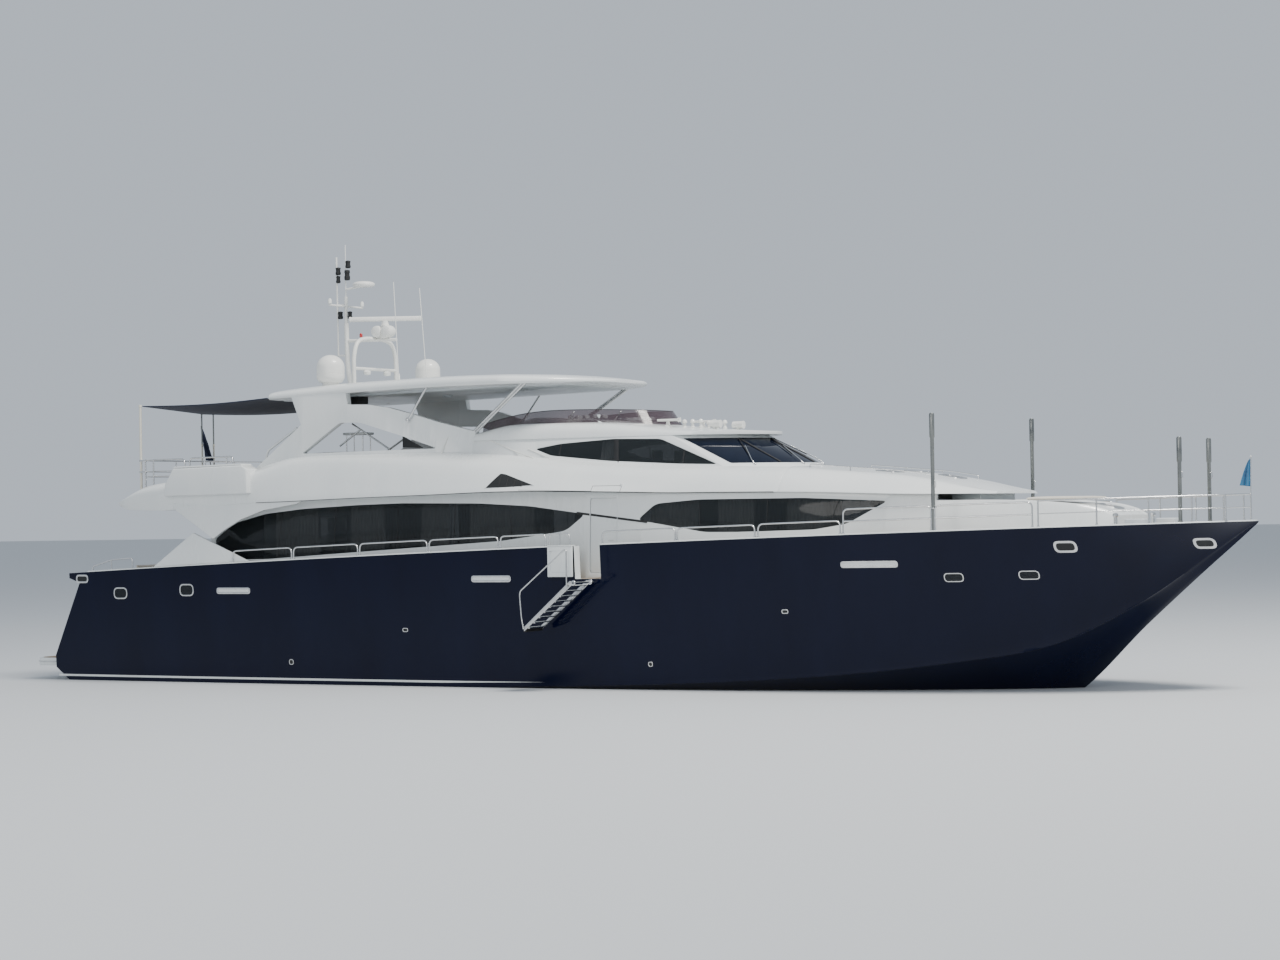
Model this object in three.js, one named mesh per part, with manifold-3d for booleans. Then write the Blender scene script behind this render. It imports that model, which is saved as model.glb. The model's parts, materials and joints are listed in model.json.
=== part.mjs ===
// A 32 m flybridge motor yacht, afloat: dark hull, white superstructure, hardtop on two side arches.
// Millimetres. +X is forward, +Y is port, +Z is up. The origin is on the centreline at the waterline,
// abreast of the boarding gates.
import * as THREE from "three";
import { mergeVertices } from "three/addons/utils/BufferGeometryUtils.js";
import Module from "manifold-3d";

const wasm = await Module();
wasm.setup();

// Driving dimensions
const BOW_X = 15210;
const TRANSOM_X = -16000;
const PLATFORM_END_X = -16900;
const SHEER_AMIDSHIPS_Z = 3330;
const SHEER_SLOPE = 0.0294;
const SHEER_CURVE = -4.7e-7;
const BULWARK_HEIGHT = 770;
const BULWARK_THICK = 250;
const BOW_BULWARK_THICK = 110;
const RAIL_INSET = 55;
const WALL_THICK = 100;
const GLASS_THICK = 24;
const GAP = 1;
const RAIL_RADIUS = 19;
const POLE_RADIUS = 32;
const TUBE_SIDES = 8;

// Finishes
const finish = (color, roughness, metalness) =>
  new THREE.MeshStandardMaterial({ color, roughness, metalness });
const navyPaint = finish(0x0a1233, 0.12, 0.1);
const whiteGelcoat = finish(0xe9ebe8, 0.25, 0.0);
const greyGelcoat = finish(0xc9cdcc, 0.35, 0.0);
const tintedGlass = finish(0x1b252b, 0.08, 0.2);
const screenGlass = finish(0x0c1836, 0.08, 0.2);
const acrylic = finish(0x59505c, 0.1, 0.0);
const stainless = finish(0xb9bec2, 0.2, 0.95);
const teak = finish(0xa07a4f, 0.7, 0.0);
const navyFabric = finish(0x101c3d, 0.9, 0.0);
const paleLeather = finish(0xd9d3c5, 0.7, 0.0);
const bronze = finish(0xb08d57, 0.35, 0.9);
const antifouling = finish(0x14181f, 0.8, 0.0);
const darkWood = finish(0x4b3526, 0.5, 0.0);

const yacht = new THREE.Group();

// A closed mesh with no double corners, as a solid that can be joined and cut.
function toSolid(geometry) {
  const bare = geometry.clone();
  for (const name of Object.keys(bare.attributes)) {
    if (name !== "position") bare.deleteAttribute(name);
  }
  const merged = mergeVertices(bare, 0.05);
  const all = merged.index.array;
  const kept = [];
  for (let i = 0; i < all.length; i += 3) {
    const [a, b, c] = [all[i], all[i + 1], all[i + 2]];
    if (a !== b && b !== c && c !== a) kept.push(a, b, c);
  }
  const build = (triangles) =>
    new wasm.Manifold(
      new wasm.Mesh({
        numProp: 3,
        vertProperties: new Float32Array(merged.attributes.position.array),
        triVerts: new Uint32Array(triangles),
      }),
    );
  const solid = build(kept);
  return solid.volume() < 0 ? build(kept.reverse()) : solid;
}

function toGeometry(solid) {
  const mesh = solid.getMesh();
  const geometry = new THREE.BufferGeometry();
  geometry.setAttribute("position", new THREE.BufferAttribute(new Float32Array(mesh.vertProperties), 3));
  geometry.setIndex(new THREE.BufferAttribute(new Uint32Array(mesh.triVerts), 1));
  return geometry;
}

function piece(name, solid, material) {
  const mesh = new THREE.Mesh(toGeometry(solid), material);
  mesh.name = name;
  yacht.add(mesh);
  return solid;
}

const joined = (solids) => solids.reduce((sum, one) => sum.add(one));
const cutFrom = (solid, cutters) => cutters.reduce((rest, one) => rest.subtract(one), solid);
const mirrored = (solid) => solid.mirror([0, 1, 0]);

function box(x0, x1, y0, y1, z0, z1) {
  const geometry = new THREE.BoxGeometry(x1 - x0, y1 - y0, z1 - z0);
  geometry.translate((x0 + x1) / 2, (y0 + y1) / 2, (z0 + z1) / 2);
  return toSolid(geometry);
}

// A round bar from one point to another.
function rod(from, to, radius, sides = TUBE_SIDES) {
  const [a, b] = [new THREE.Vector3(...from), new THREE.Vector3(...to)];
  const along = b.clone().sub(a);
  const geometry = new THREE.CylinderGeometry(radius, radius, along.length(), sides);
  geometry.applyQuaternion(
    new THREE.Quaternion().setFromUnitVectors(new THREE.Vector3(0, 1, 0), along.clone().normalize()),
  );
  geometry.translate(...a.add(b).multiplyScalar(0.5).toArray());
  return toSolid(geometry);
}

// A bent tube through points, mitred at each bend.
function bentTube(points, radius, sides = 6) {
  const path = points.map((point) => new THREE.Vector3(...point));
  const runs = path.slice(1).map((point, i) => point.clone().sub(path[i]).normalize());
  const across = new THREE.Vector3(0, 1, 0).cross(runs[0]).normalize();
  if (across.lengthSq() < 0.5) across.set(1, 0, 0);
  const positions = [];
  path.forEach((point, i) => {
    const before = runs[Math.max(i - 1, 0)];
    const after = runs[Math.min(i, runs.length - 1)];
    const plane = before.clone().add(after).normalize();
    const other = new THREE.Vector3().crossVectors(before, across).normalize();
    for (let k = 0; k < sides; k += 1) {
      const angle = (2 * Math.PI * k) / sides;
      const corner = across.clone().multiplyScalar(radius * Math.cos(angle));
      corner.addScaledVector(other, radius * Math.sin(angle));
      corner.addScaledVector(before, -corner.dot(plane) / before.dot(plane));
      positions.push(...corner.add(point).toArray());
    }
    const turn = new THREE.Quaternion().setFromUnitVectors(before, after);
    across.applyQuaternion(turn).normalize();
  });
  const index = [];
  for (let i = 0; i + 1 < path.length; i += 1) {
    for (let k = 0; k < sides; k += 1) {
      const [a, b] = [i * sides + k, i * sides + ((k + 1) % sides)];
      index.push(a, b, b + sides, a, b + sides, a + sides);
    }
  }
  const last = (path.length - 1) * sides;
  for (let k = 1; k + 1 < sides; k += 1) index.push(0, k + 1, k, last, last + k, last + k + 1);
  const geometry = new THREE.BufferGeometry();
  geometry.setAttribute("position", new THREE.BufferAttribute(new Float32Array(positions), 3));
  geometry.setIndex(index);
  return toSolid(geometry);
}

// A plate whose outline is given as [x, z] points, from y0 to y1.
function sidePlate(outline, y0, y1) {
  const shape = new THREE.Shape(outline.map(([x, z]) => new THREE.Vector2(x, z)));
  const geometry = new THREE.ExtrudeGeometry(shape, { depth: y1 - y0, bevelEnabled: false });
  geometry.rotateX(Math.PI / 2);
  geometry.translate(0, y1, 0);
  return toSolid(geometry);
}

// A plate whose outline is given as [x, y] points, from z0 to z1.
function deckPlate(outline, z0, z1) {
  const shape = new THREE.Shape(outline.map(([x, y]) => new THREE.Vector2(x, y)));
  const geometry = new THREE.ExtrudeGeometry(shape, { depth: z1 - z0, bevelEnabled: false });
  geometry.translate(0, 0, z0);
  return toSolid(geometry);
}

// A turned piece about a vertical axis: profile points are [radius, z].
function turned(profile, x, y, sides = 16) {
  const geometry = new THREE.LatheGeometry(
    profile.map(([r, z]) => new THREE.Vector2(r, z)),
    sides,
  );
  geometry.rotateX(Math.PI / 2);
  geometry.translate(x, y, 0);
  return toSolid(geometry);
}

// A skin over closed loops of [x, y, z] points, with a flat cap at each end.
// The caps are triangulated in the plane of the two coordinates that flat names.
function loft(loops, flat) {
  const count = loops[0].length;
  const positions = loops.flat(2);
  const index = [];
  for (let s = 0; s + 1 < loops.length; s += 1) {
    for (let i = 0; i < count; i += 1) {
      const j = (i + 1) % count;
      const [a, b, c, d] = [s * count + i, s * count + j, (s + 1) * count + j, (s + 1) * count + i];
      index.push(a, b, c, a, c, d);
    }
  }
  const capOf = (loop) =>
    THREE.ShapeUtils.triangulateShape(loop.map((p) => new THREE.Vector2(p[flat[0]], p[flat[1]])), []);
  // The side strips run the outline's own way, so a cap turned with the outline closes the far end.
  const area = THREE.ShapeUtils.area(loops[0].map((p) => new THREE.Vector2(p[flat[0]], p[flat[1]])));
  const turn = (tri) => (area > 0 ? tri : [tri[0], tri[2], tri[1]]);
  for (const tri of capOf(loops[0])) index.push(...[...turn(tri)].reverse());
  const last = (loops.length - 1) * count;
  for (const tri of capOf(loops[loops.length - 1])) index.push(...turn(tri).map((v) => v + last));
  const geometry = new THREE.BufferGeometry();
  geometry.setAttribute("position", new THREE.BufferAttribute(new Float32Array(positions), 3));
  geometry.setIndex(index);
  return toSolid(geometry);
}

const YZ = [1, 2];
const XY = [0, 1];
const XZ = [0, 2];

// A closed section at x from a port half outline of [y, z] points, keel to top.
function section(x, half) {
  const port = half.map(([y, z]) => [x, y, z]);
  const starboard = half.filter(([y]) => y > 0).map(([y, z]) => [x, -y, z]);
  return [...port, ...starboard.reverse()];
}

// A smooth curve through the rows of a table, read at x: column 0 is x.
function fair(table) {
  const slope = (row, column) => {
    const before = table[Math.max(row - 1, 0)];
    const after = table[Math.min(row + 1, table.length - 1)];
    return (after[column] - before[column]) / (after[0] - before[0]);
  };
  return (x) => {
    const found = table.findIndex((row, i) => i > 0 && x <= row[0]);
    const row = (found < 0 ? table.length - 1 : found) - 1;
    const [low, high] = [table[row], table[row + 1]];
    const run = high[0] - low[0];
    const t = Math.min(Math.max((x - low[0]) / run, 0), 1);
    return low.map((value, column) => {
      const rise = high[column] - value;
      const [s0, s1] = [slope(row, column) * run, slope(row + 1, column) * run];
      return value + t * s0 + t * t * (3 * rise - 2 * s0 - s1) + t * t * t * (s0 + s1 - 2 * rise);
    });
  };
}

function steps(from, to, count) {
  return Array.from({ length: count + 1 }, (_, i) => from + ((to - from) * i) / count);
}

const sheerZ = (x) => SHEER_AMIDSHIPS_Z + SHEER_SLOPE * x + SHEER_CURVE * x * x;
const FOREDECK_RISE = 200;
const deckZ = (x) => sheerZ(x) - BULWARK_HEIGHT + FOREDECK_RISE * THREE.MathUtils.smoothstep(x, 7000, 12500);

// Hull
// Columns: x, half breadth at the sheer, half breadth at the chine, chine height, keel height.
const hullAt = fair([
  [-16000, 3030, 2860, -80, -880],
  [-12000, 3240, 3030, -90, -1010],
  [-8000, 3370, 3120, -70, -1120],
  [-3000, 3450, 3160, -10, -1210],
  [2000, 3455, 3080, 120, -1260],
  [6000, 3340, 2740, 330, -1200],
  [9000, 3050, 2010, 640, -900],
  [11000, 2600, 1260, 1010, -130],
  [12700, 1990, 560, 1880, 1440],
  [14000, 1240, 190, 2800, 2590],
  [14800, 620, 60, 3370, 3270],
  [BOW_X, 60, 20, 3650, 3630],
]);
const flare = (x) => 0.6 + 0.75 * THREE.MathUtils.clamp((x - 2000) / 10000, 0, 1);
const SPRAY_RAIL = 60;

// Half breadth of the topsides at a height.
function topsideY(x, z) {
  const [, sheerY, chineY, chineZ] = hullAt(x);
  const rise = THREE.MathUtils.clamp((z - chineZ) / (sheerZ(x) - chineZ), 0, 1);
  return chineY + SPRAY_RAIL * 0.5 + (sheerY - chineY - SPRAY_RAIL * 0.5) * rise ** flare(x);
}

function hullSection(x) {
  const [, , chineY, chineZ, keelZ] = hullAt(x);
  const top = sheerZ(x);
  const narrow = Math.min(1, chineY / 600);
  const heights = [0.12, 0.35, 0.6, 0.82, 1].map((t) => chineZ + (top - chineZ) * t);
  return section(x, [
    [0, keelZ],
    [chineY, chineZ],
    [chineY + SPRAY_RAIL * narrow, chineZ + 20 * narrow],
    ...heights.map((z) => [topsideY(x, z), z]),
    [0, top],
  ]);
}

const hullStations = [...steps(TRANSOM_X, 6000, 18), ...steps(6600, 15000, 14), BOW_X];
const outerHull = loft(hullStations.map(hullSection), YZ);

// The well inside the bulwarks, down to the deck.
const bulwarkThick = (x) =>
  BULWARK_THICK + (BOW_BULWARK_THICK - BULWARK_THICK) * THREE.MathUtils.smoothstep(x, 3000, 9000);
const WELL_AFT_X = -14700;
const WELL_FORE_X = 14450;
const ABOVE = 600;
const well = loft(
  [...steps(WELL_AFT_X, 6000, 12), ...steps(6500, 13500, 14), WELL_FORE_X].map((x) => {
    const [floor, top] = [deckZ(x), sheerZ(x)];
    const [low, high] = [topsideY(x, floor) - bulwarkThick(x), topsideY(x, top) - bulwarkThick(x)];
    return section(x, [[0, floor], [low, floor], [high, top], [high, top + ABOVE], [0, top + ABOVE]]);
  }),
  YZ,
);

// The raked transom, with its overhanging rim, cut through the hull's after end.
const sternCut = sidePlate(
  [[-15350, 3600], [-15350, 2640], [-15000, 2520], [-15930, 640], [-15930, 330], [-15300, -150],
    [-15300, -2000], [-17500, -2000], [-17500, 3600]],
  -4000,
  4000,
);

const GATE_X0 = 50;
const GATE_X1 = 735;
const gateCut = (y0, y1) => box(GATE_X0, GATE_X1, y0, y1, deckZ(300) - 200, 4200);
const LADDER_PIN = { x: 560, z: 2500 };
const THRUSTER = { x: 8600, z: -330, radius: 190 };
const thrusterCut = rod([THRUSTER.x, -3000, THRUSTER.z], [THRUSTER.x, 3000, THRUSTER.z], THRUSTER.radius, 14);

// Shaft lines under the after body, port and starboard.
const SHAFT_Y = 1150;
const SHAFT_START = [-10300, SHAFT_Y, -560];
const SHAFT_END = [-13850, SHAFT_Y, -1250];
const PROP_X = -14010;
const PROP_Z = -1282;
const RUDDER_X = -14880;
const shaftLine = joined([
  rod(SHAFT_START, SHAFT_END, 50),
  rod([-13480, SHAFT_Y, -1178], SHAFT_END, 95),
  sidePlate([[-13780, -1180], [-13520, -1140], [-13420, -520], [-13700, -520]], SHAFT_Y - 25, SHAFT_Y + 25),
]);
const rudderBoss = rod([RUDDER_X, SHAFT_Y, -400], [RUDDER_X, SHAFT_Y, -700], 90, 12);

// Stabiliser roots amidships, square to the bottom.
const FIN = { x: -900, y: 2350, z: -300, lean: THREE.MathUtils.degToRad(22) };
const finDown = [0, Math.sin(FIN.lean), -Math.cos(FIN.lean)];
const alongFin = (distance) => [FIN.x, FIN.y + finDown[1] * distance, FIN.z + finDown[2] * distance];
const finRoot = rod(alongFin(-150), alongFin(60), 140, 12);

const keel = sidePlate([[-9000, -1050], [-8000, -1400], [4500, -1450], [6500, -1100]], -90, 90);
const ladderPin = rod([LADDER_PIN.x, -3350, LADDER_PIN.z], [LADDER_PIN.x, -3593, LADDER_PIN.z], 28, 12);
const fittings = joined([rudderBoss, mirrored(rudderBoss), finRoot, mirrored(finRoot), keel, ladderPin]);
const shell = cutFrom(outerHull, [sternCut, well]);
// All that lies above the deck's level, bulwarks and bow.
const aboveDeck = (lift) =>
  loft(
    [-17000, ...steps(TRANSOM_X, 6500, 12), ...steps(7000, 14500, 12), 15500].map((x) =>
      section(x, [[0, deckZ(x) + lift], [4200, deckZ(x) + lift], [4200, 4600], [0, 4600]]),
    ),
    YZ,
  );
const hull = cutFrom(joined([shell.subtract(aboveDeck(0)), fittings]), [thrusterCut]);
piece("hull", hull, navyPaint);
const bulwarks = cutFrom(shell, [gateCut(-3900, -2900), gateCut(2900, 3900)]).intersect(aboveDeck(GAP));
const [bulwarkFore, bulwarkAft] = bulwarks
  .decompose()
  .sort((a, b) => b.volume() - a.volume())
  .slice(0, 2)
  .sort((a, b) => b.boundingBox().max[0] - a.boundingBox().max[0]);
piece("bulwark_fore", bulwarkFore, navyPaint);
piece("bulwark_aft", bulwarkAft, navyPaint);
const hullRaised = joined([hull, bulwarkFore, bulwarkAft]).translate([0, 0, GAP]);
const hullLowered = joined([hull, hull.translate([0, 0, -GAP])]);
piece("shaft_port", shaftLine.subtract(hullLowered), stainless);
piece("shaft_starboard", mirrored(shaftLine).subtract(hullLowered), stainless);

// Bathing platform, low across the stern
const PLATFORM_TOP = 560;
piece(
  "swim_platform",
  deckPlate(
    [[-15930 - GAP, -2780], [-16650, -2780], [PLATFORM_END_X, -2450], [PLATFORM_END_X, 2450],
      [-16650, 2780], [-15930 - GAP, 2780]],
    PLATFORM_TOP - 200,
    PLATFORM_TOP,
  ),
  teak,
);

// Running gear
// A blade of lens sections: each row is [height, leading x, trailing x, thickness, turn in degrees].
function foil(rows) {
  return loft(
    rows.map(([z, lead, trail, thick, turn = 0]) => {
      const along = (share) => lead + (trail - lead) * share;
      const half = thick / 2;
      const angle = THREE.MathUtils.degToRad(turn);
      const lens = [[0, 0.1], [0.12, 0.75], [0.4, 1], [0.75, 0.6], [1, 0.1]];
      const side = lens.map(([share, part]) => [along(share), part * half]);
      const loop = [...side, ...[...side].reverse().map(([x, y]) => [x, -y])];
      return loop.map(([x, y]) => [
        x * Math.cos(angle) - y * Math.sin(angle),
        x * Math.sin(angle) + y * Math.cos(angle),
        z,
      ]);
    }),
    XY,
  );
}

// Columns: radius, leading edge, trailing edge, thickness, pitch in degrees.
const BLADE = [
  [60, 85, -85, 40, 62],
  [160, 125, -125, 30, 54],
  [270, 145, -140, 22, 46],
  [370, 125, -110, 15, 39],
  [440, 75, -55, 10, 35],
  [465, 25, -10, 8, 33],
];
const BLADES = 5;
function propeller(name, side) {
  const hub = rod([PROP_X - 120, 0, 0], [PROP_X + 120, 0, 0], 85, 12);
  const cone = rod([PROP_X - 190, 0, 0], [PROP_X - 110, 0, 0], 50, 12);
  const blade = foil(BLADE);
  const blades = steps(0, BLADES - 1, BLADES - 1).map((count) =>
    blade.rotate([(count * 360) / BLADES, 0, 0]).translate([PROP_X, 0, 0]),
  );
  const port = joined([hub, cone, ...blades]).translate([0, SHAFT_Y, PROP_Z]);
  piece(name, side > 0 ? port : mirrored(port), bronze);
}
propeller("propeller_port", 1);
propeller("propeller_starboard", -1);

function rudder(name, side) {
  const blade = foil([
    [-1720, RUDDER_X + 190, RUDDER_X - 300, 60],
    [-790, RUDDER_X + 230, RUDDER_X - 400, 100],
  ]);
  const stock = rod([RUDDER_X, 0, -706], [RUDDER_X, 0, -1000], 62, 12);
  piece(name, joined([blade, stock]).translate([0, side * SHAFT_Y, 0]), bronze);
}
rudder("rudder_port", 1);
rudder("rudder_starboard", -1);

function fin(name, side) {
  const blade = foil([
    [-980, 260, -330, 50],
    [-90, 420, -430, 100],
  ]);
  const stock = rod([0, 0, -8], [0, 0, -300], 90, 12);
  const upright = joined([blade, stock]).rotate([THREE.MathUtils.radToDeg(FIN.lean), 0, 0]);
  const placed = upright.translate(alongFin(60));
  piece(name, side > 0 ? placed : mirrored(placed), antifouling);
}
fin("stabiliser_fin_port", 1);
fin("stabiliser_fin_starboard", -1);

// Upper deck: one moulding from the flybridge's after end to the pilothouse front
// Columns: x, lower edge y and z, shoulder y and z, belt y and z.
const upperAt = fair([
  [-13700, 2960, 4470, 3020, 4510, 2960, 4540],
  [-13450, 3080, 4390, 3170, 4550, 3050, 4650],
  [-12900, 3140, 4360, 3250, 4700, 3060, 4920],
  [-12100, 3170, 4345, 3270, 4780, 3080, 5055],
  [-10500, 3230, 4430, 3300, 4900, 3060, 5200],
  [-9400, 3250, 4490, 3290, 5050, 2960, 5340],
  [-8300, 3260, 4510, 3090, 5360, 2620, 5660],
  [-6200, 3270, 4560, 3060, 5390, 2590, 5700],
  [-4400, 3270, 4590, 3040, 5280, 2540, 5640],
  [-2200, 3240, 4630, 3000, 5090, 2440, 5500],
  [-500, 3130, 4610, 2900, 4890, 2300, 5340],
  [1200, 2900, 4560, 2760, 4740, 2180, 5220],
  [2200, 2770, 4530, 2640, 4760, 2110, 5170],
  [3200, 2700, 4520, 2560, 4760, 2020, 5120],
  [4900, 2590, 4500, 2440, 4730, 1860, 5070],
]);
const UPPER_AFT_X = -13700;
const UPPER_FORE_X = 4900;
const upperSection = (x, lift = 0) => {
  const [, edgeY, edgeZ, shoulderY, shoulderZ, beltY, beltZ] = upperAt(x);
  const middle = [(shoulderY + beltY) / 2 + 60, (shoulderZ + beltZ) / 2 + 40];
  return section(x, [
    [0, edgeZ + lift],
    [edgeY, edgeZ + lift],
    [shoulderY, shoulderZ + lift],
    [middle[0], middle[1] + lift],
    [beltY, beltZ + lift],
    [0, beltZ + lift],
  ]);
};
const upperStations = [UPPER_AFT_X, -13450, -13200, ...steps(-12900, UPPER_FORE_X, 26)];
const upperOuter = loft(upperStations.map((x) => upperSection(x)), YZ);
const upperRaised = loft(upperStations.map((x) => upperSection(x, GAP)), YZ);
const upperDropped = upperOuter.translate([0, 0, -GAP]);

const FLOOR_THICK = 130;
const COAMING_THICK = 120;
function tub(x0, x1, inset) {
  return loft(
    steps(x0, x1, 10).map((x) => {
      const [, , edgeZ, , , beltY] = upperAt(x);
      return section(x, [
        [0, edgeZ + FLOOR_THICK],
        [beltY - inset, edgeZ + FLOOR_THICK],
        [beltY - inset, 6200],
        [0, 6200],
      ]);
    }),
    YZ,
  );
}
const FLY_TUB = [-13300, -3750];
const PILOTHOUSE_WELL = [-3000, 3050];
const upperDeck = cutFrom(upperOuter, [tub(...FLY_TUB, COAMING_THICK), tub(...PILOTHOUSE_WELL, 300)]);
const DECK_SPLIT_X = -3400;
const upperAft = upperDeck.trimByPlane([-1, 0, 0], -DECK_SPLIT_X + GAP);
piece("pilothouse_deck", upperDeck.trimByPlane([1, 0, 0], DECK_SPLIT_X), whiteGelcoat);

// The inverted wings that hang from the overhang beside the after deck.
const WING_Y = [3130, 3230];
const hangingWing = sidePlate(
  [[-11800, 4520], [-11800, 4390], [-10570, 3610], [-10250, 3810], [-9700, 4080], [-9000, 4300],
    [-8000, 4440], [-7700, 4560]],
  ...WING_Y,
);
// A locker box on each side of the flybridge, proud of the coaming.
const sideBox = sidePlate(
  [[-11930, 4700], [-11900, 5000], [-11640, 5390], [-9500, 5430], [-9330, 5330], [-9330, 4720]],
  2960,
  3440,
);
const upperSide = joined([hangingWing, sideBox]);
piece("upper_deck", joined([upperAft, upperSide, mirrored(upperSide)]), whiteGelcoat);

// Deckhouse walls on the main deck, saloon aft and cabin forward
// Columns: x, half breadth at the deck, half breadth at the top.
const wallAt = fair([
  [-11100, 2640, 2570],
  [-9600, 2680, 2600],
  [-5000, 2740, 2650],
  [0, 2780, 2680],
  [1200, 2800, 2700],
  [2200, 2790, 2670],
  [3200, 2750, 2610],
  [4900, 2640, 2490],
  [6760, 2390, 2220],
  [8500, 2080, 1890],
]);
const coachAt = fair([
  [4900, 2590, 4500, 2440, 4730, 1860, 5070],
  [5750, 2490, 4480, 2330, 4690, 1760, 4990],
  [6760, 2330, 4440, 2170, 4620, 1640, 4900],
  [7490, 2210, 4410, 2050, 4560, 1540, 4830],
  [8300, 2060, 4390, 1900, 4480, 1420, 4700],
  [8970, 1860, 4380, 1730, 4420, 1260, 4560],
  [9400, 1640, 4375, 1540, 4395, 1080, 4450],
  [9660, 1330, 4370, 1260, 4378, 900, 4395],
]);
const HOUSE_AFT_X = -11100;
const HOUSE_FORE_X = 8500;
const roofUnderZ = (x) => (x < UPPER_FORE_X ? upperAt(x)[2] : coachAt(x)[2]);
// Coachroof ahead of the windscreen
const COACH_FORE_X = 9660;
const coachroof = loft(
  [...steps(UPPER_FORE_X + GAP, 9400, 9), COACH_FORE_X].map((x) => {
    const [, edgeY, edgeZ, shoulderY, shoulderZ, topY, topZ] = coachAt(x);
    return section(x, [
      [0, edgeZ],
      [edgeY, edgeZ],
      [shoulderY, shoulderZ],
      [(shoulderY + topY) / 2 + 40, (shoulderZ + topZ) / 2 + 40],
      [topY, topZ],
      [topY * 0.5, topZ + 30],
      [0, topZ + 40],
    ]);
  }),
  YZ,
);
const coachDropped = coachroof.translate([0, 0, -GAP]);
piece("coachroof", coachroof, whiteGelcoat);
const houseStations = steps(HOUSE_AFT_X, HOUSE_FORE_X, 24);

const WALL_OVERLAP = 20;
function wallSkin(outerInset, thick, stations = houseStations) {
  return loft(
    stations.map((x) => {
      const [, low, high] = wallAt(x);
      const [floor, top] = [deckZ(x) - WALL_OVERLAP, roofUnderZ(x) + WALL_OVERLAP];
      return [
        [x, low - outerInset - thick, floor],
        [x, low - outerInset, floor],
        [x, high - outerInset, top],
        [x, high - outerInset - thick, top],
      ];
    }),
    YZ,
  );
}

// Window outlines, [x, z], as seen from the side.
const SALOON_WINDOW = [
  [-10200, 3080], [-9350, 3080], [-2400, 3460], [-600, 3680], [-60, 4070], [-1600, 4280], [-3050, 4370],
  [-5200, 4410], [-6500, 4390], [-8200, 4320], [-9390, 4210], [-10390, 3980], [-10960, 3600], [-10960, 3400],
];
const CABIN_WINDOW = [
  [1340, 3910], [3060, 3610], [3860, 3600], [5730, 3630], [6500, 3750], [7420, 4250], [5470, 4350],
  [2900, 4360], [1810, 4280],
];
const PILOT_WINDOW = [
  [-1690, 5640], [-1230, 5470], [300, 5310], [2150, 5200], [3080, 5170], [1560, 5800], [340, 5830], [-1010, 5750],
];
const SIDE_DOOR = [[60, 2690], [800, 2690], [800, 4440], [60, 4440]];

function shrunk(outline, by) {
  const middle = outline.reduce(([a, b], [x, z]) => [a + x / outline.length, b + z / outline.length], [0, 0]);
  return outline.map(([x, z]) => {
    const [dx, dz] = [x - middle[0], z - middle[1]];
    const share = 1 - by / Math.hypot(dx, dz);
    return [middle[0] + dx * share, middle[1] + dz * share];
  });
}

const DOOR_CLEARANCE = 8;
const GLASS_CLEARANCE = 3;
const sideCut = (outline, y0 = 1300, y1 = 3400) => sidePlate(outline, y0, y1);
const wall = cutFrom(wallSkin(0, WALL_THICK), [
  ...[SALOON_WINDOW, CABIN_WINDOW, SIDE_DOOR].map((outline) => sideCut(outline)),
  hullRaised,
  upperDropped,
  coachDropped,
]);
const pane = (outline) => wallSkin(12, GLASS_THICK).intersect(sideCut(shrunk(outline, GLASS_CLEARANCE)));
const DOOR_MIDDLE = [430, 3500];
const doorOutline = SIDE_DOOR.map((corner) =>
  corner.map((value, axis) => value - DOOR_CLEARANCE * Math.sign(value - DOOR_MIDDLE[axis])),
);
const doorLeaf = wallSkin(20, 45, steps(-400, 1400, 2)).intersect(sideCut(doorOutline));
for (const [word, place] of [["port", (s) => s], ["starboard", mirrored]]) {
  piece(`deckhouse_wall_${word}`, place(wall), whiteGelcoat);
  piece(`saloon_glass_${word}`, place(pane(SALOON_WINDOW)), tintedGlass);
  piece(`cabin_glass_${word}`, place(pane(CABIN_WINDOW)), tintedGlass);
  piece(`side_door_${word}`, place(doorLeaf), greyGelcoat);
}

// Saloon's after bulkhead with its sliding glass doors
const BULKHEAD_X = [-9600, -9500];
const BULKHEAD_HALF = 2480;
const SALOON_FLOOR = deckZ(-9500) + GAP;
const DOORWAY_HALF = 1250;
const DOOR_TOP = 4150;
const bulkheadTop = roofUnderZ(-9550) - 10;
piece(
  "saloon_bulkhead",
  cutFrom(box(...BULKHEAD_X, -BULKHEAD_HALF, BULKHEAD_HALF, SALOON_FLOOR, bulkheadTop), [
    box(-9700, -9400, -DOORWAY_HALF, DOORWAY_HALF, SALOON_FLOOR - 10, DOOR_TOP),
  ]),
  greyGelcoat,
);
const slidingDoor = box(-9660, -9615, 15, DOORWAY_HALF + 60, SALOON_FLOOR + 10, DOOR_TOP + 40);
piece("saloon_door_port", slidingDoor, tintedGlass);
piece("saloon_door_starboard", mirrored(slidingDoor), tintedGlass);

// Pilothouse: a windowed band on the upper deck, with a separate roof
// Column 1 is the half breadth at PILOT_REF_Z.
const PILOT_REF_Z = 5200;
const PILOT_LEAN = 0.35;
const PILOT_AFT_X = -3400;
const ROOF_UNDER_Z = 5880;
const pilotSideAt = fair([
  [-3400, 2490],
  [-1500, 2400],
  [0, 2290],
  [1500, 2150],
  [3300, 1960],
]);
// The windscreen's corner and middle, low and high.
const SCREEN = { lowZ: 5120, highZ: 5800, cornerLow: 3220, cornerHigh: 1960, middleLow: 4760, middleHigh: 3450 };

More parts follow.
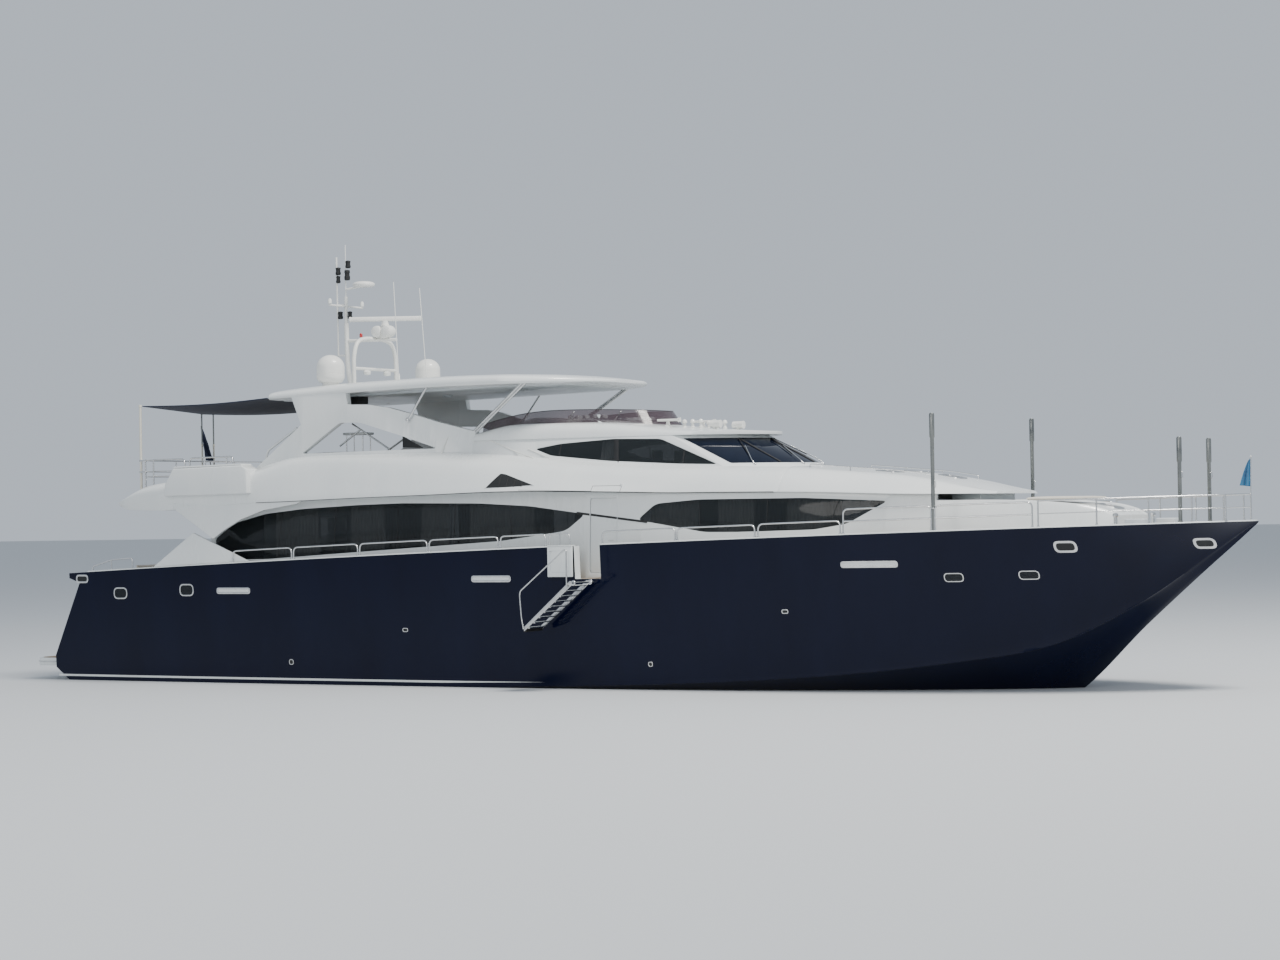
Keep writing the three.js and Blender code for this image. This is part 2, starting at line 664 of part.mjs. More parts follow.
function pilotPlan(z, inset = 0, aftX = PILOT_AFT_X) {
  const rise = (z - SCREEN.lowZ) / (SCREEN.highZ - SCREEN.lowZ);
  const corner = SCREEN.cornerLow + (SCREEN.cornerHigh - SCREEN.cornerLow) * rise - inset * 0.7;
  const middle = SCREEN.middleLow + (SCREEN.middleHigh - SCREEN.middleLow) * rise - inset * 1.3;
  const sideY = (x) => pilotSideAt(x)[1] - PILOT_LEAN * (z - PILOT_REF_Z) - inset;
  const port = steps(aftX + inset, corner, 7).map((x) => [x, sideY(x), z]);
  const cornerY = sideY(corner);
  const front = steps(1, 0, 7).slice(1).map((share) => {
    const x = middle - (middle - corner) * share ** 2;
    return [x, cornerY * share, z];
  });
  const half = [...port, ...front];
  return [...half, ...half.slice(0, -1).reverse().map(([x, y, zz]) => [x, -y, zz])];
}
const bandLevels = [4900, SCREEN.lowZ, ROOF_UNDER_Z - GAP];
const pilotOuter = loft(bandLevels.map((z) => pilotPlan(z)), XY);
const pilotInner = loft([4800, SCREEN.lowZ, ROOF_UNDER_Z + 100].map((z) => pilotPlan(z, WALL_THICK)), XY);
const screenMask = [[3330, 5190], [2080, 5800], [5600, 5800], [5600, 5190]];
const screenCut = sidePlate(screenMask, -2600, 2600);
const pilotCuts = [
  pilotInner,
  upperRaised,
  coachroof.translate([-GAP, 0, GAP]),
  sideCut(PILOT_WINDOW),
  mirrored(sideCut(PILOT_WINDOW)),
  screenCut,
];
piece("pilothouse_band", cutFrom(pilotOuter, pilotCuts), whiteGelcoat);

const paneOuter = loft(bandLevels.map((z) => pilotPlan(z, 12)), XY);
const paneInner = loft([4800, SCREEN.lowZ, ROOF_UNDER_Z + 100].map((z) => pilotPlan(z, 12 + GLASS_THICK)), XY);
const pilotPanes = paneOuter.subtract(paneInner);
const pilotPane = pilotPanes.intersect(sideCut(shrunk(PILOT_WINDOW, GLASS_CLEARANCE))).subtract(upperRaised);
piece("pilothouse_glass_port", pilotPane, tintedGlass);
piece("pilothouse_glass_starboard", mirrored(pilotPane), tintedGlass);
piece(
  "windscreen",
  pilotPanes.intersect(sidePlate(shrunk(screenMask, GLASS_CLEARANCE), -2600, 2600)).subtract(upperRaised),
  screenGlass,
);

// Columns: x, half breadth at the eaves, shoulder height, crown height.
const pilotRoofAt = fair([
  [-3400, 2290, 6090, 6140],
  [-2600, 2250, 6240, 6290],
  [-1500, 2190, 6260, 6310],
  [0, 2070, 6220, 6270],
  [800, 1990, 6150, 6200],
  [1500, 1920, 6070, 6120],
  [2500, 1810, 5990, 6030],
  [3300, 1700, 5945, 5975],
  [3800, 1640, 5925, 5950],
]);
const roofBlank = loft(
  steps(PILOT_AFT_X, 3800, 18).map((x) => {
    const [, eaves, shoulder, crown] = pilotRoofAt(x);
    return section(x, [
      [0, ROOF_UNDER_Z],
      [eaves, ROOF_UNDER_Z],
      [eaves - 60, ROOF_UNDER_Z + 0.55 * (shoulder - ROOF_UNDER_Z)],
      [eaves - 230, shoulder - 25],
      [eaves - 600, shoulder + 15],
      [0, crown],
    ]);
  }),
  YZ,
);
const VISOR = { corner: 2050, middle: 3640, half: 2000 };
const visorFront = steps(-1, 1, 14).map((share) => [
  VISOR.middle - (VISOR.middle - VISOR.corner) * share ** 2,
  VISOR.half * share,
]);
const roofMask = deckPlate(
  [[-3600, 2500], [-3600, -2500], [VISOR.corner, -2500], ...visorFront, [VISOR.corner, 2500]],
  5700,
  6500,
);
const pilotRoof = roofBlank.intersect(roofMask);
piece("pilothouse_roof", pilotRoof, whiteGelcoat);

// The lower trunk on the foredeck, under and ahead of the coachroof
// Columns: x, half breadth at the deck, half breadth at the top edge, top edge height, crown height.
const trunkAt = fair([
  [8501, 2120, 2010, 4130, 4190],
  [10100, 1900, 1720, 4110, 4190],
  [11500, 1660, 1380, 4020, 4100],
  [12100, 1500, 1180, 3910, 3980],
  [12400, 1380, 1040, 3780, 3850],
]);
const TRUNK_FORE_X = 12400;
const trunk = loft(
  steps(HOUSE_FORE_X + GAP, TRUNK_FORE_X, 8).map((x) => {
    const [, low, high, edge, crown] = trunkAt(x);
    return section(x, [[0, deckZ(x) - 60], [low, deckZ(x) - 60], [high, edge], [high - 220, crown], [0, crown]]);
  }),
  YZ,
);
// The block that carries the coachroof's fore end above the lounge recess.
const recessBack = box(HOUSE_FORE_X + GAP, 9200, -1050, 1050, 3900, 4450);
piece("foredeck_trunk", cutFrom(trunk.add(recessBack), [hullRaised, coachDropped]), whiteGelcoat);
piece("foredeck_sunpad", box(10250, 11450, -1000, 1000, 4192, 4290), paleLeather);

// Hardtop on two side arches, with its stainless struts
// In plan both ends are cubic curves between straight sides.
const HARDTOP = { aftX: -9850, foreX: -390, aftRun: 800, foreRun: 1900, half: 2850 };
const hardtopHalf = (x) =>
  HARDTOP.half * Math.cbrt(Math.min((x - HARDTOP.aftX) / HARDTOP.aftRun, (HARDTOP.foreX - x) / HARDTOP.foreRun, 1));
// Columns: x, lower lip height, rim height, crown height.
const hardtopAt = fair([
  [-9850, 7090, 7120, 7135],
  [-9050, 7055, 7225, 7340],
  [-7200, 7110, 7340, 7460],
  [-5400, 7160, 7395, 7495],
  [-3900, 7178, 7430, 7500],
  [-2300, 7185, 7410, 7490],
  [-1300, 7200, 7370, 7440],
  [-390, 7245, 7300, 7325],
]);
const hardtopStations = [
  -9840, -9780, -9650, -9450, -9250, -9050,
  ...steps(-8500, -2800, 8),
  -2290, -1800, -1300, -900, -600, -450, -400,
];
const hardtopSlab = loft(
  hardtopStations.map((x) => {
    const [, lip, rim, crown] = hardtopAt(x);
    const half = hardtopHalf(x);
    return section(x, [
      [0, lip],
      [half * 0.85, lip],
      [half * 0.985, lip + 0.08 * (rim - lip)],
      [half, lip + 0.35 * (rim - lip)],
      [half * 0.975, lip + 0.88 * (rim - lip)],
      [half * 0.86, rim + 0.4 * (crown - rim)],
      [0, crown],
    ]);
  }),
  YZ,
);
const hardtopRaised = hardtopSlab.translate([0, 0, -GAP]);

const STRUT_RADIUS = 32;
const twinStrut = (shift) => rod([-3610 + shift, 2110, 6060], [-1860 + shift, 2500, 7215], STRUT_RADIUS);
const struts = joined([
  twinStrut(0),
  twinStrut(95),
  rod([-5060, 2640, 6400], [-4440, 2690, 7215], STRUT_RADIUS),
]);
const ARCH_OUTLINE = [
  [-9680, 5200], [-9480, 5370], [-8190, 6320], [-8090, 6410], [-8220, 6720], [-8390, 7150], [-6740, 7150],
  [-6700, 6870], [-6590, 6850], [-6050, 6830], [-5580, 6750], [-4960, 6570], [-4360, 6370], [-3560, 6150],
  [-3401, 6110], [-3401, 5400], [-4130, 5400], [-8250, 5400],
];
const ARCH_HOLE = [
  [-8100, 5680], [-6930, 6420], [-6720, 6410], [-6310, 6400], [-5280, 6070], [-4710, 5870], [-4270, 5720],
];
const ARCH_THICK = 180;
// The arch's own skin, upright aft and leaning in to meet the pilothouse side.
// Columns: x, half breadth at ARCH_REF_Z, lean inboard for each unit of height.
const ARCH_REF_Z = 5600;
const archSkinAt = fair([
  [-9800, 2830, 0],
  [-6900, 2830, 0],
  [-5800, 2800, 0.04],
  [-4600, 2620, 0.2],
  [-3400, 2350, 0.35],
]);
const archSkin = loft(
  [-9800, -6900, ...steps(-6400, -3400, 9)].map((x) => {
    const [, half, lean] = archSkinAt(x);
    const outer = (z) => half - lean * (z - ARCH_REF_Z);
    const [low, high] = [outer(5000), outer(7300)];
    return [[x, low - ARCH_THICK, 5000], [x, low, 5000], [x, high, 7300], [x, high - ARCH_THICK, 7300]];
  }),
  YZ,
);
const archBlank = sidePlate(ARCH_OUTLINE, 1500, 3200).subtract(sidePlate(ARCH_HOLE, 1500, 3200));
const pilotRoofRaised = pilotRoof.translate([0, 0, GAP]);
const arch = archBlank.intersect(archSkin);
const arches = [arch, mirrored(arch)].map((side) => cutFrom(side, [upperRaised, hardtopRaised]));
piece("arch_port", arches[0], whiteGelcoat);
piece("arch_starboard", arches[1], whiteGelcoat);
const archesRaised = joined(arches).translate([0, 0, GAP]);
const strutsCut = cutFrom(joined([struts, mirrored(struts)]), [upperRaised, pilotRoofRaised, archesRaised]);
const largest = (solid) => solid.decompose().sort((a, b) => b.volume() - a.volume())[0];

// Domes stand on the hardtop
// Columns: x, y, radius, top height.
const DOMES = [
  [-7830, -1900, 350, 8160],
  [-7420, 1900, 325, 8190],
];
const domes = DOMES.map(([x, y, radius, top]) => {
  const base = hardtopAt(x)[2];
  const wallTop = top - radius * 0.9;
  const cap = steps(0, 90, 5).map((a) => {
    const angle = THREE.MathUtils.degToRad(a);
    return [Math.max(radius * Math.cos(angle), 0), wallTop + radius * 0.9 * Math.sin(angle)];
  });
  return turned([[0, base], [radius * 0.8, base], [radius, base + 140], ...cap.slice(0, -1), [0, top]], x, y);
});
piece("hardtop", largest(joined([hardtopSlab, strutsCut, ...domes])), whiteGelcoat);

// Mast and radar
const MAST_X = -8650;
const HOOP = { x: -7780, half: 950, top: 8640 };
const HOOP_FOOT_Z = hardtopAt(HOOP.x)[2];
const RADAR = { x: -7450, z: 8956 };
const LAMP_POLE_X = -8950;
const spar = (from, to, radius, sides = 6) => rod(from, to, radius, sides);
const mastParts = [
  bentTube([[-8540, 0, 7380], [-8630, 0, 7980], [MAST_X, 0, 9090]], 62, 10),
  spar([MAST_X, 0, 9080], [MAST_X, 0, 9770], 46, 10),
  spar([MAST_X, 0, 9740], [MAST_X, 0, 11110], 16),
  spar([LAMP_POLE_X + 40, 0, 8240], [LAMP_POLE_X, 0, 10220], 26),
  spar([MAST_X, 0, 8260], [LAMP_POLE_X + 30, 0, 8260], 26),
  spar([MAST_X, 0, 9560], [LAMP_POLE_X, 0, 9560], 22),
  spar([MAST_X, -740, 9520], [MAST_X, 740, 9520], 26),
  spar([MAST_X, 0, 8640], [HOOP.x + 60, 0, 8640], 45),
  spar([MAST_X, 0, 9960], [MAST_X + 520, 0, 10010], 26),
  turned([[0, 9990], [200, 9990], [290, 10050], [200, 10120], [0, 10140]], MAST_X + 560, 0, 14),
  bentTube(
    [
      [HOOP.x, -HOOP.half, HOOP_FOOT_Z],
      [HOOP.x, -HOOP.half, 8200],
      [HOOP.x, -HOOP.half + 190, HOOP.top - 110],
      [HOOP.x, -HOOP.half + 520, HOOP.top],
      [HOOP.x, HOOP.half - 520, HOOP.top],
      [HOOP.x, HOOP.half - 190, HOOP.top - 110],
      [HOOP.x, HOOP.half, 8200],
      [HOOP.x, HOOP.half, HOOP_FOOT_Z],
    ],
    55,
    8,
  ),
  spar([HOOP.x, -HOOP.half, 7860], [HOOP.x, HOOP.half, 7860], 42),
  spar([HOOP.x, 0, HOOP.top], [RADAR.x, 0, HOOP.top], 60),
  turned([[0, 8590], [130, 8590], [160, 8700], [125, RADAR.z - 6], [0, RADAR.z - 6]], RADAR.x, 0, 12),
  box(LAMP_POLE_X - 60, LAMP_POLE_X + 60, -60, 60, 10200, 10420),
  box(LAMP_POLE_X - 100, LAMP_POLE_X + 20, -60, 60, 9380, 9560),
  box(MAST_X - 60, MAST_X + 60, -60, 60, 10080, 10330),
];
const mast = joined(mastParts).subtract(hardtopSlab.translate([0, 0, GAP]));
piece("mast", largest(mast), whiteGelcoat);
const scanner = joined([
  box(-60, 60, -920, 920, RADAR.z + 124, RADAR.z + 244),
  turned([[0, RADAR.z], [110, RADAR.z], [90, RADAR.z + 140], [0, RADAR.z + 140]], 0, 0, 12),
]);
const SCANNER_TURN = -62;
piece("radar_scanner", scanner.rotate([0, 0, SCANNER_TURN]).translate([RADAR.x, 0, 0]), whiteGelcoat);
// Tinted wind deflector round the flybridge's front, on the pilothouse roof
function deflectorPlan(z, inset) {
  const rise = (z - 6200) / 350;
  const middle = 950 - 260 * rise - inset;
  const straight = -1500;
  const half = 1900 - 90 * rise - inset;
  const port = steps(-3350, straight, 3).map((x) => [x, half, z]);
  const bow = steps(1, 0, 8).slice(1).map((share) => [
    middle - (middle - straight) * share ** 2.4,
    half * share,
    z,
  ]);
  return [...port, ...bow, ...[...port, ...bow].slice(0, -1).reverse().map(([x, y, zz]) => [x, -y, zz])];
}
const DEFLECTOR_TOP = 6570;
const deflectorOuter = loft([6000, DEFLECTOR_TOP].map((z) => deflectorPlan(z, 0)), XY);
const deflectorInner = loft([5900, DEFLECTOR_TOP + 50].map((z) => deflectorPlan(z, 16)), XY);
const openAft = box(-3500, -3300, -1700, 1700, 5900, 6700);
const DEFLECTOR_SIDE = [
  [-3400, 5900], [-3400, 6270], [-2870, 6400], [-2160, 6520], [-1200, 6570], [200, 6550], [1100, 6500], [1100, 5900],
];
const deflector = deflectorOuter.intersect(sidePlate(DEFLECTOR_SIDE, -2500, 2500));
piece(
  "wind_deflector",
  cutFrom(deflector, [deflectorInner, openAft, pilotRoofRaised, struts, mirrored(struts)]),
  acrylic,
);

// Awning over the flybridge's after end, with its poles and the after rail
// Its after edge runs from the starboard pole to the middle poles, its fore edge along the hardtop.
const AWNING = { aftX: -13360, foreGap: 80, thick: 12, sag: 50, dip: 80 };
// Columns: y and z at the starboard corner, y and z at the port corner.
const AWNING_AFT = [-2450, 7040, 90, 6895];
const AWNING_FORE = [-2300, 7120, 1900, 7030];
function awningPoint(along, across, lift) {
  const [aft, fore] = [AWNING_AFT, AWNING_FORE].map(([y0, z0, y1, z1]) => [
    y0 + (y1 - y0) * across,
    z0 + (z1 - z0) * across,
  ]);
  const foreX = HARDTOP.aftX + HARDTOP.aftRun * (Math.abs(fore[0]) / HARDTOP.half) ** 3 - AWNING.foreGap;
  const dip = AWNING.sag * (1 + across) + AWNING.dip * Math.sin(Math.PI * across);
  return [
    AWNING.aftX + (foreX - AWNING.aftX) * along,
    aft[0] + (fore[0] - aft[0]) * along,
    aft[1] + (fore[1] - aft[1]) * along - dip * Math.sin(Math.PI * along) + lift,
  ];
}
const awningRow = (across, lift) => steps(0, 1, 8).map((along) => awningPoint(along, across, lift));
const awning = loft(
  steps(0, 1, 10).map((across) => [...awningRow(across, 0), ...awningRow(across, AWNING.thick).reverse()]),
  XZ,
);
piece("awning", awning, navyFabric);
const RAIL_TOP_Z = 5640;
const RAIL_CORNERS = [[-9950, -2990], [-12600, -2990], [-13250, -2500], [-13250, 2500], [-12600, 2990], [-9950, 2990]];
const railRing = (z) => RAIL_CORNERS.map((corner) => [...corner, z]);
const postAt = (x, y) => rod([x, y, upperAt(x)[6] - 30], [x, y, RAIL_TOP_Z], RAIL_RADIUS, 6);
const flyRail = joined([
  bentTube(railRing(RAIL_TOP_Z), RAIL_RADIUS),
  bentTube(railRing(5350).slice(1, -1), 12),
  ...[-2500, -1250, 1250, 2500].map((y) => rod([-13250, y, 4560], [-13250, y, RAIL_TOP_Z], RAIL_RADIUS, 6)),
  ...[-12600, -9950].flatMap((x) => [postAt(x, -2990), postAt(x, 2990)]),
  rod([-13410, -2480, 4560], [-13410, -2480, 7090], 34),
  rod([-13400, 60, 4560], [-13400, 60, 6930], 24),
  rod([-13400, 560, 4560], [-13400, 560, 6930], 24),
  rod([-13400, -2470, 5350], [-13250, -2500, 5350], 12, 6),
  rod([-13400, 60, RAIL_TOP_Z], [-13250, 60, RAIL_TOP_Z], 12, 6),
  rod([-13400, 560, RAIL_TOP_Z], [-13250, 560, RAIL_TOP_Z], 12, 6),
]);
const sideBoxes = joined([sideBox, mirrored(sideBox)]).translate([0, 0, GAP]);
piece("flybridge_rail", largest(cutFrom(flyRail, [upperRaised, sideBoxes])), stainless);

// Stainless rails along the bulwarks, on a capping strip; hoops stand end to end
// Columns: first x, last x, height above the capping.
const HOOPS = [
  [-9930, -8090, 280],
  [-8030, -6090, 280],
  [-6030, -4060, 280],
  [-4000, -2050, 280],
  [-1980, -740, 280],
  [790, 2690, 280],
  [2740, 4690, 280],
  [4770, 6750, 290],
  [6820, 8840, 540],
  [8920, 11000, 540],
];
const railLineY = (x) => topsideY(x, sheerZ(x)) - RAIL_INSET;
const CAP_THICK = 26;
const CAP_HALF = 70;
function capStrip(x0, x1, count) {
  return loft(
    steps(x0, x1, count).map((x) => {
      const [y, z] = [railLineY(x), sheerZ(x) + GAP];
      const [inner, outer, top] = [y - CAP_HALF, y + CAP_HALF, z + CAP_THICK];
      return [[x, inner, z], [x, outer, z], [x, outer, top], [x, inner, top]];
    }),
    YZ,
  );
}
const HOOP_CORNER = 110;
function hoop([x0, x1, height]) {
  const foot = (x) => [x, railLineY(x), sheerZ(x) + CAP_THICK / 2];
  const top = (x, drop) => [x, railLineY(x), sheerZ(x) + CAP_THICK + height - drop];
  return bentTube(
    [
      foot(x0),
      top(x0, HOOP_CORNER),
      top(x0 + HOOP_CORNER, 0),
      top(x1 - HOOP_CORNER, 0),
      top(x1, HOOP_CORNER),
      foot(x1),
    ],
    RAIL_RADIUS,
  );
}
// Awning poles on the foredeck stand by the rails, each with a bracket to the capping.
const AFT_POLE = { x: 8880, y: 2990, foot: sheerZ(8880) + 4 * GAP, top: 6150 };
const FORE_POLE = { x: 13810, y: 1030, foot: sheerZ(13810) + 4 * GAP, top: 5520 };
const deckPole = ({ x, y, foot, top }) =>
  joined([
    rod([x, y, foot], [x, y, top], POLE_RADIUS, 10),
    box(x - 30, x + 30, y, railLineY(x) + 40, sheerZ(x) + 4, sheerZ(x) + CAP_THICK),
  ]);
const railAft = joined([capStrip(-14700, 20, 8), ...HOOPS.slice(0, 5).map(hoop)]);
const railFore = joined([capStrip(760, 11060, 8), ...HOOPS.slice(5).map(hoop), deckPole(AFT_POLE)]);
piece("side_rail_aft_port", railAft, stainless);
piece("side_rail_aft_starboard", mirrored(railAft), stainless);
piece("side_rail_fore_port", railFore, stainless);
piece("side_rail_fore_starboard", mirrored(railFore), stainless);

// Pulpit: one rail round the bow, from hoop to hoop
const PULPIT_X = [11120, 12300, 13300, 14100, 14700];
const PULPIT_HEIGHT = 560;
const pulpitSide = (side, height) =>
  PULPIT_X.map((x) => [x, side * railLineY(x), sheerZ(x) + CAP_THICK + height]);
const pulpitNose = (height) => [15060, 0, sheerZ(15000) + CAP_THICK + height];
const pulpitRun = (height, radius) =>
  bentTube([...pulpitSide(1, height), pulpitNose(height), ...pulpitSide(-1, height).reverse()], radius);
const capFore = capStrip(11062, 14650, 6);
// Columns: x, half breadth of the capping where it closes at the stem.
const noseCap = loft(
  [[14600, 790], [14900, 490], [15190, 90]].map(([x, half]) => {
    const z = sheerZ(x) + GAP;
    return [[x, -half, z], [x, half, z], [x, half, z + CAP_THICK], [x, -half, z + CAP_THICK]];
  }),
  YZ,
);
const staffFoot = sheerZ(14800) + CAP_THICK - 10;
const STAFF_TOP = 5040;
const pulpit = joined([
  capFore,
  mirrored(capFore),
  deckPole(FORE_POLE),
  mirrored(deckPole(FORE_POLE)),
  rod([15050, 0, staffFoot], [15075, 0, STAFF_TOP], 14, 8),
  noseCap,
  pulpitRun(PULPIT_HEIGHT, RAIL_RADIUS),
  pulpitRun(PULPIT_HEIGHT / 2, 12),
  ...PULPIT_X.flatMap((x) =>
    [1, -1].map((side) =>
      rod(
        [x, side * railLineY(x), sheerZ(x) + CAP_THICK / 2],
        [x, side * railLineY(x), sheerZ(x) + CAP_THICK + PULPIT_HEIGHT],
        RAIL_RADIUS,
        6,
      ),
    ),
  ),
  rod([15060, 0, sheerZ(15060) + CAP_THICK / 2], pulpitNose(PULPIT_HEIGHT), RAIL_RADIUS, 6),
]);
piece("pulpit", pulpit, stainless);

// White wings on the quarters, standing on the bulwark
const wingFoot = (x) => [x, sheerZ(x) + CAP_THICK + 4 * GAP];
const quarterWing = sidePlate([wingFoot(-12480), [-11210, 3770], wingFoot(-9480)], 3130, 3210);
piece("quarter_wing_port", quarterWing, whiteGelcoat);
piece("quarter_wing_starboard", mirrored(quarterWing), whiteGelcoat);

// Boarding gates: a leaf hinged at the opening's after edge, with a rail hoop of its own
const GATE_LEAF = { x0: GATE_X0 + 12, x1: GATE_X1 - 12, z0: deckZ(300) + 50, thick: 60 };
const gateY = 3400;
const gateLeaf = joined([
  box(GATE_LEAF.x0, GATE_LEAF.x1, gateY - GATE_LEAF.thick / 2, gateY + GATE_LEAF.thick / 2, GATE_LEAF.z0, sheerZ(300)),
  bentTube(
    [
      [GATE_LEAF.x0 + 50, gateY, sheerZ(300) - 40],
      [GATE_LEAF.x0 + 50, gateY, sheerZ(300) + 290],
      [GATE_LEAF.x1 - 50, gateY, sheerZ(300) + 290],
      [GATE_LEAF.x1 - 50, gateY, sheerZ(300) - 40],
    ],
    RAIL_RADIUS,
  ),
]);
// The starboard leaf stands open, turned half round its hinge to lie along the topside.
const GATE_HINGE = { x: 55, y: 3468 };
const gateOpen = gateLeaf
  .translate([-GATE_HINGE.x, -GATE_HINGE.y, 0])
  .rotate([0, 0, 180])
  .translate([GATE_HINGE.x, GATE_HINGE.y, 0]);
piece("gate_door_port", gateLeaf, whiteGelcoat);
piece("gate_door_starboard", mirrored(gateOpen), whiteGelcoat);

// Boarding ladder at the starboard gate, hinged on a pin at its head
const LADDER = { headX: 480, headZ: 2555, footX: -770, footZ: 1490, y0: -4400, y1: -3600, treads: 9 };
const STRINGER_DEPTH = 120;
const LUG_RADIUS = 60;
const ladderRun = (share) => [
  LADDER.headX + (LADDER.footX - LADDER.headX) * share,
  LADDER.headZ + (LADDER.footZ - LADDER.headZ) * share,
];
const stringer = (y) =>
  joined([
    sidePlate(
      [
        [LADDER.headX + 60, LADDER.headZ - STRINGER_DEPTH],
        [LADDER.headX, LADDER.headZ],
        [LADDER.footX, LADDER.footZ],
        [LADDER.footX, LADDER.footZ - STRINGER_DEPTH],
      ],
      y,
      y + 40,
    ),
    rod([LADDER_PIN.x, y, LADDER_PIN.z], [LADDER_PIN.x, y + 40, LADDER_PIN.z], LUG_RADIUS, 12),
  ]);
const HANDRAIL = [[400, 2400], [400, 3300], [-840, 2320], [-860, 2230], [-820, 1710], [-770, 1440]];
const treads = steps(0.06, 0.96, LADDER.treads - 1).map((share) => {
  const [x, z] = ladderRun(share);
  return box(x - 90, x + 90, LADDER.y0 + 20, LADDER.y1 - 20, z - 75, z - 45);
});
piece(
  "boarding_ladder",
  joined([
    stringer(LADDER.y0),
    stringer(LADDER.y1 - 40),
    rod([LADDER_PIN.x, LADDER.y0, LADDER_PIN.z], [LADDER_PIN.x, LADDER.y1, LADDER_PIN.z], 24, 10),
    ...treads,
  ]),
  stainless,
);
// The handrail is clamped to the outboard stringer.
const HANDRAIL_RADIUS = 16;
const handrailY = LADDER.y0 - HANDRAIL_RADIUS - 2 * GAP;
piece("ladder_handrail", bentTube(HANDRAIL.map(([x, z]) => [x, handrailY, z]), HANDRAIL_RADIUS), stainless);

// Transom garage door between the quarters, hinged along its top edge
const GARAGE = { half: 1500, thick: 50 };
const garageDoor = sidePlate(
  [
    [-15090, 2300],
    [-15860, 780],
    [-15860 - GARAGE.thick, 780],
    [-15090 - GARAGE.thick, 2300],
  ],
  -GARAGE.half,
  GARAGE.half,
).subtract(outerHull.subtract(sternCut).translate([-GAP, 0, 0]));
piece("transom_door", garageDoor, navyPaint);

// After deck: settee across the stern and a dining table
const AFT_FLOOR = deckZ(-13700);
const tableFloor = deckZ(-11500) + GAP;
const tablePedestal = [[0, 8], [260, 8], [70, 60], [70, 710], [0, 710]];
piece(
  "aft_deck_furniture",
  joined([
    box(-14500, -13700, -1700, 1700, AFT_FLOOR + 60, AFT_FLOOR + 430),
    box(-14500, -14300, -1700, 1700, AFT_FLOOR + 400, AFT_FLOOR + 820),
    box(-13750, -12200, -150, 150, tableFloor + 10, tableFloor + 90),
    box(-12900, -11500, -700, 700, tableFloor + 700, tableFloor + 745),
    turned(tablePedestal.map(([radius, z]) => [radius, tableFloor + z]), -12200, 0),
  ]),
  paleLeather,
);

// Flybridge: helm console and seats, a covered settee and a covered tender chock aft
const flyFloor = (x) => upperAt(x)[2] + FLOOR_THICK + GAP;
piece(
  "flybridge_furniture",
  joined([
    box(-8200, -5800, 900, 1900, flyFloor(-5800) + 20, flyFloor(-5800) + 430),
    box(-8200, -5800, 1750, 2050, flyFloor(-5800) + 400, flyFloor(-5800) + 840),
    box(-8200, -6000, -2000, -1300, flyFloor(-5800) + 20, flyFloor(-6000) + 900),
    box(-8200, -7900, -1400, 1000, flyFloor(-5800) + 20, flyFloor(-5800) + 120),
  ]),
  paleLeather,
);
piece("covered_sunbed", box(-12900, -10700, -1500, 1500, flyFloor(-10700) + 20, flyFloor(-10700) + 700), navyFabric);

// Pilothouse: helm console with its two seats
const pilotFloor = (x) => upperAt(x)[2] + FLOOR_THICK + GAP;
piece(
  "helm_console",
  sidePlate(
    [
      [1700, pilotFloor(900) + 10],
      [1700, 5250],
      [1850, 5420],
      [2300, 5420],
      [2600, 5320],
      [2600, pilotFloor(900) + 10],
    ],
    -1300,
    1300,
  ),
  darkWood,
);

// Saloon sofas to port and starboard, and a dining table forward
const saloonFloor = (x) => deckZ(x) + GAP;
const saloonSofa = joined([
  box(-8300, -5300, 1450, 2300, saloonFloor(-5300) + 20, saloonFloor(-5300) + 420),
  box(-8300, -5300, 2100, 2350, saloonFloor(-5300) + 400, saloonFloor(-5300) + 800),
]);
const saloonPlinth = box(-7400, -6200, -1500, 1500, saloonFloor(-5300) + 20, saloonFloor(-5300) + 100);
piece("saloon_furniture", joined([saloonSofa, mirrored(saloonSofa), saloonPlinth]), paleLeather);

// Foredeck: anchor windlass with its two gypsies
const windlassFloor = deckZ(13300) + GAP;
// Columns: radius, height above the deck.
const GYPSY = [[0, 10], [150, 10], [150, 60], [95, 120], [95, 200], [140, 280], [0, 290]];
const gypsy = (y) => turned(GYPSY.map(([radius, z]) => [radius, windlassFloor + z]), 13300, y);
piece(
  "windlass",
  joined([gypsy(300), gypsy(-300), box(13230, 13370, -300, 300, windlassFloor + 15, windlassFloor + 60)]),
  stainless,
);

export default yacht;
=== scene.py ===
import json
import math

import bpy
from mathutils import Matrix, Vector


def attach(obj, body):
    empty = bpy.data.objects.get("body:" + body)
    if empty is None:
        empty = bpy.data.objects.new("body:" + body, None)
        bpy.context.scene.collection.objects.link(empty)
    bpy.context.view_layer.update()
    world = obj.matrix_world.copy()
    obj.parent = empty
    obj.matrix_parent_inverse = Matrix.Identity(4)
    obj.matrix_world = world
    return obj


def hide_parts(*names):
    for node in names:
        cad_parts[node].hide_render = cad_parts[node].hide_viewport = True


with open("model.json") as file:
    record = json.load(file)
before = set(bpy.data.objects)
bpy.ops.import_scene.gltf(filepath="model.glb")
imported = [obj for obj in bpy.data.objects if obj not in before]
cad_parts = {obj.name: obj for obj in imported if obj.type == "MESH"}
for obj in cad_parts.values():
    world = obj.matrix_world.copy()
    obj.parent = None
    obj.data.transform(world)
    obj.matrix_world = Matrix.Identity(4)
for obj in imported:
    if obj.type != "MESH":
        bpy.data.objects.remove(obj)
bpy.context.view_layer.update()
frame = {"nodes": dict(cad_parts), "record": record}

# Studio
# A photographer's studio: a plain pale floor at the waterline, two broad soft lights, and a
# camera off the starboard bow, four metres above the floor.
CAMERA_PLACE = Vector((33.4706, -60.5016, 4.0748))
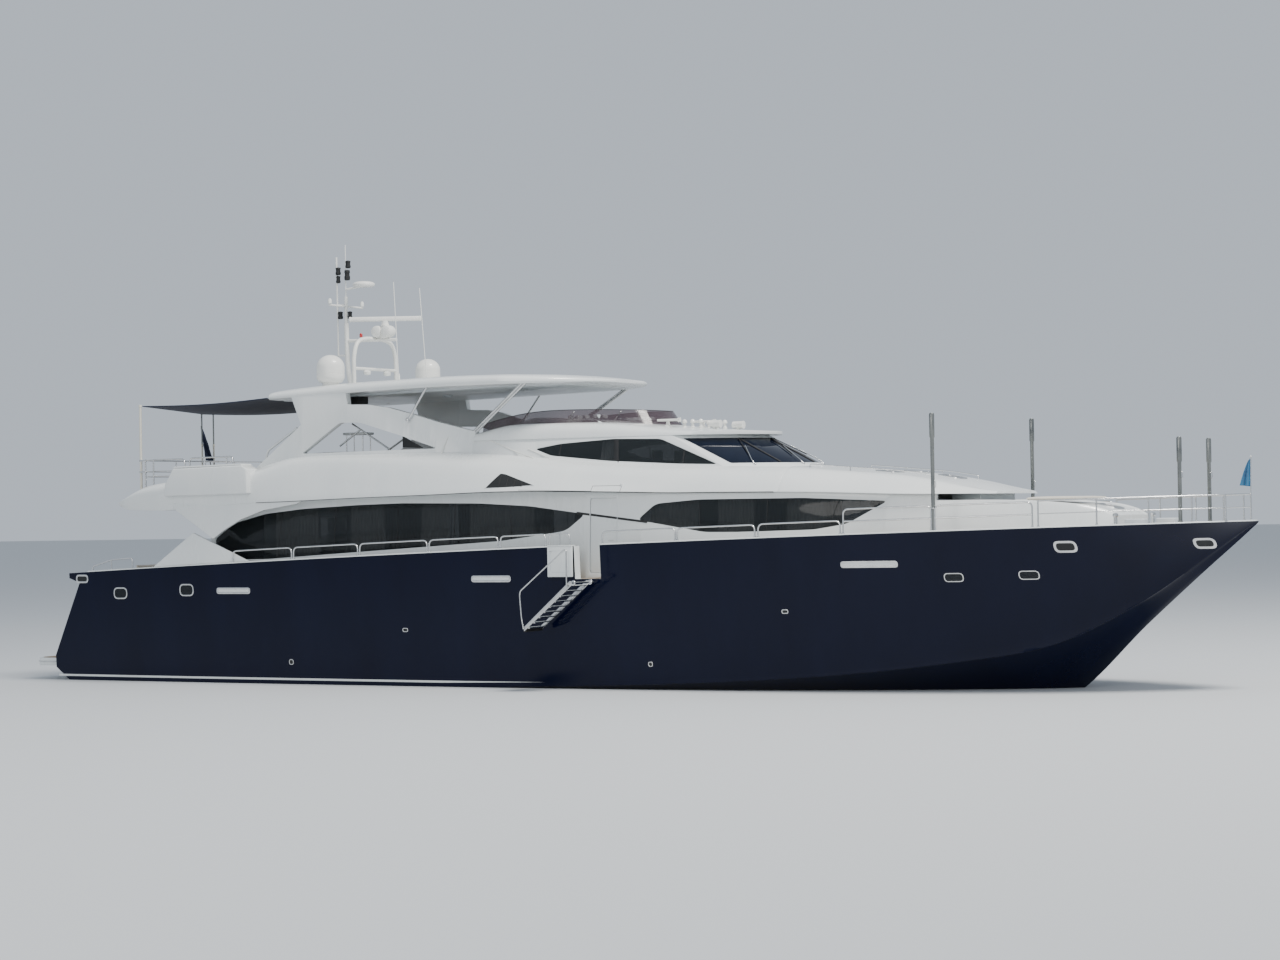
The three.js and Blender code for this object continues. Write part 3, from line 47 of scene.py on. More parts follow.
CAMERA_RIGHT = Vector((0.87427, 0.48512, -0.01737))
CAMERA_UP = Vector((0.02078, -0.00166, 0.99978))
CAMERA_BACK = Vector((0.48499, -0.87444, -0.01153))
CAMERA_LENS_MM = 80.16
SENSOR_WIDTH_MM = 36
VIEW_DEPTH = 2000
FLOOR_SIZE = 900
FLOOR_COLOUR = (0.56, 0.58, 0.6, 1)
WALL_COLOUR = (0.74, 0.82, 0.92, 1)
WARM_WHITE = (1.0, 0.97, 0.92)

camera_data = bpy.data.cameras.new("camera")
camera_data.lens = CAMERA_LENS_MM
camera_data.sensor_width = SENSOR_WIDTH_MM
camera_data.clip_end = VIEW_DEPTH
camera = bpy.data.objects.new("camera", camera_data)
bpy.context.scene.collection.objects.link(camera)
camera.matrix_world = Matrix((CAMERA_RIGHT, CAMERA_UP, CAMERA_BACK)).transposed().to_4x4()
camera.location = CAMERA_PLACE
bpy.context.scene.camera = camera


def deselect():
    bpy.ops.object.select_all(action="DESELECT")


deselect()
bpy.ops.mesh.primitive_plane_add(size=FLOOR_SIZE, location=(0, 0, 0))
floor = bpy.context.object
floor.name = "floor"
floor_paint = bpy.data.materials.new("floor_paint")
floor_paint.use_nodes = True
floor_shader = floor_paint.node_tree.nodes["Principled BSDF"]
floor_shader.inputs["Base Color"].default_value = FLOOR_COLOUR
floor_shader.inputs["Roughness"].default_value = 0.85
floor.data.materials.append(floor_paint)

world = bpy.data.worlds.new("studio")
world.use_nodes = True
studio_walls = world.node_tree.nodes["Background"]
studio_walls.inputs["Color"].default_value = WALL_COLOUR
studio_walls.inputs["Strength"].default_value = 0.75
bpy.context.scene.world = world


def soft_light(name, place, aim, size, power):
    data = bpy.data.lights.new(name, "AREA")
    data.shape = "DISK"
    data.size = size
    data.energy = power
    data.color = WARM_WHITE
    lamp = bpy.data.objects.new(name, data)
    bpy.context.scene.collection.objects.link(lamp)
    lamp.location = place
    lamp.rotation_euler = (Vector(aim) - Vector(place)).to_track_quat("-Z", "Y").to_euler()


soft_light("key_light", (30, -6, 62), (0, 0, 2), 22, 56000)
soft_light("fill_light", (10, -75, 26), (0, 0, 3), 40, 13000)

# Finishes that the whole yacht shares
# Each is a Principled shader whose colour and roughness drift a little over the surface, as
# real gelcoat, paint and steel do, from one cloudy mask read in the piece's own coordinates.
def group_of(name, inputs, outputs):
    group = bpy.data.node_groups.new(name, "ShaderNodeTree")
    for label, value in inputs:
        socket = group.interface.new_socket(label, in_out="INPUT", socket_type="NodeSocketFloat")
        socket.default_value = value
    for label in outputs:
        group.interface.new_socket(label, in_out="OUTPUT", socket_type="NodeSocketFloat")
    return group, group.nodes.new("NodeGroupInput"), group.nodes.new("NodeGroupOutput")


drift_group, drift_in, drift_out = group_of("surface_drift", [("Scale", 1.0), ("Streak", 1.0)], ["Mask"])
drift_place = drift_group.nodes.new("ShaderNodeTexCoord")
drift_stretch = drift_group.nodes.new("ShaderNodeVectorMath")
drift_stretch.operation = "MULTIPLY"
drift_axes = drift_group.nodes.new("ShaderNodeCombineXYZ")
drift_axes.inputs["X"].default_value = 1
drift_axes.inputs["Y"].default_value = 1
drift_noise = drift_group.nodes.new("ShaderNodeTexNoise")
drift_noise.inputs["Detail"].default_value = 5
drift_noise.inputs["Roughness"].default_value = 0.6
drift_range = drift_group.nodes.new("ShaderNodeMapRange")
drift_range.inputs["From Min"].default_value = 0.32
drift_range.inputs["From Max"].default_value = 0.68
link = drift_group.links.new
link(drift_in.outputs["Streak"], drift_axes.inputs["Z"])
link(drift_place.outputs["Object"], drift_stretch.inputs[0])
link(drift_axes.outputs["Vector"], drift_stretch.inputs[1])
link(drift_stretch.outputs["Vector"], drift_noise.inputs["Vector"])
link(drift_in.outputs["Scale"], drift_noise.inputs["Scale"])
link(drift_noise.outputs["Fac"], drift_range.inputs["Value"])
link(drift_range.outputs["Result"], drift_out.inputs["Mask"])


def finish(name, base, second, roughness, drift=(1.5, 1.0), ripple=None, **constants):
    """A material whose colour goes between base and second, and its roughness between two values."""
    made = bpy.data.materials.new(name)
    made.use_nodes = True
    tree = made.node_tree
    shader = tree.nodes["Principled BSDF"]
    cloud = tree.nodes.new("ShaderNodeGroup")
    cloud.node_tree = drift_group
    cloud.inputs["Scale"].default_value = drift[0]
    cloud.inputs["Streak"].default_value = drift[1]
    blend = tree.nodes.new("ShaderNodeMix")
    blend.data_type = "RGBA"
    blend.inputs[6].default_value = (*base, 1)
    blend.inputs[7].default_value = (*second, 1)
    tree.links.new(cloud.outputs["Mask"], blend.inputs[0])
    tree.links.new(blend.outputs[2], shader.inputs["Base Color"])
    spread = tree.nodes.new("ShaderNodeMapRange")
    spread.inputs["To Min"].default_value = roughness[0]
    spread.inputs["To Max"].default_value = roughness[1]
    tree.links.new(cloud.outputs["Mask"], spread.inputs["Value"])
    tree.links.new(spread.outputs["Result"], shader.inputs["Roughness"])
    for label, value in constants.items():
        shader.inputs[label.replace("_", " ")].default_value = value
    if ripple:
        scale, distance = ripple
        place = tree.nodes.new("ShaderNodeTexCoord")
        noise = tree.nodes.new("ShaderNodeTexNoise")
        noise.inputs["Scale"].default_value = scale
        noise.inputs["Detail"].default_value = 3
        bump = tree.nodes.new("ShaderNodeBump")
        bump.inputs["Distance"].default_value = distance
        bump.inputs["Strength"].default_value = 0.6
        tree.links.new(place.outputs["Object"], noise.inputs["Vector"])
        tree.links.new(noise.outputs["Fac"], bump.inputs["Height"])
        tree.links.new(bump.outputs["Normal"], shader.inputs["Normal"])
    return made


white_gelcoat = finish(
    "white_gelcoat", (0.80, 0.82, 0.81), (0.74, 0.77, 0.77), (0.2, 0.32), (0.9, 0.35), (2.2, 0.002),
    Coat_Weight=0.35, Coat_Roughness=0.08,
)
grey_gelcoat = finish(
    "grey_gelcoat", (0.62, 0.65, 0.66), (0.56, 0.6, 0.62), (0.28, 0.4), (2, 0.4), Coat_Weight=0.2,
)
navy_paint = finish(
    "navy_paint", (0.0018, 0.0034, 0.016), (0.0028, 0.005, 0.021), (0.07, 0.13), (0.8, 0.3), (1.1, 0.0012),
    Coat_Weight=0.06, Coat_Roughness=0.04, Specular_IOR_Level=0.16,
)
smoked_glass = finish(
    "smoked_glass", (0.012, 0.016, 0.019), (0.016, 0.02, 0.022), (0.03, 0.06), (3, 1), (1.4, 0.001),
    IOR=1.5, Specular_IOR_Level=0.4, Alpha=0.6,
)
screen_glass = finish(
    "screen_glass", (0.003, 0.006, 0.016), (0.005, 0.009, 0.022), (0.03, 0.05), (3, 1), None, IOR=1.5,
    Specular_IOR_Level=0.35,
)
tinted_acrylic = finish(
    "tinted_acrylic", (0.075, 0.05, 0.062), (0.06, 0.04, 0.052), (0.06, 0.1), (4, 1), None,
    IOR=1.45, Alpha=0.55,
)
polished_steel = finish(
    "polished_steel", (0.8, 0.8, 0.79), (0.66, 0.66, 0.66), (0.12, 0.24), (6, 1), None, Metallic=1.0,
)
bare_bronze = finish(
    "bare_bronze", (0.45, 0.29, 0.12), (0.28, 0.2, 0.1), (0.3, 0.5), (5, 1), (30, 0.001), Metallic=1.0,
)
bottom_paint = finish(
    "bottom_paint", (0.02, 0.022, 0.03), (0.03, 0.03, 0.036), (0.7, 0.85), (4, 1), (60, 0.001),
)
navy_canvas = finish(
    "navy_canvas", (0.006, 0.011, 0.036), (0.009, 0.015, 0.046), (0.8, 0.95), (3, 1), (900, 0.0004),
    Sheen_Weight=0.08,
)
pale_vinyl = finish(
    "pale_vinyl", (0.66, 0.62, 0.54), (0.6, 0.56, 0.49), (0.45, 0.6), (3, 1), (260, 0.0006),
    Sheen_Weight=0.15,
)
varnished_wood = finish(
    "varnished_wood", (0.12, 0.055, 0.025), (0.07, 0.03, 0.015), (0.15, 0.25), (3, 0.12), None,
    Coat_Weight=0.6,
)
oiled_teak = finish("oiled_teak", (0.36, 0.23, 0.12), (0.28, 0.17, 0.09), (0.6, 0.75), (2, 1), (120, 0.0008))

NODE_FINISH = {
    "navy_paint": navy_paint, "white_gelcoat": white_gelcoat, "grey_gelcoat": grey_gelcoat,
    "tinted_glass": smoked_glass, "screen_glass": screen_glass, "acrylic": tinted_acrylic,
    "stainless": polished_steel, "teak": oiled_teak, "navy_fabric": navy_canvas, "pale_leather": pale_vinyl,
    "bronze": bare_bronze, "antifouling": bottom_paint, "dark_wood": varnished_wood,
}
for subpart in frame["record"]["subparts"]:
    node = frame["nodes"][subpart["node"]]
    node.data.materials.clear()
    node.data.materials.append(NODE_FINISH[subpart["material_slot"]])

# Hull
# A moulded glass-fibre hull in one piece with its bulwarks, gloss navy above the waterline and
# dull antifouling paint below. Inside the bulwarks it is white gelcoat, as the deck moulding is.
# Columns: x, half breadth at the sheer, half breadth at the chine, chine height, keel height.
HULL_LINES = [
    (-16, 3.03, 2.86, -0.08, -0.88),
    (-12, 3.24, 3.03, -0.09, -1.01),
    (-8, 3.37, 3.12, -0.07, -1.12),
    (-3, 3.45, 3.16, -0.01, -1.21),
    (2, 3.455, 3.08, 0.12, -1.26),
    (6, 3.34, 2.74, 0.33, -1.2),
    (9, 3.05, 2.01, 0.64, -0.9),
    (11, 2.6, 1.26, 1.01, -0.13),
    (12.7, 1.99, 0.56, 1.88, 1.44),
    (14, 1.24, 0.19, 2.8, 2.59),
    (14.8, 0.62, 0.06, 3.37, 3.27),
    (15.21, 0.06, 0.02, 3.65, 3.63),
]
SPRAY_RAIL = 0.06
BULWARK_HEIGHT = 0.77
TRANSOM_X = -16
BOW_X = 15.21
RAIL_INSET = 0.055


def fair(table):
    """A smooth curve through the rows of a table, read at x, its first column."""
    def slope(row, column):
        before = table[max(row - 1, 0)]
        after = table[min(row + 1, len(table) - 1)]
        return (after[column] - before[column]) / (after[0] - before[0])

    def read(x):
        row = 0
        while row < len(table) - 2 and x > table[row + 1][0]:
            row += 1
        low, high = table[row], table[row + 1]
        run = high[0] - low[0]
        t = min(max((x - low[0]) / run, 0), 1)
        values = []
        for column, value in enumerate(low):
            rise = high[column] - value
            leave = slope(row, column) * run
            arrive = slope(row + 1, column) * run
            curve = t * t * (3 * rise - 2 * leave - arrive) + t ** 3 * (leave + arrive - 2 * rise)
            values.append(value + t * leave + curve)
        return values

    return read


def steps(start, end, count):
    return [start + (end - start) * i / count for i in range(count + 1)]


def smooth_step(x, low, high):
    t = min(max((x - low) / (high - low), 0), 1)
    return t * t * (3 - 2 * t)


def section(x, half):
    """A closed section at x from its port half, keel to top."""
    return [(x, y, z) for y, z in half] + [(x, -y, z) for y, z in reversed(half) if y > 0]


def skin(name, loops):
    """A closed skin over loops of points, one loop after another, with a cap at each end."""
    deselect()
    around = len(loops[0])
    bpy.ops.mesh.primitive_grid_add(x_subdivisions=around, y_subdivisions=len(loops) - 1, size=2)
    made = bpy.context.object
    made.name = name
    for row, loop in enumerate(loops):
        for column in range(around + 1):
            made.data.vertices[row * (around + 1) + column].co = loop[column % around]
    bpy.ops.object.mode_set(mode="EDIT")
    bpy.ops.mesh.select_all(action="SELECT")
    bpy.ops.mesh.remove_doubles(threshold=0.0003)
    bpy.ops.mesh.fill_holes(sides=0)
    bpy.ops.mesh.select_all(action="SELECT")
    bpy.ops.mesh.normals_make_consistent(inside=False)
    bpy.ops.object.mode_set(mode="OBJECT")
    return made


def prism(name, outline, low, high, plane="xz"):
    """A plate of an outline drawn in one plane, from low to high across it."""
    place = {"xz": lambda a, b, c: (a, c, b), "xy": lambda a, b, c: (a, b, c)}[plane]
    deselect()
    bpy.ops.mesh.primitive_circle_add(vertices=len(outline), fill_type="NGON")
    made = bpy.context.object
    made.name = name
    for vertex, (a, b) in zip(made.data.vertices, outline):
        vertex.co = place(a, b, low)
    bpy.ops.object.mode_set(mode="EDIT")
    bpy.ops.mesh.select_all(action="SELECT")
    bpy.ops.mesh.extrude_region_move(TRANSFORM_OT_translate={"value": place(0, 0, high - low)})
    bpy.ops.mesh.select_all(action="SELECT")
    bpy.ops.mesh.normals_make_consistent(inside=False)
    bpy.ops.object.mode_set(mode="OBJECT")
    return made


def block(name, low, high):
    """An upright box between its lowest and its highest corner."""
    (x0, y0, z0), (x1, y1, z1) = low, high
    return prism(name, [(x0, y0), (x1, y0), (x1, y1), (x0, y1)], z0, z1, "xy")


def pick(piece, *others):
    """Selects a piece, and others with it, and makes it the one that is worked on."""
    deselect()
    for chosen in (*others, piece):
        chosen.select_set(True)
    bpy.context.view_layer.objects.active = piece


def apply_change(piece, change):
    pick(piece)
    bpy.ops.object.modifier_apply(modifier=change.name)


def paint(piece, *materials):
    piece.data.materials.clear()
    for material in materials:
        piece.data.materials.append(material)
    return piece


def boolean(piece, other, operation):
    """Works another piece into this one, which takes its paint there; the other is used up."""
    change = piece.modifiers.new(operation.lower(), "BOOLEAN")
    change.operation = operation
    change.solver = "EXACT"
    change.material_mode = "TRANSFER"
    change.object = other
    apply_change(piece, change)
    bpy.data.objects.remove(other)
    return piece


def cut(piece, other):
    return boolean(piece, other, "DIFFERENCE")


def common(piece, other):
    return boolean(piece, other, "INTERSECT")


def join(piece, *others):
    pick(piece, *others)
    bpy.ops.object.join()
    return piece


def as_one(name, parts, material):
    """Joins like parts into one piece of one finish."""
    made = paint(join(*parts), material)
    made.name = name
    return made


def soften(piece, width, angle=35, segments=2):
    """Rounds the sharp edges and shades the rest smooth."""
    if width:
        change = piece.modifiers.new("rounded_edges", "BEVEL")
        change.width = width
        change.segments = segments
        change.limit_method = "ANGLE"
        change.angle_limit = math.radians(angle)
        apply_change(piece, change)
    pick(piece)
    bpy.ops.object.shade_smooth_by_angle(angle=math.radians(angle))
    return piece


def mirrored(piece, name):
    """A copy on the other side of the centreline, with a mesh of its own."""
    pick(piece)
    bpy.ops.object.duplicate()
    other = bpy.context.object
    other.name = name
    for vertex in other.data.vertices:
        vertex.co.y *= -1
    bpy.ops.object.mode_set(mode="EDIT")
    bpy.ops.mesh.select_all(action="SELECT")
    bpy.ops.mesh.flip_normals()
    bpy.ops.object.mode_set(mode="OBJECT")
    return other


def sheer_z(x):
    """Height of the bulwark's top."""
    return 3.33 + 0.0294 * x - 0.00047 * x * x


def deck_z(x):
    """Height of the main deck, which steps up a little towards the bow."""
    return sheer_z(x) - BULWARK_HEIGHT + 0.2 * smooth_step(x, 7, 12.5)


def bulwark_thick(x):
    return 0.25 - 0.14 * smooth_step(x, 3, 9)


hull_at = fair(HULL_LINES)


def topside_y(x, z):
    """Half breadth of the topsides at a height."""
    _, sheer_y, chine_y, chine_z, _ = hull_at(x)
    rise = min(max((z - chine_z) / (sheer_z(x) - chine_z), 0), 1)
    flare = 0.6 + 0.75 * min(max((x - 2) / 10, 0), 1)
    start = chine_y + SPRAY_RAIL * 0.5
    return start + (sheer_y - start) * rise ** flare


def hull_section(x):
    _, _, chine_y, chine_z, keel_z = hull_at(x)
    top = sheer_z(x)
    narrow = min(1, chine_y / 0.6)
    bottom = [(chine_y * t, keel_z + (chine_z - keel_z) * t) for t in (0, 0.33, 0.66, 1)]
    rail = (chine_y + SPRAY_RAIL * narrow, chine_z + 0.02 * narrow)
    heights = [
        chine_z + (top - chine_z) * t for t in (0.05, 0.12, 0.22, 0.35, 0.48, 0.6, 0.71, 0.82, 0.91, 1)
    ]
    return section(x, bottom + [rail] + [(topside_y(x, z), z) for z in heights] + [(0, top)])


WATERLINE_EDGE = (0.012, 0.016)
BOTTOM_COLOUR = (0.022, 0.024, 0.03, 1)
BOTTOM_ROUGHNESS = 0.78
hull_paint = navy_paint.copy()
hull_paint.name = "hull_paint"
hull_tree = hull_paint.node_tree
hull_shader = hull_tree.nodes["Principled BSDF"]
hull_place = hull_tree.nodes.new("ShaderNodeTexCoord")
hull_height = hull_tree.nodes.new("ShaderNodeSeparateXYZ")
hull_tree.links.new(hull_place.outputs["Object"], hull_height.inputs["Vector"])
under_line = hull_tree.nodes.new("ShaderNodeMapRange")
under_line.inputs["From Min"].default_value = WATERLINE_EDGE[0]
under_line.inputs["From Max"].default_value = WATERLINE_EDGE[1]
hull_tree.links.new(hull_height.outputs["Z"], under_line.inputs["Value"])
for socket, below in (("Base Color", BOTTOM_COLOUR), ("Roughness", BOTTOM_ROUGHNESS)):
    above_link = hull_shader.inputs[socket].links[0].from_socket
    mixer = hull_tree.nodes.new("ShaderNodeMix")
    colour = socket == "Base Color"
    mixer.data_type = "RGBA" if colour else "FLOAT"
    low, high, result = (6, 7, 2) if colour else (2, 3, 0)
    mixer.inputs[low].default_value = below
    hull_tree.links.new(under_line.outputs["Result"], mixer.inputs[0])
    hull_tree.links.new(above_link, mixer.inputs[high])
    hull_tree.links.new(mixer.outputs[result], hull_shader.inputs[socket])

hull_stations = [*steps(TRANSOM_X, 6, 70), *steps(6.2, 15, 64), BOW_X]
hull = paint(skin("hull_plating", [hull_section(x) for x in hull_stations]), hull_paint)
stern_outline = [
    (-15.35, 3.6), (-15.35, 2.64), (-15, 2.52), (-15.93, 0.64), (-15.93, 0.33), (-15.3, -0.15), (-15.3, -2),
    (-17.5, -2), (-17.5, 3.6),
]
cut(hull, paint(prism("stern", stern_outline, -4, 4), hull_paint))


def well_section(x):
    floor, top = deck_z(x), sheer_z(x)
    low, high = topside_y(x, floor) - bulwark_thick(x), topside_y(x, top) - bulwark_thick(x)
    return section(x, [(0, floor), (low, floor), (high, top), (high, top + 0.6), (0, top + 0.6)])


well_stations = [*steps(-14.7, 6, 50), *steps(6.2, 14.3, 55)]
cut(hull, paint(skin("well", [well_section(x) for x in well_stations]), white_gelcoat))
GATE_X = (0.05, 0.735)
THRUSTER_RADIUS = 0.19
THRUSTER_PLACE = (8.6, 0, -0.33)
for side in (-1, 1):
    y_range = sorted((side * 2.9, side * 3.9))
    gap = block("gate_gap", (GATE_X[0], y_range[0], deck_z(0.3) + 0.001), (GATE_X[1], y_range[1], 4.2))
    cut(hull, paint(gap, white_gelcoat))
deselect()
bpy.ops.mesh.primitive_cylinder_add(
    vertices=32, radius=THRUSTER_RADIUS, depth=6, location=THRUSTER_PLACE, rotation=(math.pi / 2, 0, 0),
)
bpy.ops.object.transform_apply(location=True, rotation=True, scale=True)
cut(hull, paint(bpy.context.object, bottom_paint))
soften(hull, 0.012, 38)
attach(hull, "yacht")

keel_bar = prism("keel_bar", [(-9, -1.05), (-8, -1.4), (4.5, -1.45), (6.5, -1.1)], -0.09, 0.09)
paint(soften(keel_bar, 0.03), bottom_paint)
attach(keel_bar, "yacht")
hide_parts("hull", "bulwark_fore", "bulwark_aft")

# Upper deck
# One white moulding that carries the flybridge and the pilothouse, from the after deck's roof to
# the foot of the windscreen. Its side rolls in from a sharp lower edge to the coaming.
# Columns: x, lower edge y and z, shoulder y and z, belt y and z.
UPPER_LINES = [
    (-13.7, 2.96, 4.47, 3.02, 4.51, 2.96, 4.54),
    (-13.45, 3.08, 4.39, 3.17, 4.55, 3.05, 4.65),
    (-12.9, 3.14, 4.36, 3.25, 4.7, 3.06, 4.92),
    (-12.1, 3.17, 4.345, 3.27, 4.78, 3.08, 5.055),
    (-10.5, 3.23, 4.43, 3.3, 4.9, 3.06, 5.2),
    (-9.4, 3.25, 4.49, 3.29, 5.05, 2.96, 5.34),
    (-8.3, 3.26, 4.51, 3.09, 5.36, 2.62, 5.66),
    (-6.2, 3.27, 4.56, 3.06, 5.39, 2.59, 5.7),
    (-4.4, 3.27, 4.59, 3.04, 5.28, 2.54, 5.64),
    (-2.2, 3.24, 4.63, 3, 5.09, 2.44, 5.5),
    (-0.5, 3.13, 4.61, 2.9, 4.89, 2.3, 5.34),
    (1.2, 2.9, 4.56, 2.76, 4.74, 2.18, 5.22),
    (2.2, 2.77, 4.53, 2.64, 4.76, 2.11, 5.17),
    (3.2, 2.7, 4.52, 2.56, 4.76, 2.02, 5.12),
    (4.9, 2.59, 4.5, 2.44, 4.73, 1.86, 5.07),
]
upper_at = fair(UPPER_LINES)
FLOOR_THICK = 0.13


def rolled(points, pieces):
    """Points of a smooth curve that passes through the given ones."""
    smooth = [points[0]]
    for i in range(len(points) - 1):
        before = points[max(i - 1, 0)]
        start, end = points[i], points[i + 1]
        after = points[min(i + 2, len(points) - 1)]
        for step in range(1, pieces + 1):
            t = step / pieces
            smooth.append(tuple(
                0.5 * (
                    2 * b + (c - a) * t + (2 * a - 5 * b + 4 * c - d) * t * t
                    + (3 * b - a - 3 * c + d) * t ** 3
                )
                for a, b, c, d in zip(before, start, end, after)
            ))
    return smooth


def upper_side(x):
    """The side of the moulding from its lower edge up to the coaming, as y and z."""
    _, edge_y, edge_z, shoulder_y, shoulder_z, belt_y, belt_z = upper_at(x)
    middle = ((shoulder_y + belt_y) / 2 + 0.06, (shoulder_z + belt_z) / 2 + 0.04)
    return rolled([(edge_y, edge_z), (shoulder_y, shoulder_z), middle, (belt_y, belt_z)], 4)


def upper_section(x):
    _, edge_y, edge_z, _, _, _, belt_z = upper_at(x)
    return section(x, [(0, edge_z), (edge_y * 0.96, edge_z)] + upper_side(x) + [(0, belt_z)])


def tub(name, x0, x1, inset):
    """What is scooped out of the moulding to make a floor with coamings round it."""
    loops = []
    for x in steps(x0, x1, 60):
        _, _, edge_z, _, _, belt_y, _ = upper_at(x)
        half = belt_y - inset
        floor = edge_z + FLOOR_THICK
        loops.append(
            section(x, [(0, floor), (half - 0.1, floor), (half, floor + 0.1), (half, 6.2), (0, 6.2)])
        )
    return skin(name, loops)


upper_stations = [-13.7, -13.6, -13.45, -13.3, -13.1, *steps(-12.9, 4.9, 110)]
upper_deck = paint(skin("upper_moulding", [upper_section(x) for x in upper_stations]), white_gelcoat)
cut(upper_deck, tub("fly_tub", -13.3, -3.75, 0.12))
cut(upper_deck, tub("pilot_tub", -3, 3.05, 0.3))
soften(upper_deck, 0.014, 32, 3)
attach(upper_deck, "yacht")

hanging_wing_outline = [
    (-11.8, 4.52), (-11.8, 4.39), (-10.57, 3.61), (-10.25, 3.81), (-9.7, 4.08), (-9, 4.3), (-8, 4.44),
    (-7.7, 4.56),
]
side_box_outline = [(-11.93, 4.7), (-11.9, 5), (-11.64, 5.39), (-9.5, 5.43), (-9.33, 5.33), (-9.33, 4.72)]
hanging_wing = paint(prism("hanging_wing", hanging_wing_outline, 3.13, 3.23), white_gelcoat)
soften(hanging_wing, 0.02, 35, 3)
side_box = paint(prism("side_box", side_box_outline, 2.96, 3.44), white_gelcoat)
soften(side_box, 0.035, 35, 3)
for piece in (hanging_wing, side_box):
    for made in (piece, mirrored(piece, piece.name + "_starboard")):
        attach(made, "yacht")
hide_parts("upper_deck", "pilothouse_deck")

# Coachroof
# The long low roof over the forward cabins, a white moulding that carries on from the upper deck
# and runs down to a thin lip ahead.
# Columns: x, lower edge y and z, shoulder y and z, top edge y and z.
COACH_LINES = [
    (4.9, 2.59, 4.5, 2.44, 4.73, 1.86, 5.07),
    (5.75, 2.49, 4.48, 2.33, 4.69, 1.76, 4.99),
    (6.76, 2.33, 4.44, 2.17, 4.62, 1.64, 4.9),
    (7.49, 2.21, 4.41, 2.05, 4.56, 1.54, 4.83),
    (8.3, 2.06, 4.39, 1.9, 4.48, 1.42, 4.7),
    (8.97, 1.86, 4.38, 1.73, 4.42, 1.26, 4.56),
    (9.4, 1.64, 4.375, 1.54, 4.395, 1.08, 4.45),
    (9.66, 1.33, 4.37, 1.26, 4.378, 0.9, 4.395),
]
coach_at = fair(COACH_LINES)


def coach_section(x):
    _, edge_y, edge_z, shoulder_y, shoulder_z, top_y, top_z = coach_at(x)
    middle = ((shoulder_y + top_y) / 2 + 0.04, (shoulder_z + top_z) / 2 + 0.04)
    over = (top_y * 0.5, top_z + 0.03)
    side = rolled([(edge_y, edge_z), (shoulder_y, shoulder_z), middle, (top_y, top_z), over], 3)
    return section(x, [(0, edge_z), (edge_y * 0.95, edge_z)] + side + [(0, top_z + 0.04)])


coach_stations = [*steps(4.9, 9.4, 50), 9.48, 9.56, 9.62, 9.66]
coachroof = paint(skin("coachroof_moulding", [coach_section(x) for x in coach_stations]), white_gelcoat)
soften(coachroof, 0.012, 40)
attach(coachroof, "yacht")
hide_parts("coachroof")

# Foredeck trunk
# The lower part of the cabin roof ahead, with the recess under the coachroof's lip, whose back is painted
# grey as painted shade.
# Columns: x, half breadth at the deck, half breadth at the top edge, top edge height, crown height.
TRUNK_LINES = [
    (8.501, 2.12, 2.01, 4.13, 4.19),
    (10.1, 1.9, 1.72, 4.11, 4.19),
    (11.5, 1.66, 1.38, 4.02, 4.1),
    (12.1, 1.5, 1.18, 3.91, 3.98),
    (12.4, 1.38, 1.04, 3.78, 3.85),
]
trunk_at = fair(TRUNK_LINES)


def trunk_section(x):
    _, low, high, edge, crown = trunk_at(x)
    side = rolled([(low, deck_z(x) - 0.06), (high, edge), (high - 0.22, crown - 0.01), (0.3, crown)], 4)
    return section(x, [(0, deck_z(x) - 0.06)] + side + [(0, crown)])


trunk = paint(skin("trunk_moulding", [trunk_section(x) for x in steps(8.501, 12.4, 44)]), white_gelcoat)
soften(trunk, 0.03, 40, 3)
# The recess's back is painted grey: painted shade under the coachroof's lip.
recess_back_painted_shade = paint(block("recess_back_painted_shade", (8.501, -1.05, 3.95), (9.2, 1.05, 4.45)), grey_gelcoat)
soften(recess_back_painted_shade, 0.02)
for piece in (trunk, recess_back_painted_shade):
    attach(piece, "yacht")
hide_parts("foredeck_trunk")

# Deckhouse walls and their glass
# White moulded walls with long smoked windows bonded flush into them, one pane behind the other,
# and a weathertight door on each side amidships.
# Columns: x, half breadth at the deck, half breadth at the top.
WALL_LINES = [
    (-11.1, 2.64, 2.57),
    (-9.6, 2.68, 2.6),
    (-5, 2.74, 2.65),
    (0, 2.78, 2.68),
    (1.2, 2.8, 2.7),
    (2.2, 2.79, 2.67),
    (3.2, 2.75, 2.61),
    (4.9, 2.64, 2.49),
    (6.76, 2.39, 2.22),
    (8.5, 2.08, 1.89),
]
# Window and door outlines, x and z, as seen from the side.
SALOON_WINDOW = [
    (-10.2, 3.08), (-9.35, 3.08), (-2.4, 3.46), (-0.6, 3.68), (-0.06, 4.07), (-1.6, 4.28),
    (-3.05, 4.37), (-5.2, 4.41), (-6.5, 4.39), (-8.2, 4.32), (-9.39, 4.21), (-10.39, 3.98),
    (-10.96, 3.6), (-10.96, 3.4),
]
CABIN_WINDOW = [
    (1.34, 3.91), (3.06, 3.61), (3.86, 3.6), (5.73, 3.63), (6.5, 3.75), (7.42, 4.25), (5.47, 4.35),
    (2.9, 4.36), (1.81, 4.28),
]
PILOT_WINDOW = [
    (-1.69, 5.64), (-1.23, 5.47), (0.3, 5.31), (2.15, 5.2), (3.08, 5.17), (1.56, 5.8), (0.34, 5.83),
    (-1.01, 5.75),
]
SIDE_DOOR = [(0.06, 2.69), (0.8, 2.69), (0.8, 4.44), (0.06, 4.44)]
wall_at = fair(WALL_LINES)
WALL_THICK = 0.1
# How far from the centreline a cut starts and ends that goes through the port side's wall only.
ONE_SIDE = (1.3, 3.4)
HOUSE_STATIONS = steps(-11.1, 8.5, 98)


def roof_under_z(x):
    return upper_at(x)[2] if x < 4.9 else coach_at(x)[2]


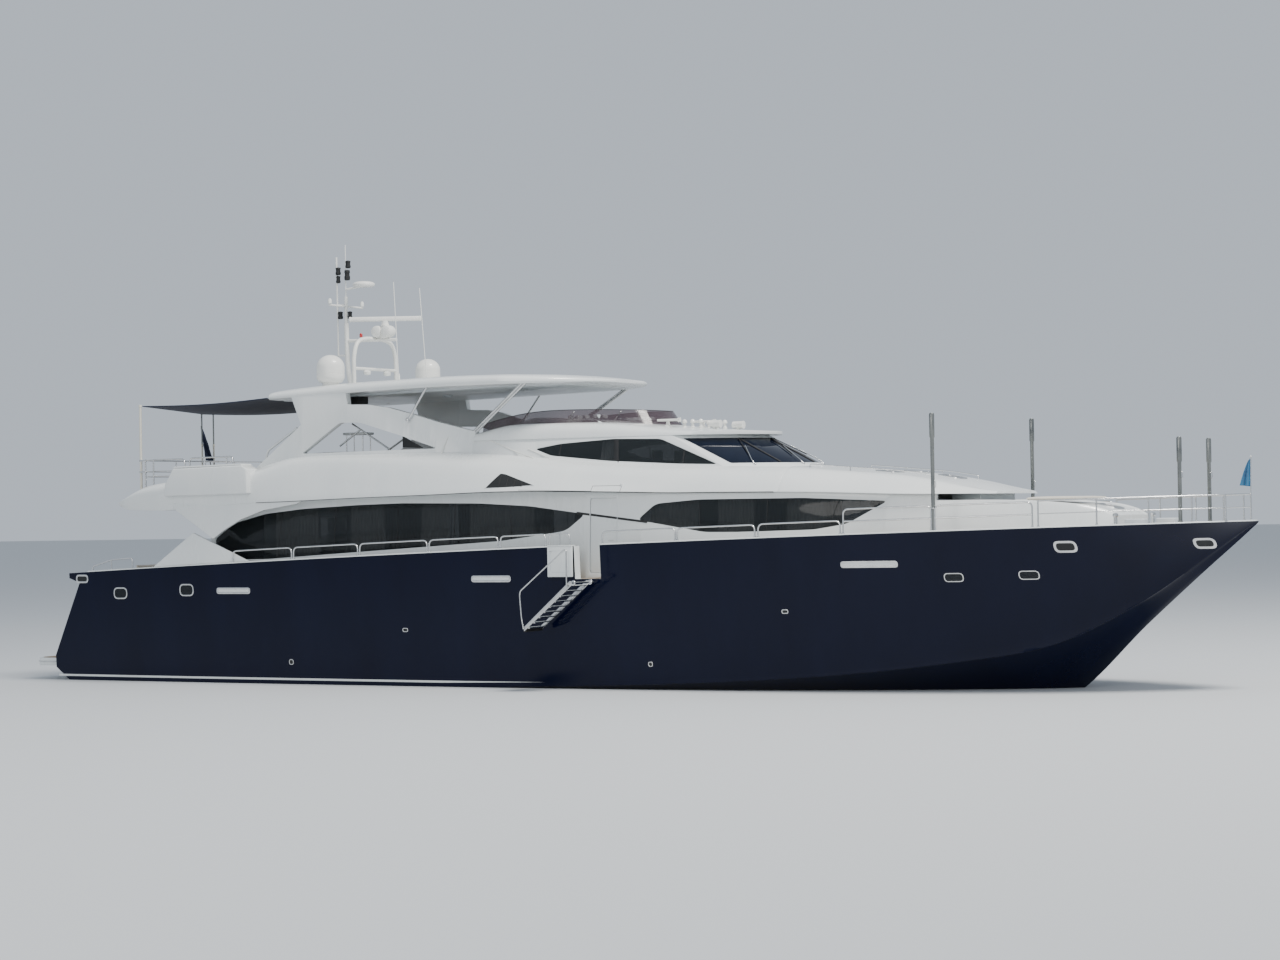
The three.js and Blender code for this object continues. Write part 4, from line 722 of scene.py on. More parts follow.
def wall_skin(name, inset, thick, stations=HOUSE_STATIONS):
    """A sheet that follows the port side's wall, so far inside its outer face and so thick."""
    loops = []
    for x in stations:
        _, low, high = wall_at(x)
        floor, top = deck_z(x) - 0.02, roof_under_z(x) + 0.02
        loops.append([
            (x, low - inset - thick, floor), (x, low - inset, floor),
            (x, high - inset, top), (x, high - inset - thick, top),
        ])
    return skin(name, loops)


def eased(outline, radius, pieces=4):
    """The outline with its corners rounded."""
    smooth = []
    count = len(outline)
    for i, corner in enumerate(outline):
        corner = Vector(corner)
        before, after = Vector(outline[i - 1]), Vector(outline[(i + 1) % count])
        reach = min(radius, (before - corner).length * 0.45, (after - corner).length * 0.45)
        start = corner + (before - corner).normalized() * reach
        end = corner + (after - corner).normalized() * reach
        for step in range(pieces + 1):
            t = step / pieces
            smooth.append(tuple(start * (1 - t) ** 2 + corner * 2 * t * (1 - t) + end * t * t))
    return smooth


def shrunk(outline, by):
    """The outline with its corners drawn in towards its middle."""
    middle = sum((Vector(point) for point in outline), Vector((0, 0))) / len(outline)
    return [tuple(Vector(point) + (middle - Vector(point)).normalized() * by) for point in outline]


def side_cut(name, outline, radius):
    return prism(name, eased(outline, radius), *ONE_SIDE)


deckhouse_shell = paint(wall_skin("deckhouse_shell", 0, WALL_THICK), white_gelcoat)
for outline, radius in ((SALOON_WINDOW, 0.16), (CABIN_WINDOW, 0.14), (SIDE_DOOR, 0.08)):
    cut(deckhouse_shell, side_cut("opening", outline, radius))
# Behind the outer skin the doorway's head and foot are square, to clear the leaf as it swings in.
for label, low, high, reach in (("door_head_rebate", 4.2, 4.44, 2.622), ("door_foot_rebate", 2.69, 2.9, 2.7)):
    corners = [(0.06, low), (0.8, low), (0.8, high), (0.06, high)]
    cut(deckhouse_shell, prism(label, eased(corners, 0.015), ONE_SIDE[0], reach))
soften(deckhouse_shell, 0.008, 32)
window_glass = {}
for name, outline, radius in (("saloon_pane", SALOON_WINDOW, 0.16), ("cabin_pane", CABIN_WINDOW, 0.14)):
    pane = wall_skin(name, 0.006, 0.024)
    common(pane, side_cut("pane_edge", shrunk(outline, 0.004), radius))
    window_glass[name] = paint(soften(pane, 0.003, 32), smoked_glass)
for piece, replaced in (
    (deckhouse_shell, "deckhouse_wall"),
    (window_glass["saloon_pane"], "saloon_glass"),
    (window_glass["cabin_pane"], "cabin_glass"),
):
    twin = mirrored(piece, piece.name + "_starboard")
    for made, word in ((piece, "port"), (twin, "starboard")):
        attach(made, "yacht")
        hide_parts(replaced + "_" + word)

# Pilothouse
# A windowed band on the upper deck under a separate white roof, whose fore edge makes a visor
# over four raked windscreen panes.
# Columns: x, half breadth at the height PILOT_BREADTH_Z.
PILOT_SIDE = [
    (-3.4, 2.49),
    (-1.5, 2.4),
    (0, 2.29),
    (1.5, 2.15),
    (3.3, 1.96),
]
# Columns: x, half breadth at the eaves, shoulder height, crown height.
PILOT_ROOF = [
    (-3.4, 2.29, 6.09, 6.14),
    (-2.6, 2.25, 6.24, 6.29),
    (-1.5, 2.19, 6.26, 6.31),
    (0, 2.07, 6.22, 6.27),
    (0.8, 1.99, 6.15, 6.2),
    (1.5, 1.92, 6.07, 6.12),
    (2.5, 1.81, 5.99, 6.03),
    (3.3, 1.7, 5.945, 5.975),
    (3.8, 1.64, 5.925, 5.95),
]
pilot_side_at = fair(PILOT_SIDE)
pilot_roof_at = fair(PILOT_ROOF)
PILOT_LEAN = 0.35
PILOT_BREADTH_Z = 5.2
SCREEN_FOOT_Z = 5.12
SCREEN_RISE = 0.68
ROOF_UNDER_Z = 5.88
WALL_LEVELS = (4.9, 5.12, 5.5, 5.88)
ROOM_LEVELS = (4.8, 5.12, 5.5, 5.98)
SCREEN_REACH = 2.6


def pilot_y(x, z, inset=0.0):
    """Half breadth of the pilothouse's side, which leans inboard as it rises."""
    return pilot_side_at(x)[1] - PILOT_LEAN * (z - PILOT_BREADTH_Z) - inset


def screen_ends(z, inset=0.0):
    """The x of the windscreen's corner and of its middle at a height."""
    rise = (z - SCREEN_FOOT_Z) / SCREEN_RISE
    return 3.22 - 1.26 * rise - inset * 0.7, 4.76 - 1.31 * rise - inset * 1.3


def pilot_plan(z, inset=0.0):
    """The band's outline at a height: straight sides and a bowed windscreen."""
    corner, middle = screen_ends(z, inset)
    side = [(x, pilot_y(x, z, inset), z) for x in steps(-3.4 + inset, corner, 40)]
    corner_y = side[-1][1]
    front = [(middle - (middle - corner) * share ** 2, corner_y * share, z) for share in steps(1, 0, 20)[1:]]
    half = side + front
    return half + [(x, -y, height) for x, y, height in reversed(half[:-1])]


SCREEN_MASK = [(3.33, 5.19), (2.08, 5.8), (5.6, 5.8), (5.6, 5.19)]
pilot_band = paint(skin("pilothouse_walls", [pilot_plan(z) for z in WALL_LEVELS]), white_gelcoat)
cut(pilot_band, skin("room", [pilot_plan(z, WALL_THICK) for z in ROOM_LEVELS]))
for side in (-1, 1):
    y_range = sorted(side * reach for reach in ONE_SIDE)
    cut(pilot_band, prism("opening", eased(PILOT_WINDOW, 0.1), *y_range))
cut(pilot_band, prism("screen_opening", eased(SCREEN_MASK, 0.05), -SCREEN_REACH, SCREEN_REACH))
soften(pilot_band, 0.008, 32)
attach(pilot_band, "yacht")
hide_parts("pilothouse_band")


def glazing(name, outline, low, high):
    """Panes that follow the band just inside its face, as far as an outline reaches."""
    pane = skin(name, [pilot_plan(z, 0.008) for z in WALL_LEVELS])
    cut(pane, skin("pane_inside", [pilot_plan(z, 0.032) for z in ROOM_LEVELS]))
    return soften(common(pane, prism("pane_edge", outline, low, high)), 0.003, 32)


side_pane = eased(shrunk(PILOT_WINDOW, 0.004), 0.1)
for word, low, high in (("port", *ONE_SIDE), ("starboard", -ONE_SIDE[1], -ONE_SIDE[0])):
    pane = paint(glazing("pilothouse_pane_" + word, side_pane, low, high), smoked_glass)
    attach(pane, "yacht")
    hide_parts("pilothouse_glass_" + word)
screen_pane = glazing("windscreen_panes", shrunk(SCREEN_MASK, 0.004), -SCREEN_REACH, SCREEN_REACH)
windscreen = paint(screen_pane, screen_glass)
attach(windscreen, "yacht")
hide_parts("windscreen")


def pilot_roof_section(x):
    _, eaves, shoulder, crown = pilot_roof_at(x)
    lower = (eaves - 0.06, ROOF_UNDER_Z + 0.55 * (shoulder - ROOF_UNDER_Z))
    upper = [(eaves - 0.23, shoulder - 0.025), (eaves - 0.6, shoulder + 0.015)]
    side = rolled([(eaves, ROOF_UNDER_Z), lower, *upper], 4)
    return section(x, [(0, ROOF_UNDER_Z)] + side + [(0, crown)])


pilot_roof = skin("pilothouse_roof_shell", [pilot_roof_section(x) for x in steps(-3.4, 3.8, 72)])
paint(pilot_roof, white_gelcoat)
visor_edge = [(3.64 - 1.59 * share ** 2, 2 * share) for share in steps(-1, 1, 40)]
roof_plan = [(-3.6, 2.5), (-3.6, -2.5), (2.05, -2.5), *visor_edge, (2.05, 2.5)]
common(pilot_roof, prism("roof_mask", roof_plan, 5.7, 6.5, "xy"))
soften(pilot_roof, 0.015, 35, 3)
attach(pilot_roof, "yacht")
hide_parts("pilothouse_roof")

# Hardtop
# A thin white foam-cored roof over the flybridge with a rolled rim and a lined underside.
# Columns: x, lower lip height, rim height, crown height.
HARDTOP_LINES = [
    (-9.85, 7.09, 7.12, 7.135),
    (-9.05, 7.055, 7.225, 7.34),
    (-7.2, 7.11, 7.34, 7.46),
    (-5.4, 7.16, 7.395, 7.495),
    (-3.9, 7.178, 7.43, 7.5),
    (-2.3, 7.185, 7.41, 7.49),
    (-1.3, 7.2, 7.37, 7.44),
    (-0.39, 7.245, 7.3, 7.325),
]
hardtop_at = fair(HARDTOP_LINES)
HARDTOP_HALF = 2.85
HARDTOP_AFT_X = -9.85
HARDTOP_AFT_ROUND = 0.8
HARDTOP_FORE_X = -0.39
HARDTOP_FORE_ROUND = 1.9


def hardtop_half(x):
    """Half breadth of the roof, whose plan rounds off at both ends."""
    aft, fore = (x - HARDTOP_AFT_X) / HARDTOP_AFT_ROUND, (HARDTOP_FORE_X - x) / HARDTOP_FORE_ROUND
    return HARDTOP_HALF * max(min(aft, fore, 1), 0.002) ** (1 / 3)


def hardtop_section(x):
    _, lip, rim, crown = hardtop_at(x)
    half = hardtop_half(x)
    side = rolled([
        (half * 0.985, lip + 0.08 * (rim - lip)), (half, lip + 0.35 * (rim - lip)),
        (half * 0.975, lip + 0.88 * (rim - lip)), (half * 0.86, rim + 0.4 * (crown - rim)),
    ], 4)
    top = [(half * 0.4, crown - 0.12 * (crown - rim)), (0, crown)]
    return section(x, [(0, lip), (half * 0.85, lip)] + side + top)


hardtop_stations = [
    -9.845, -9.83, -9.8, -9.75, -9.68, -9.58, -9.46, -9.32, -9.18, *steps(-9.05, -2.4, 60),
    -2.29, -2.05, -1.8, -1.55, -1.3, -1.1, -0.9, -0.75, -0.62, -0.53, -0.46, -0.42, -0.4,
]
hardtop = paint(skin("hardtop_slab", [hardtop_section(x) for x in hardtop_stations]), white_gelcoat)
soften(hardtop, 0, 40)
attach(hardtop, "yacht")
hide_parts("hardtop")

# Arches
# Two hollow white side arches carry the hardtop. Each rises from the coaming, has a long open
# triangle through it, and fades forward into the pilothouse side.
ARCH_OUTLINE = [
    (-9.68, 5.2), (-9.48, 5.37), (-8.19, 6.32), (-8.09, 6.41), (-8.22, 6.72), (-8.39, 7.15),
    (-6.74, 7.15), (-6.7, 6.87), (-6.59, 6.85), (-6.05, 6.83), (-5.58, 6.75), (-4.96, 6.57),
    (-4.36, 6.37), (-3.56, 6.15), (-3.401, 6.11), (-3.401, 5.4), (-4.13, 5.4), (-8.25, 5.4),
]
ARCH_HOLE = [
    (-8.1, 5.68), (-6.93, 6.42), (-6.72, 6.41), (-6.31, 6.4), (-5.28, 6.07), (-4.71, 5.87),
    (-4.27, 5.72),
]
# Columns: x, half breadth at the height ARCH_BREADTH_Z, lean inboard for each unit of height.
ARCH_SKIN = [
    (-9.8, 2.83, 0),
    (-6.9, 2.83, 0),
    (-5.8, 2.8, 0.04),
    (-4.6, 2.62, 0.2),
    (-3.4, 2.35, 0.35),
]
arch_skin_at = fair(ARCH_SKIN)
ARCH_THICK = 0.18
ARCH_BREADTH_Z = 5.6
ARCH_FOOT_Z, ARCH_HEAD_Z = 5, 7.3
arch_loops = []
for x in [*steps(-9.8, -6.9, 8), *steps(-6.7, -3.4, 33)]:
    _, half, lean = arch_skin_at(x)
    low, high = half - lean * (ARCH_FOOT_Z - ARCH_BREADTH_Z), half - lean * (ARCH_HEAD_Z - ARCH_BREADTH_Z)
    arch_loops.append([
        (x, low - ARCH_THICK, ARCH_FOOT_Z), (x, low, ARCH_FOOT_Z),
        (x, high, ARCH_HEAD_Z), (x, high - ARCH_THICK, ARCH_HEAD_Z),
    ])
arch = paint(skin("arch_frame_port", arch_loops), white_gelcoat)
common(arch, prism("arch_outline", ARCH_OUTLINE, 1.5, 3.2))
cut(arch, prism("arch_hole", eased(ARCH_HOLE, 0.12), 1.5, 3.2))
soften(arch, 0.022, 30, 3)
for made, word in ((arch, "port"), (mirrored(arch, "arch_frame_starboard"), "starboard")):
    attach(made, "yacht")
    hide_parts("arch_" + word)

# Hull fittings
# Portlights with steel rims, vent slots, hawse holes and small outlets, each let into the topside
# and bedded in sealant. They are the same on both sides. The hawse holes and outlets are filled
# with a near-black pane, which is painted shade inside them.
# A near-black finish for dark parts, also used as painted shade in holes, openings and corners.
dark_paint_and_painted_shade = finish("dark_paint_and_painted_shade", (0.006, 0.007, 0.008), (0.011, 0.012, 0.013), (0.5, 0.7), (9, 1))
opal_lamp = finish(
    "opal_lamp", (0.82, 0.83, 0.8), (0.74, 0.76, 0.73), (0.15, 0.3), (12, 1), None, Coat_Weight=0.4,
)
SIDES = ((1, "port"), (-1, "starboard"))


def rounded_box(width, height, radius, place=(0, 0)):
    """The outline of a rectangle with rounded corners about a middle."""
    x, z = place
    half_w, half_h = width / 2, height / 2
    corners = [
        (x - half_w, z - half_h), (x + half_w, z - half_h), (x + half_w, z + half_h),
        (x - half_w, z + half_h),
    ]
    return eased(corners, radius * 1.35, 5)


def divided(piece, columns, rows):
    """Cuts a plate drawn in x and z into columns and rows, so that it can follow a curved face."""
    pick(piece)
    corners = [vertex.co.copy() for vertex in piece.data.vertices]
    bpy.ops.object.mode_set(mode="EDIT")
    for axis, count in ((0, columns), (2, rows)):
        reach = [corner[axis] for corner in corners]
        direction = Vector((axis == 0, 0, axis == 2))
        for level in steps(min(reach), max(reach), count)[1:-1]:
            bpy.ops.mesh.select_all(action="SELECT")
            bpy.ops.mesh.bisect(plane_co=direction * level, plane_no=direction)
    bpy.ops.object.mode_set(mode="OBJECT")
    return piece


def framed(name, width, height, radius, rim, proud, depth=0.02):
    """A flat ring and what it holds, drawn about the origin in x and z, proud of y = 0."""
    ring = prism(name, rounded_box(width, height, radius), -depth, proud)
    inner_radius = max(radius - rim, 0.004)
    cut(ring, prism("ring_hole", rounded_box(width - 2 * rim, height - 2 * rim, inner_radius), -0.2, 0.2))
    soften(ring, min(rim, proud) * 0.4, 40, 2)
    pane_outline = rounded_box(width - 1.6 * rim, height - 1.6 * rim, inner_radius)
    return ring, prism(name + "_pane", pane_outline, -depth, proud * 0.2)


def face_outwards(piece):
    """Turns the faces of a closed piece outwards."""
    pick(piece)
    bpy.ops.object.mode_set(mode="EDIT")
    bpy.ops.mesh.select_all(action="SELECT")
    bpy.ops.mesh.normals_make_consistent(inside=False)
    bpy.ops.object.mode_set(mode="OBJECT")
    return piece


def wrapped(piece, place, side):
    """Lays a piece drawn flat about the origin onto the topside at x and z."""
    divided(piece, 8, 1)
    for vertex in piece.data.vertices:
        x, z = vertex.co.x + place[0], vertex.co.z + place[1]
        vertex.co = (x, side * (topside_y(x, z) + vertex.co.y), z)
    return face_outwards(piece)


RIM_PROUD = 0.014
# Columns: kind, x, z, width, height, corner radius, rim width.
TOPSIDE_FITTINGS = [
    ("portlight", -13.6, 2.25, 0.46, 0.3, 0.11, 0.035),
    ("portlight", -11.4, 2.33, 0.46, 0.31, 0.11, 0.035),
    ("vent_slot", -9.9, 2.31, 1.06, 0.16, 0.07, 0.05),
    ("vent_slot", -2.25, 2.58, 1.1, 0.16, 0.07, 0.05),
    ("vent_slot", 7.36, 2.85, 1.3, 0.15, 0.07, 0.045),
    ("portlight", 9.18, 2.54, 0.42, 0.2, 0.08, 0.022),
    ("portlight", 10.73, 2.57, 0.42, 0.2, 0.08, 0.022),
    ("hawse_hole", 11.58, 3.18, 0.46, 0.26, 0.12, 0.05),
    ("hawse_hole", 14.16, 3.2, 0.4, 0.24, 0.11, 0.05),
    ("hawse_hole", -14.9, 2.62, 0.42, 0.22, 0.1, 0.045),
    ("outlet", -4.75, 1.36, 0.16, 0.1, 0.045, 0.02),
    ("outlet", 5.31, 1.81, 0.16, 0.1, 0.045, 0.02),
    ("outlet", -8.2, 0.55, 0.14, 0.14, 0.065, 0.02),
    ("outlet", 1.9, 0.6, 0.12, 0.12, 0.055, 0.02),
]
for kind, x, z, width, height, radius, rim in TOPSIDE_FITTINGS:
    for side, word in SIDES:
        name = f"{kind}_{word}_{x:g}"
        ring, pane = framed(name, width, height, radius, rim, RIM_PROUD)
        paint(ring, polished_steel)
        # Hawse holes and outlets get a near-black pane: painted shade inside the hole.
        paint(pane, {"portlight": smoked_glass, "vent_slot": white_gelcoat}.get(kind, dark_paint_and_painted_shade))
        for piece, slot in (
            (ring, "stainless"), (pane, "white_gelcoat" if kind == "vent_slot" else "tinted_glass"),
        ):
            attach(wrapped(piece, (x, z), side), "yacht")

# Boot line
# A thin white line that is painted round the hull, just above the waterline and the dull
# antifouling paint, and rises a little towards the bow.
for side, word in SIDES:
    loops = []
    for x in steps(-15.85, 14.2, 150):
        z = 0.1 + 0.03 * smooth_step(x, 5, 13)
        z_top = z + 0.05
        if hull_at(x)[3] + 0.05 > z:
            continue
        y_low, y_high = topside_y(x, z), topside_y(x, max(z_top, hull_at(x)[3] + 0.1))
        loops.append([
            (x, side * (y_low - 0.01), z), (x, side * (y_low + 0.003), z),
            (x, side * (y_high + 0.003), z_top), (x, side * (y_high - 0.01), z_top),
        ])
    boot_line = paint(skin("boot_line_" + word, loops), white_gelcoat)
    soften(boot_line, 0, 40)
    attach(boot_line, "yacht")

# Teak decks
# Narrow teak planks laid fore and aft in black caulking, on the main deck, the flybridge and the
# bathing platform.
PLANK_WIDTH = 0.055
SEAM_SHARE = 0.09
plank_sizes = [("Width", PLANK_WIDTH), ("Seam", SEAM_SHARE)]
plank_group, plank_in, plank_out = group_of("plank_seams", plank_sizes, ["Mask", "Plank"])
plank_place = plank_group.nodes.new("ShaderNodeTexCoord")
plank_axes = plank_group.nodes.new("ShaderNodeSeparateXYZ")
plank_count, plank_share, plank_edge, plank_number = (
    plank_group.nodes.new("ShaderNodeMath") for _ in range(4)
)
plank_count.operation = "DIVIDE"
plank_share.operation = "FRACT"
plank_edge.operation = "LESS_THAN"
plank_number.operation = "FLOOR"
plank_shade = plank_group.nodes.new("ShaderNodeTexWhiteNoise")
plank_shade.noise_dimensions = "1D"
link = plank_group.links.new
link(plank_place.outputs["Object"], plank_axes.inputs["Vector"])
link(plank_axes.outputs["Y"], plank_count.inputs[0])
link(plank_in.outputs["Width"], plank_count.inputs[1])
link(plank_count.outputs[0], plank_share.inputs[0])
link(plank_count.outputs[0], plank_number.inputs[0])
link(plank_share.outputs[0], plank_edge.inputs[0])
link(plank_in.outputs["Seam"], plank_edge.inputs[1])
link(plank_edge.outputs[0], plank_out.inputs["Mask"])
link(plank_number.outputs[0], plank_shade.inputs["W"])
link(plank_shade.outputs["Value"], plank_out.inputs["Plank"])

planked_teak = finish(
    "planked_teak", (0.46, 0.31, 0.17), (0.36, 0.23, 0.125), (0.55, 0.72), (3, 1), (140, 0.0006),
)
teak_tree = planked_teak.node_tree
teak_shader = teak_tree.nodes["Principled BSDF"]
teak_planks = teak_tree.nodes.new("ShaderNodeGroup")
teak_planks.node_tree = plank_group
for label, value in plank_sizes:
    teak_planks.inputs[label].default_value = value
plank_tone = teak_tree.nodes.new("ShaderNodeMix")
plank_tone.data_type = "RGBA"
plank_tone.blend_type = "MULTIPLY"
plank_tone.inputs[0].default_value = 0.3
teak_tree.links.new(teak_shader.inputs["Base Color"].links[0].from_socket, plank_tone.inputs[6])
teak_tree.links.new(teak_planks.outputs["Plank"], plank_tone.inputs[7])
seam_tone = teak_tree.nodes.new("ShaderNodeMix")
seam_tone.data_type = "RGBA"
seam_tone.inputs[7].default_value = (0.02, 0.018, 0.016, 1)
teak_tree.links.new(teak_planks.outputs["Mask"], seam_tone.inputs[0])
teak_tree.links.new(plank_tone.outputs[2], seam_tone.inputs[6])
teak_tree.links.new(seam_tone.outputs[2], teak_shader.inputs["Base Color"])


def deck_sheet(name, stations, half, height, thick=0.012):
    """A thin deck covering whose half breadth and height are read along its length."""
    loops = []
    for x in stations:
        y, z = half(x), height(x)
        loops.append([(x, -y, z), (x, y, z), (x, y, z + thick), (x, -y, z + thick)])
    made = paint(skin(name, loops), planked_teak)
    soften(made, 0.003, 40)
    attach(made, "yacht")
    return made


def well_half(x):
    return topside_y(x, deck_z(x)) - bulwark_thick(x) - 0.05


main_deck = deck_sheet("main_deck_teak", [*steps(-14.64, 6, 60), *steps(6.3, 14.2, 60)], well_half, deck_z)
cabin_floor = [(-9.45, -2.5), (4, -2.6), (8.4, -1.95), (8.4, 1.95), (4, 2.6), (-9.45, 2.5)]
cut(main_deck, prism("cabin_floor", cabin_floor, 1, 4, "xy"))
deck_sheet(
    "flybridge_teak", steps(-13.26, -3.8, 60),
    lambda x: upper_at(x)[5] - 0.26, lambda x: upper_at(x)[2] + FLOOR_THICK,
)
saloon_carpet_outline = [(-9.45, -2.48), (-3, -2.55), (-3, 2.55), (-9.45, 2.48)]
saloon_carpet = prism("saloon_floor", saloon_carpet_outline, deck_z(-9.4), deck_z(-9.4) + 0.05, "xy")
paint(soften(saloon_carpet, 0.01), pale_vinyl)
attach(saloon_carpet, "yacht")

# Bathing platform
# A white moulded platform low across the stern, with a teak top let into it and a steel rubbing
# band round its edge. Teak treads lead up from it on each side.
PLATFORM_OUTLINE = [
    (-15.931, -2.78), (-16.65, -2.78), (-16.9, -2.45), (-16.9, 2.45), (-16.65, 2.78), (-15.931, 2.78),
]
platform = paint(prism("bathing_platform", eased(PLATFORM_OUTLINE, 0.12), 0.36, 0.552, "xy"), white_gelcoat)
soften(platform, 0.02, 35, 3)
teak_outline = [(-15.98, -2.66), (-16.6, -2.66), (-16.8, -2.4), (-16.8, 2.4), (-16.6, 2.66), (-15.98, 2.66)]
platform_teak = paint(prism("platform_teak", teak_outline, 0.545, 0.56, "xy"), planked_teak)
soften(platform_teak, 0.003)
for piece, slot in ((platform, "white_gelcoat"), (platform_teak, "teak")):
    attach(piece, "yacht")
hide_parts("swim_platform")


def rounded_path(points, radius, pieces=5):
    """Points of an open path whose bends are rounded off."""
    path = [Vector(points[0])]
    for before, corner, after in zip(points, points[1:], points[2:]):
        before, corner, after = Vector(before), Vector(corner), Vector(after)
        reach = min(radius, (before - corner).length * 0.48, (after - corner).length * 0.48)
        start = corner + (before - corner).normalized() * reach
        end = corner + (after - corner).normalized() * reach
        for step in range(pieces + 1):
            t = step / pieces
            path.append(start * (1 - t) ** 2 + corner * 2 * t * (1 - t) + end * t * t)
    return path + [Vector(points[-1])]


def tube(name, paths, radius, material, body="yacht"):
    """Round bars along paths, as one piece."""
    deselect()
    bpy.ops.curve.primitive_nurbs_path_add()
    made = bpy.context.object
    made.name = name
    made.data.splines.clear()
    made.data.bevel_depth = radius
    made.data.bevel_resolution = 3
    made.data.use_fill_caps = True
    for path in paths:
        spline = made.data.splines.new("POLY")
        spline.points.add(len(path) - 1)
        for point, place in zip(spline.points, path):
            point.co = (*place, 1)
    bpy.ops.object.convert(target="MESH")
    made = bpy.context.object
    bpy.ops.object.shade_smooth_by_angle(angle=math.radians(50))
    paint(made, material)
    if body:
        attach(made, body)
    return made


def turned(name, profile, place, sides=32):
    """A piece turned about an upright axis; its profile points are radius and height."""
    deselect()
    bpy.ops.mesh.primitive_circle_add(vertices=sides, radius=1)
    made = bpy.context.object
    made.name = name
    first = profile[0]
    for vertex in made.data.vertices:
        vertex.co = (vertex.co.x * first[0], vertex.co.y * first[0], first[1])
    bpy.ops.object.mode_set(mode="EDIT")
    bpy.ops.mesh.select_all(action="SELECT")
    bpy.ops.mesh.edge_face_add()
    radius, height = first
    for next_radius, next_height in profile[1:]:
        bpy.ops.mesh.extrude_region_move(TRANSFORM_OT_translate={"value": (0, 0, next_height - height)})
        share = next_radius / radius
        bpy.ops.transform.resize(value=(share, share, 1), center_override=(0, 0, next_height))
        radius, height = next_radius, next_height
    bpy.ops.mesh.select_all(action="SELECT")
    bpy.ops.transform.translate(value=place)
    bpy.ops.mesh.normals_make_consistent(inside=False)
    bpy.ops.object.mode_set(mode="OBJECT")
    bpy.ops.object.shade_smooth_by_angle(angle=math.radians(40))
    return made


tube("platform_band", [rounded_path([
    (-15.96, -2.79, 0.46), (-16.66, -2.79, 0.46), (-16.905, -2.45, 0.46), (-16.905, 2.45, 0.46),
    (-16.66, 2.79, 0.46), (-15.96, 2.79, 0.46),
], 0.15)], 0.016, polished_steel)
for side in (-1, 1):
    for x, z in ((-15.86, 0.9), (-15.72, 1.25), (-15.58, 1.6), (-15.44, 1.95)):
        low, high = sorted((side * 2.05, side * 2.6))
        tread = paint(block("stern_tread", (x - 0.2, low, z - 0.05), (x + 0.1, high, z)), planked_teak)
        soften(tread, 0.01)
        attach(tread, "yacht")

# Capping rail
# A white moulded cap with chamfered edges, bonded on top of the bulwark all round and broken at
# the boarding gates.
CAP_THICK = 0.026
CAP_HALF_WIDTH = 0.07
CAP_CHAMFER = 0.014
CAP_EDGE = 0.016


def rail_line(x):
    """How far from the centreline the middle of the cap runs, and the rails on it."""
    return topside_y(x, sheer_z(x)) - RAIL_INSET


def cap(name, stations, side):
    loops = []
    for x in stations:
        y, z = rail_line(x), sheer_z(x) + 0.001
        inner, outer = y - CAP_HALF_WIDTH, y + CAP_HALF_WIDTH
        loops.append([
            (x, side * inner, z), (x, side * outer, z), (x, side * outer, z + CAP_EDGE),
            (x, side * (outer - CAP_CHAMFER), z + CAP_THICK),
            (x, side * (inner + CAP_CHAMFER), z + CAP_THICK),
            (x, side * inner, z + CAP_EDGE),
        ])
    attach(soften(paint(skin(name, loops), white_gelcoat), 0, 50), "yacht")


for side, word in SIDES:
    cap("cap_aft_" + word, steps(-14.7, 0.02, 40), side)
    cap("cap_middle_" + word, steps(0.76, 11.06, 40), side)
    cap("cap_bow_" + word, steps(11.062, 14.62, 24), side)
nose_half = fair([(14.6, 0.79), (14.9, 0.49), (15.19, 0.09)])
nose_loops = []
for x in steps(14.6, 15.19, 12):
    half, z = nose_half(x)[1], sheer_z(x) + 0.001
    top = z + CAP_THICK
    nose_loops.append([(x, -half, z), (x, half, z), (x, half - 0.01, top), (x, -half + 0.01, top)])
nose_cap = paint(skin("cap_nose", nose_loops), white_gelcoat)
soften(nose_cap, 0, 50)
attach(nose_cap, "yacht")

# Bulwark rails
# Polished tube hoops stand end to end on the cap, each foot in a small round base. The taller
# ones forward have a second rail at half height.
# Columns: first x, last x, height above the cap.
HOOPS = [
    (-9.93, -8.09, 0.28), (-8.03, -6.09, 0.28), (-6.03, -4.06, 0.28), (-4, -2.05, 0.28), (-1.98, -0.74, 0.28),
    (0.79, 2.69, 0.28), (2.74, 4.69, 0.28), (4.77, 6.75, 0.29), (6.82, 8.84, 0.54), (8.92, 11, 0.54),
]
RAIL_RADIUS = 0.019
TWO_RAILS_FROM = 0.5


def on_cap(x, side, height=0.0):
    return (x, side * rail_line(x), sheer_z(x) + CAP_THICK + height)


RAIL_FOOT = [(0.042, -0.002), (0.042, 0.008), (0.03, 0.014), (0.024, 0.016), (0.024, 0.04), (0.012, 0.04)]


def rail_base(name, places):
    """Round bases with a collar, one under each foot."""
    made = as_one(name, [turned("base", RAIL_FOOT, place, 14) for place in places], polished_steel)
    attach(made, "yacht")


for side, word in SIDES:
    for group, hoops in (("aft", HOOPS[:5]), ("fore", HOOPS[5:])):
        paths = []
        feet = []
        for first, last, height in hoops:
            corners = [on_cap(x, side, height) for x in steps(first, last, 6)]
            paths.append(rounded_path([on_cap(first, side), *corners, on_cap(last, side)], 0.13))
            feet += [on_cap(first, side), on_cap(last, side)]
            if height > TWO_RAILS_FROM:
                paths.append([on_cap(x, side, height / 2) for x in steps(first, last, 6)])
        rail = tube(f"side_rail_{group}_{word}_tubes", paths, RAIL_RADIUS, polished_steel)
        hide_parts(f"side_rail_{group}_{word}")
        rail_base(f"side_rail_{group}_{word}_bases", feet)

# Awning poles on the foredeck
# Tall grey tubes stand by the rail on each side, thicker at the head, each clamped to the bulwark.
# Dark grey for the foredeck poles; the same dark is painted shadow of the awning on the middle awning poles.
dark_pole_and_painted_shadow = finish(
    "dark_pole_and_painted_shadow", (0.16, 0.17, 0.17), (0.26, 0.27, 0.26), (0.22, 0.38), (6, 0.3), None, Metallic=0.85,
)
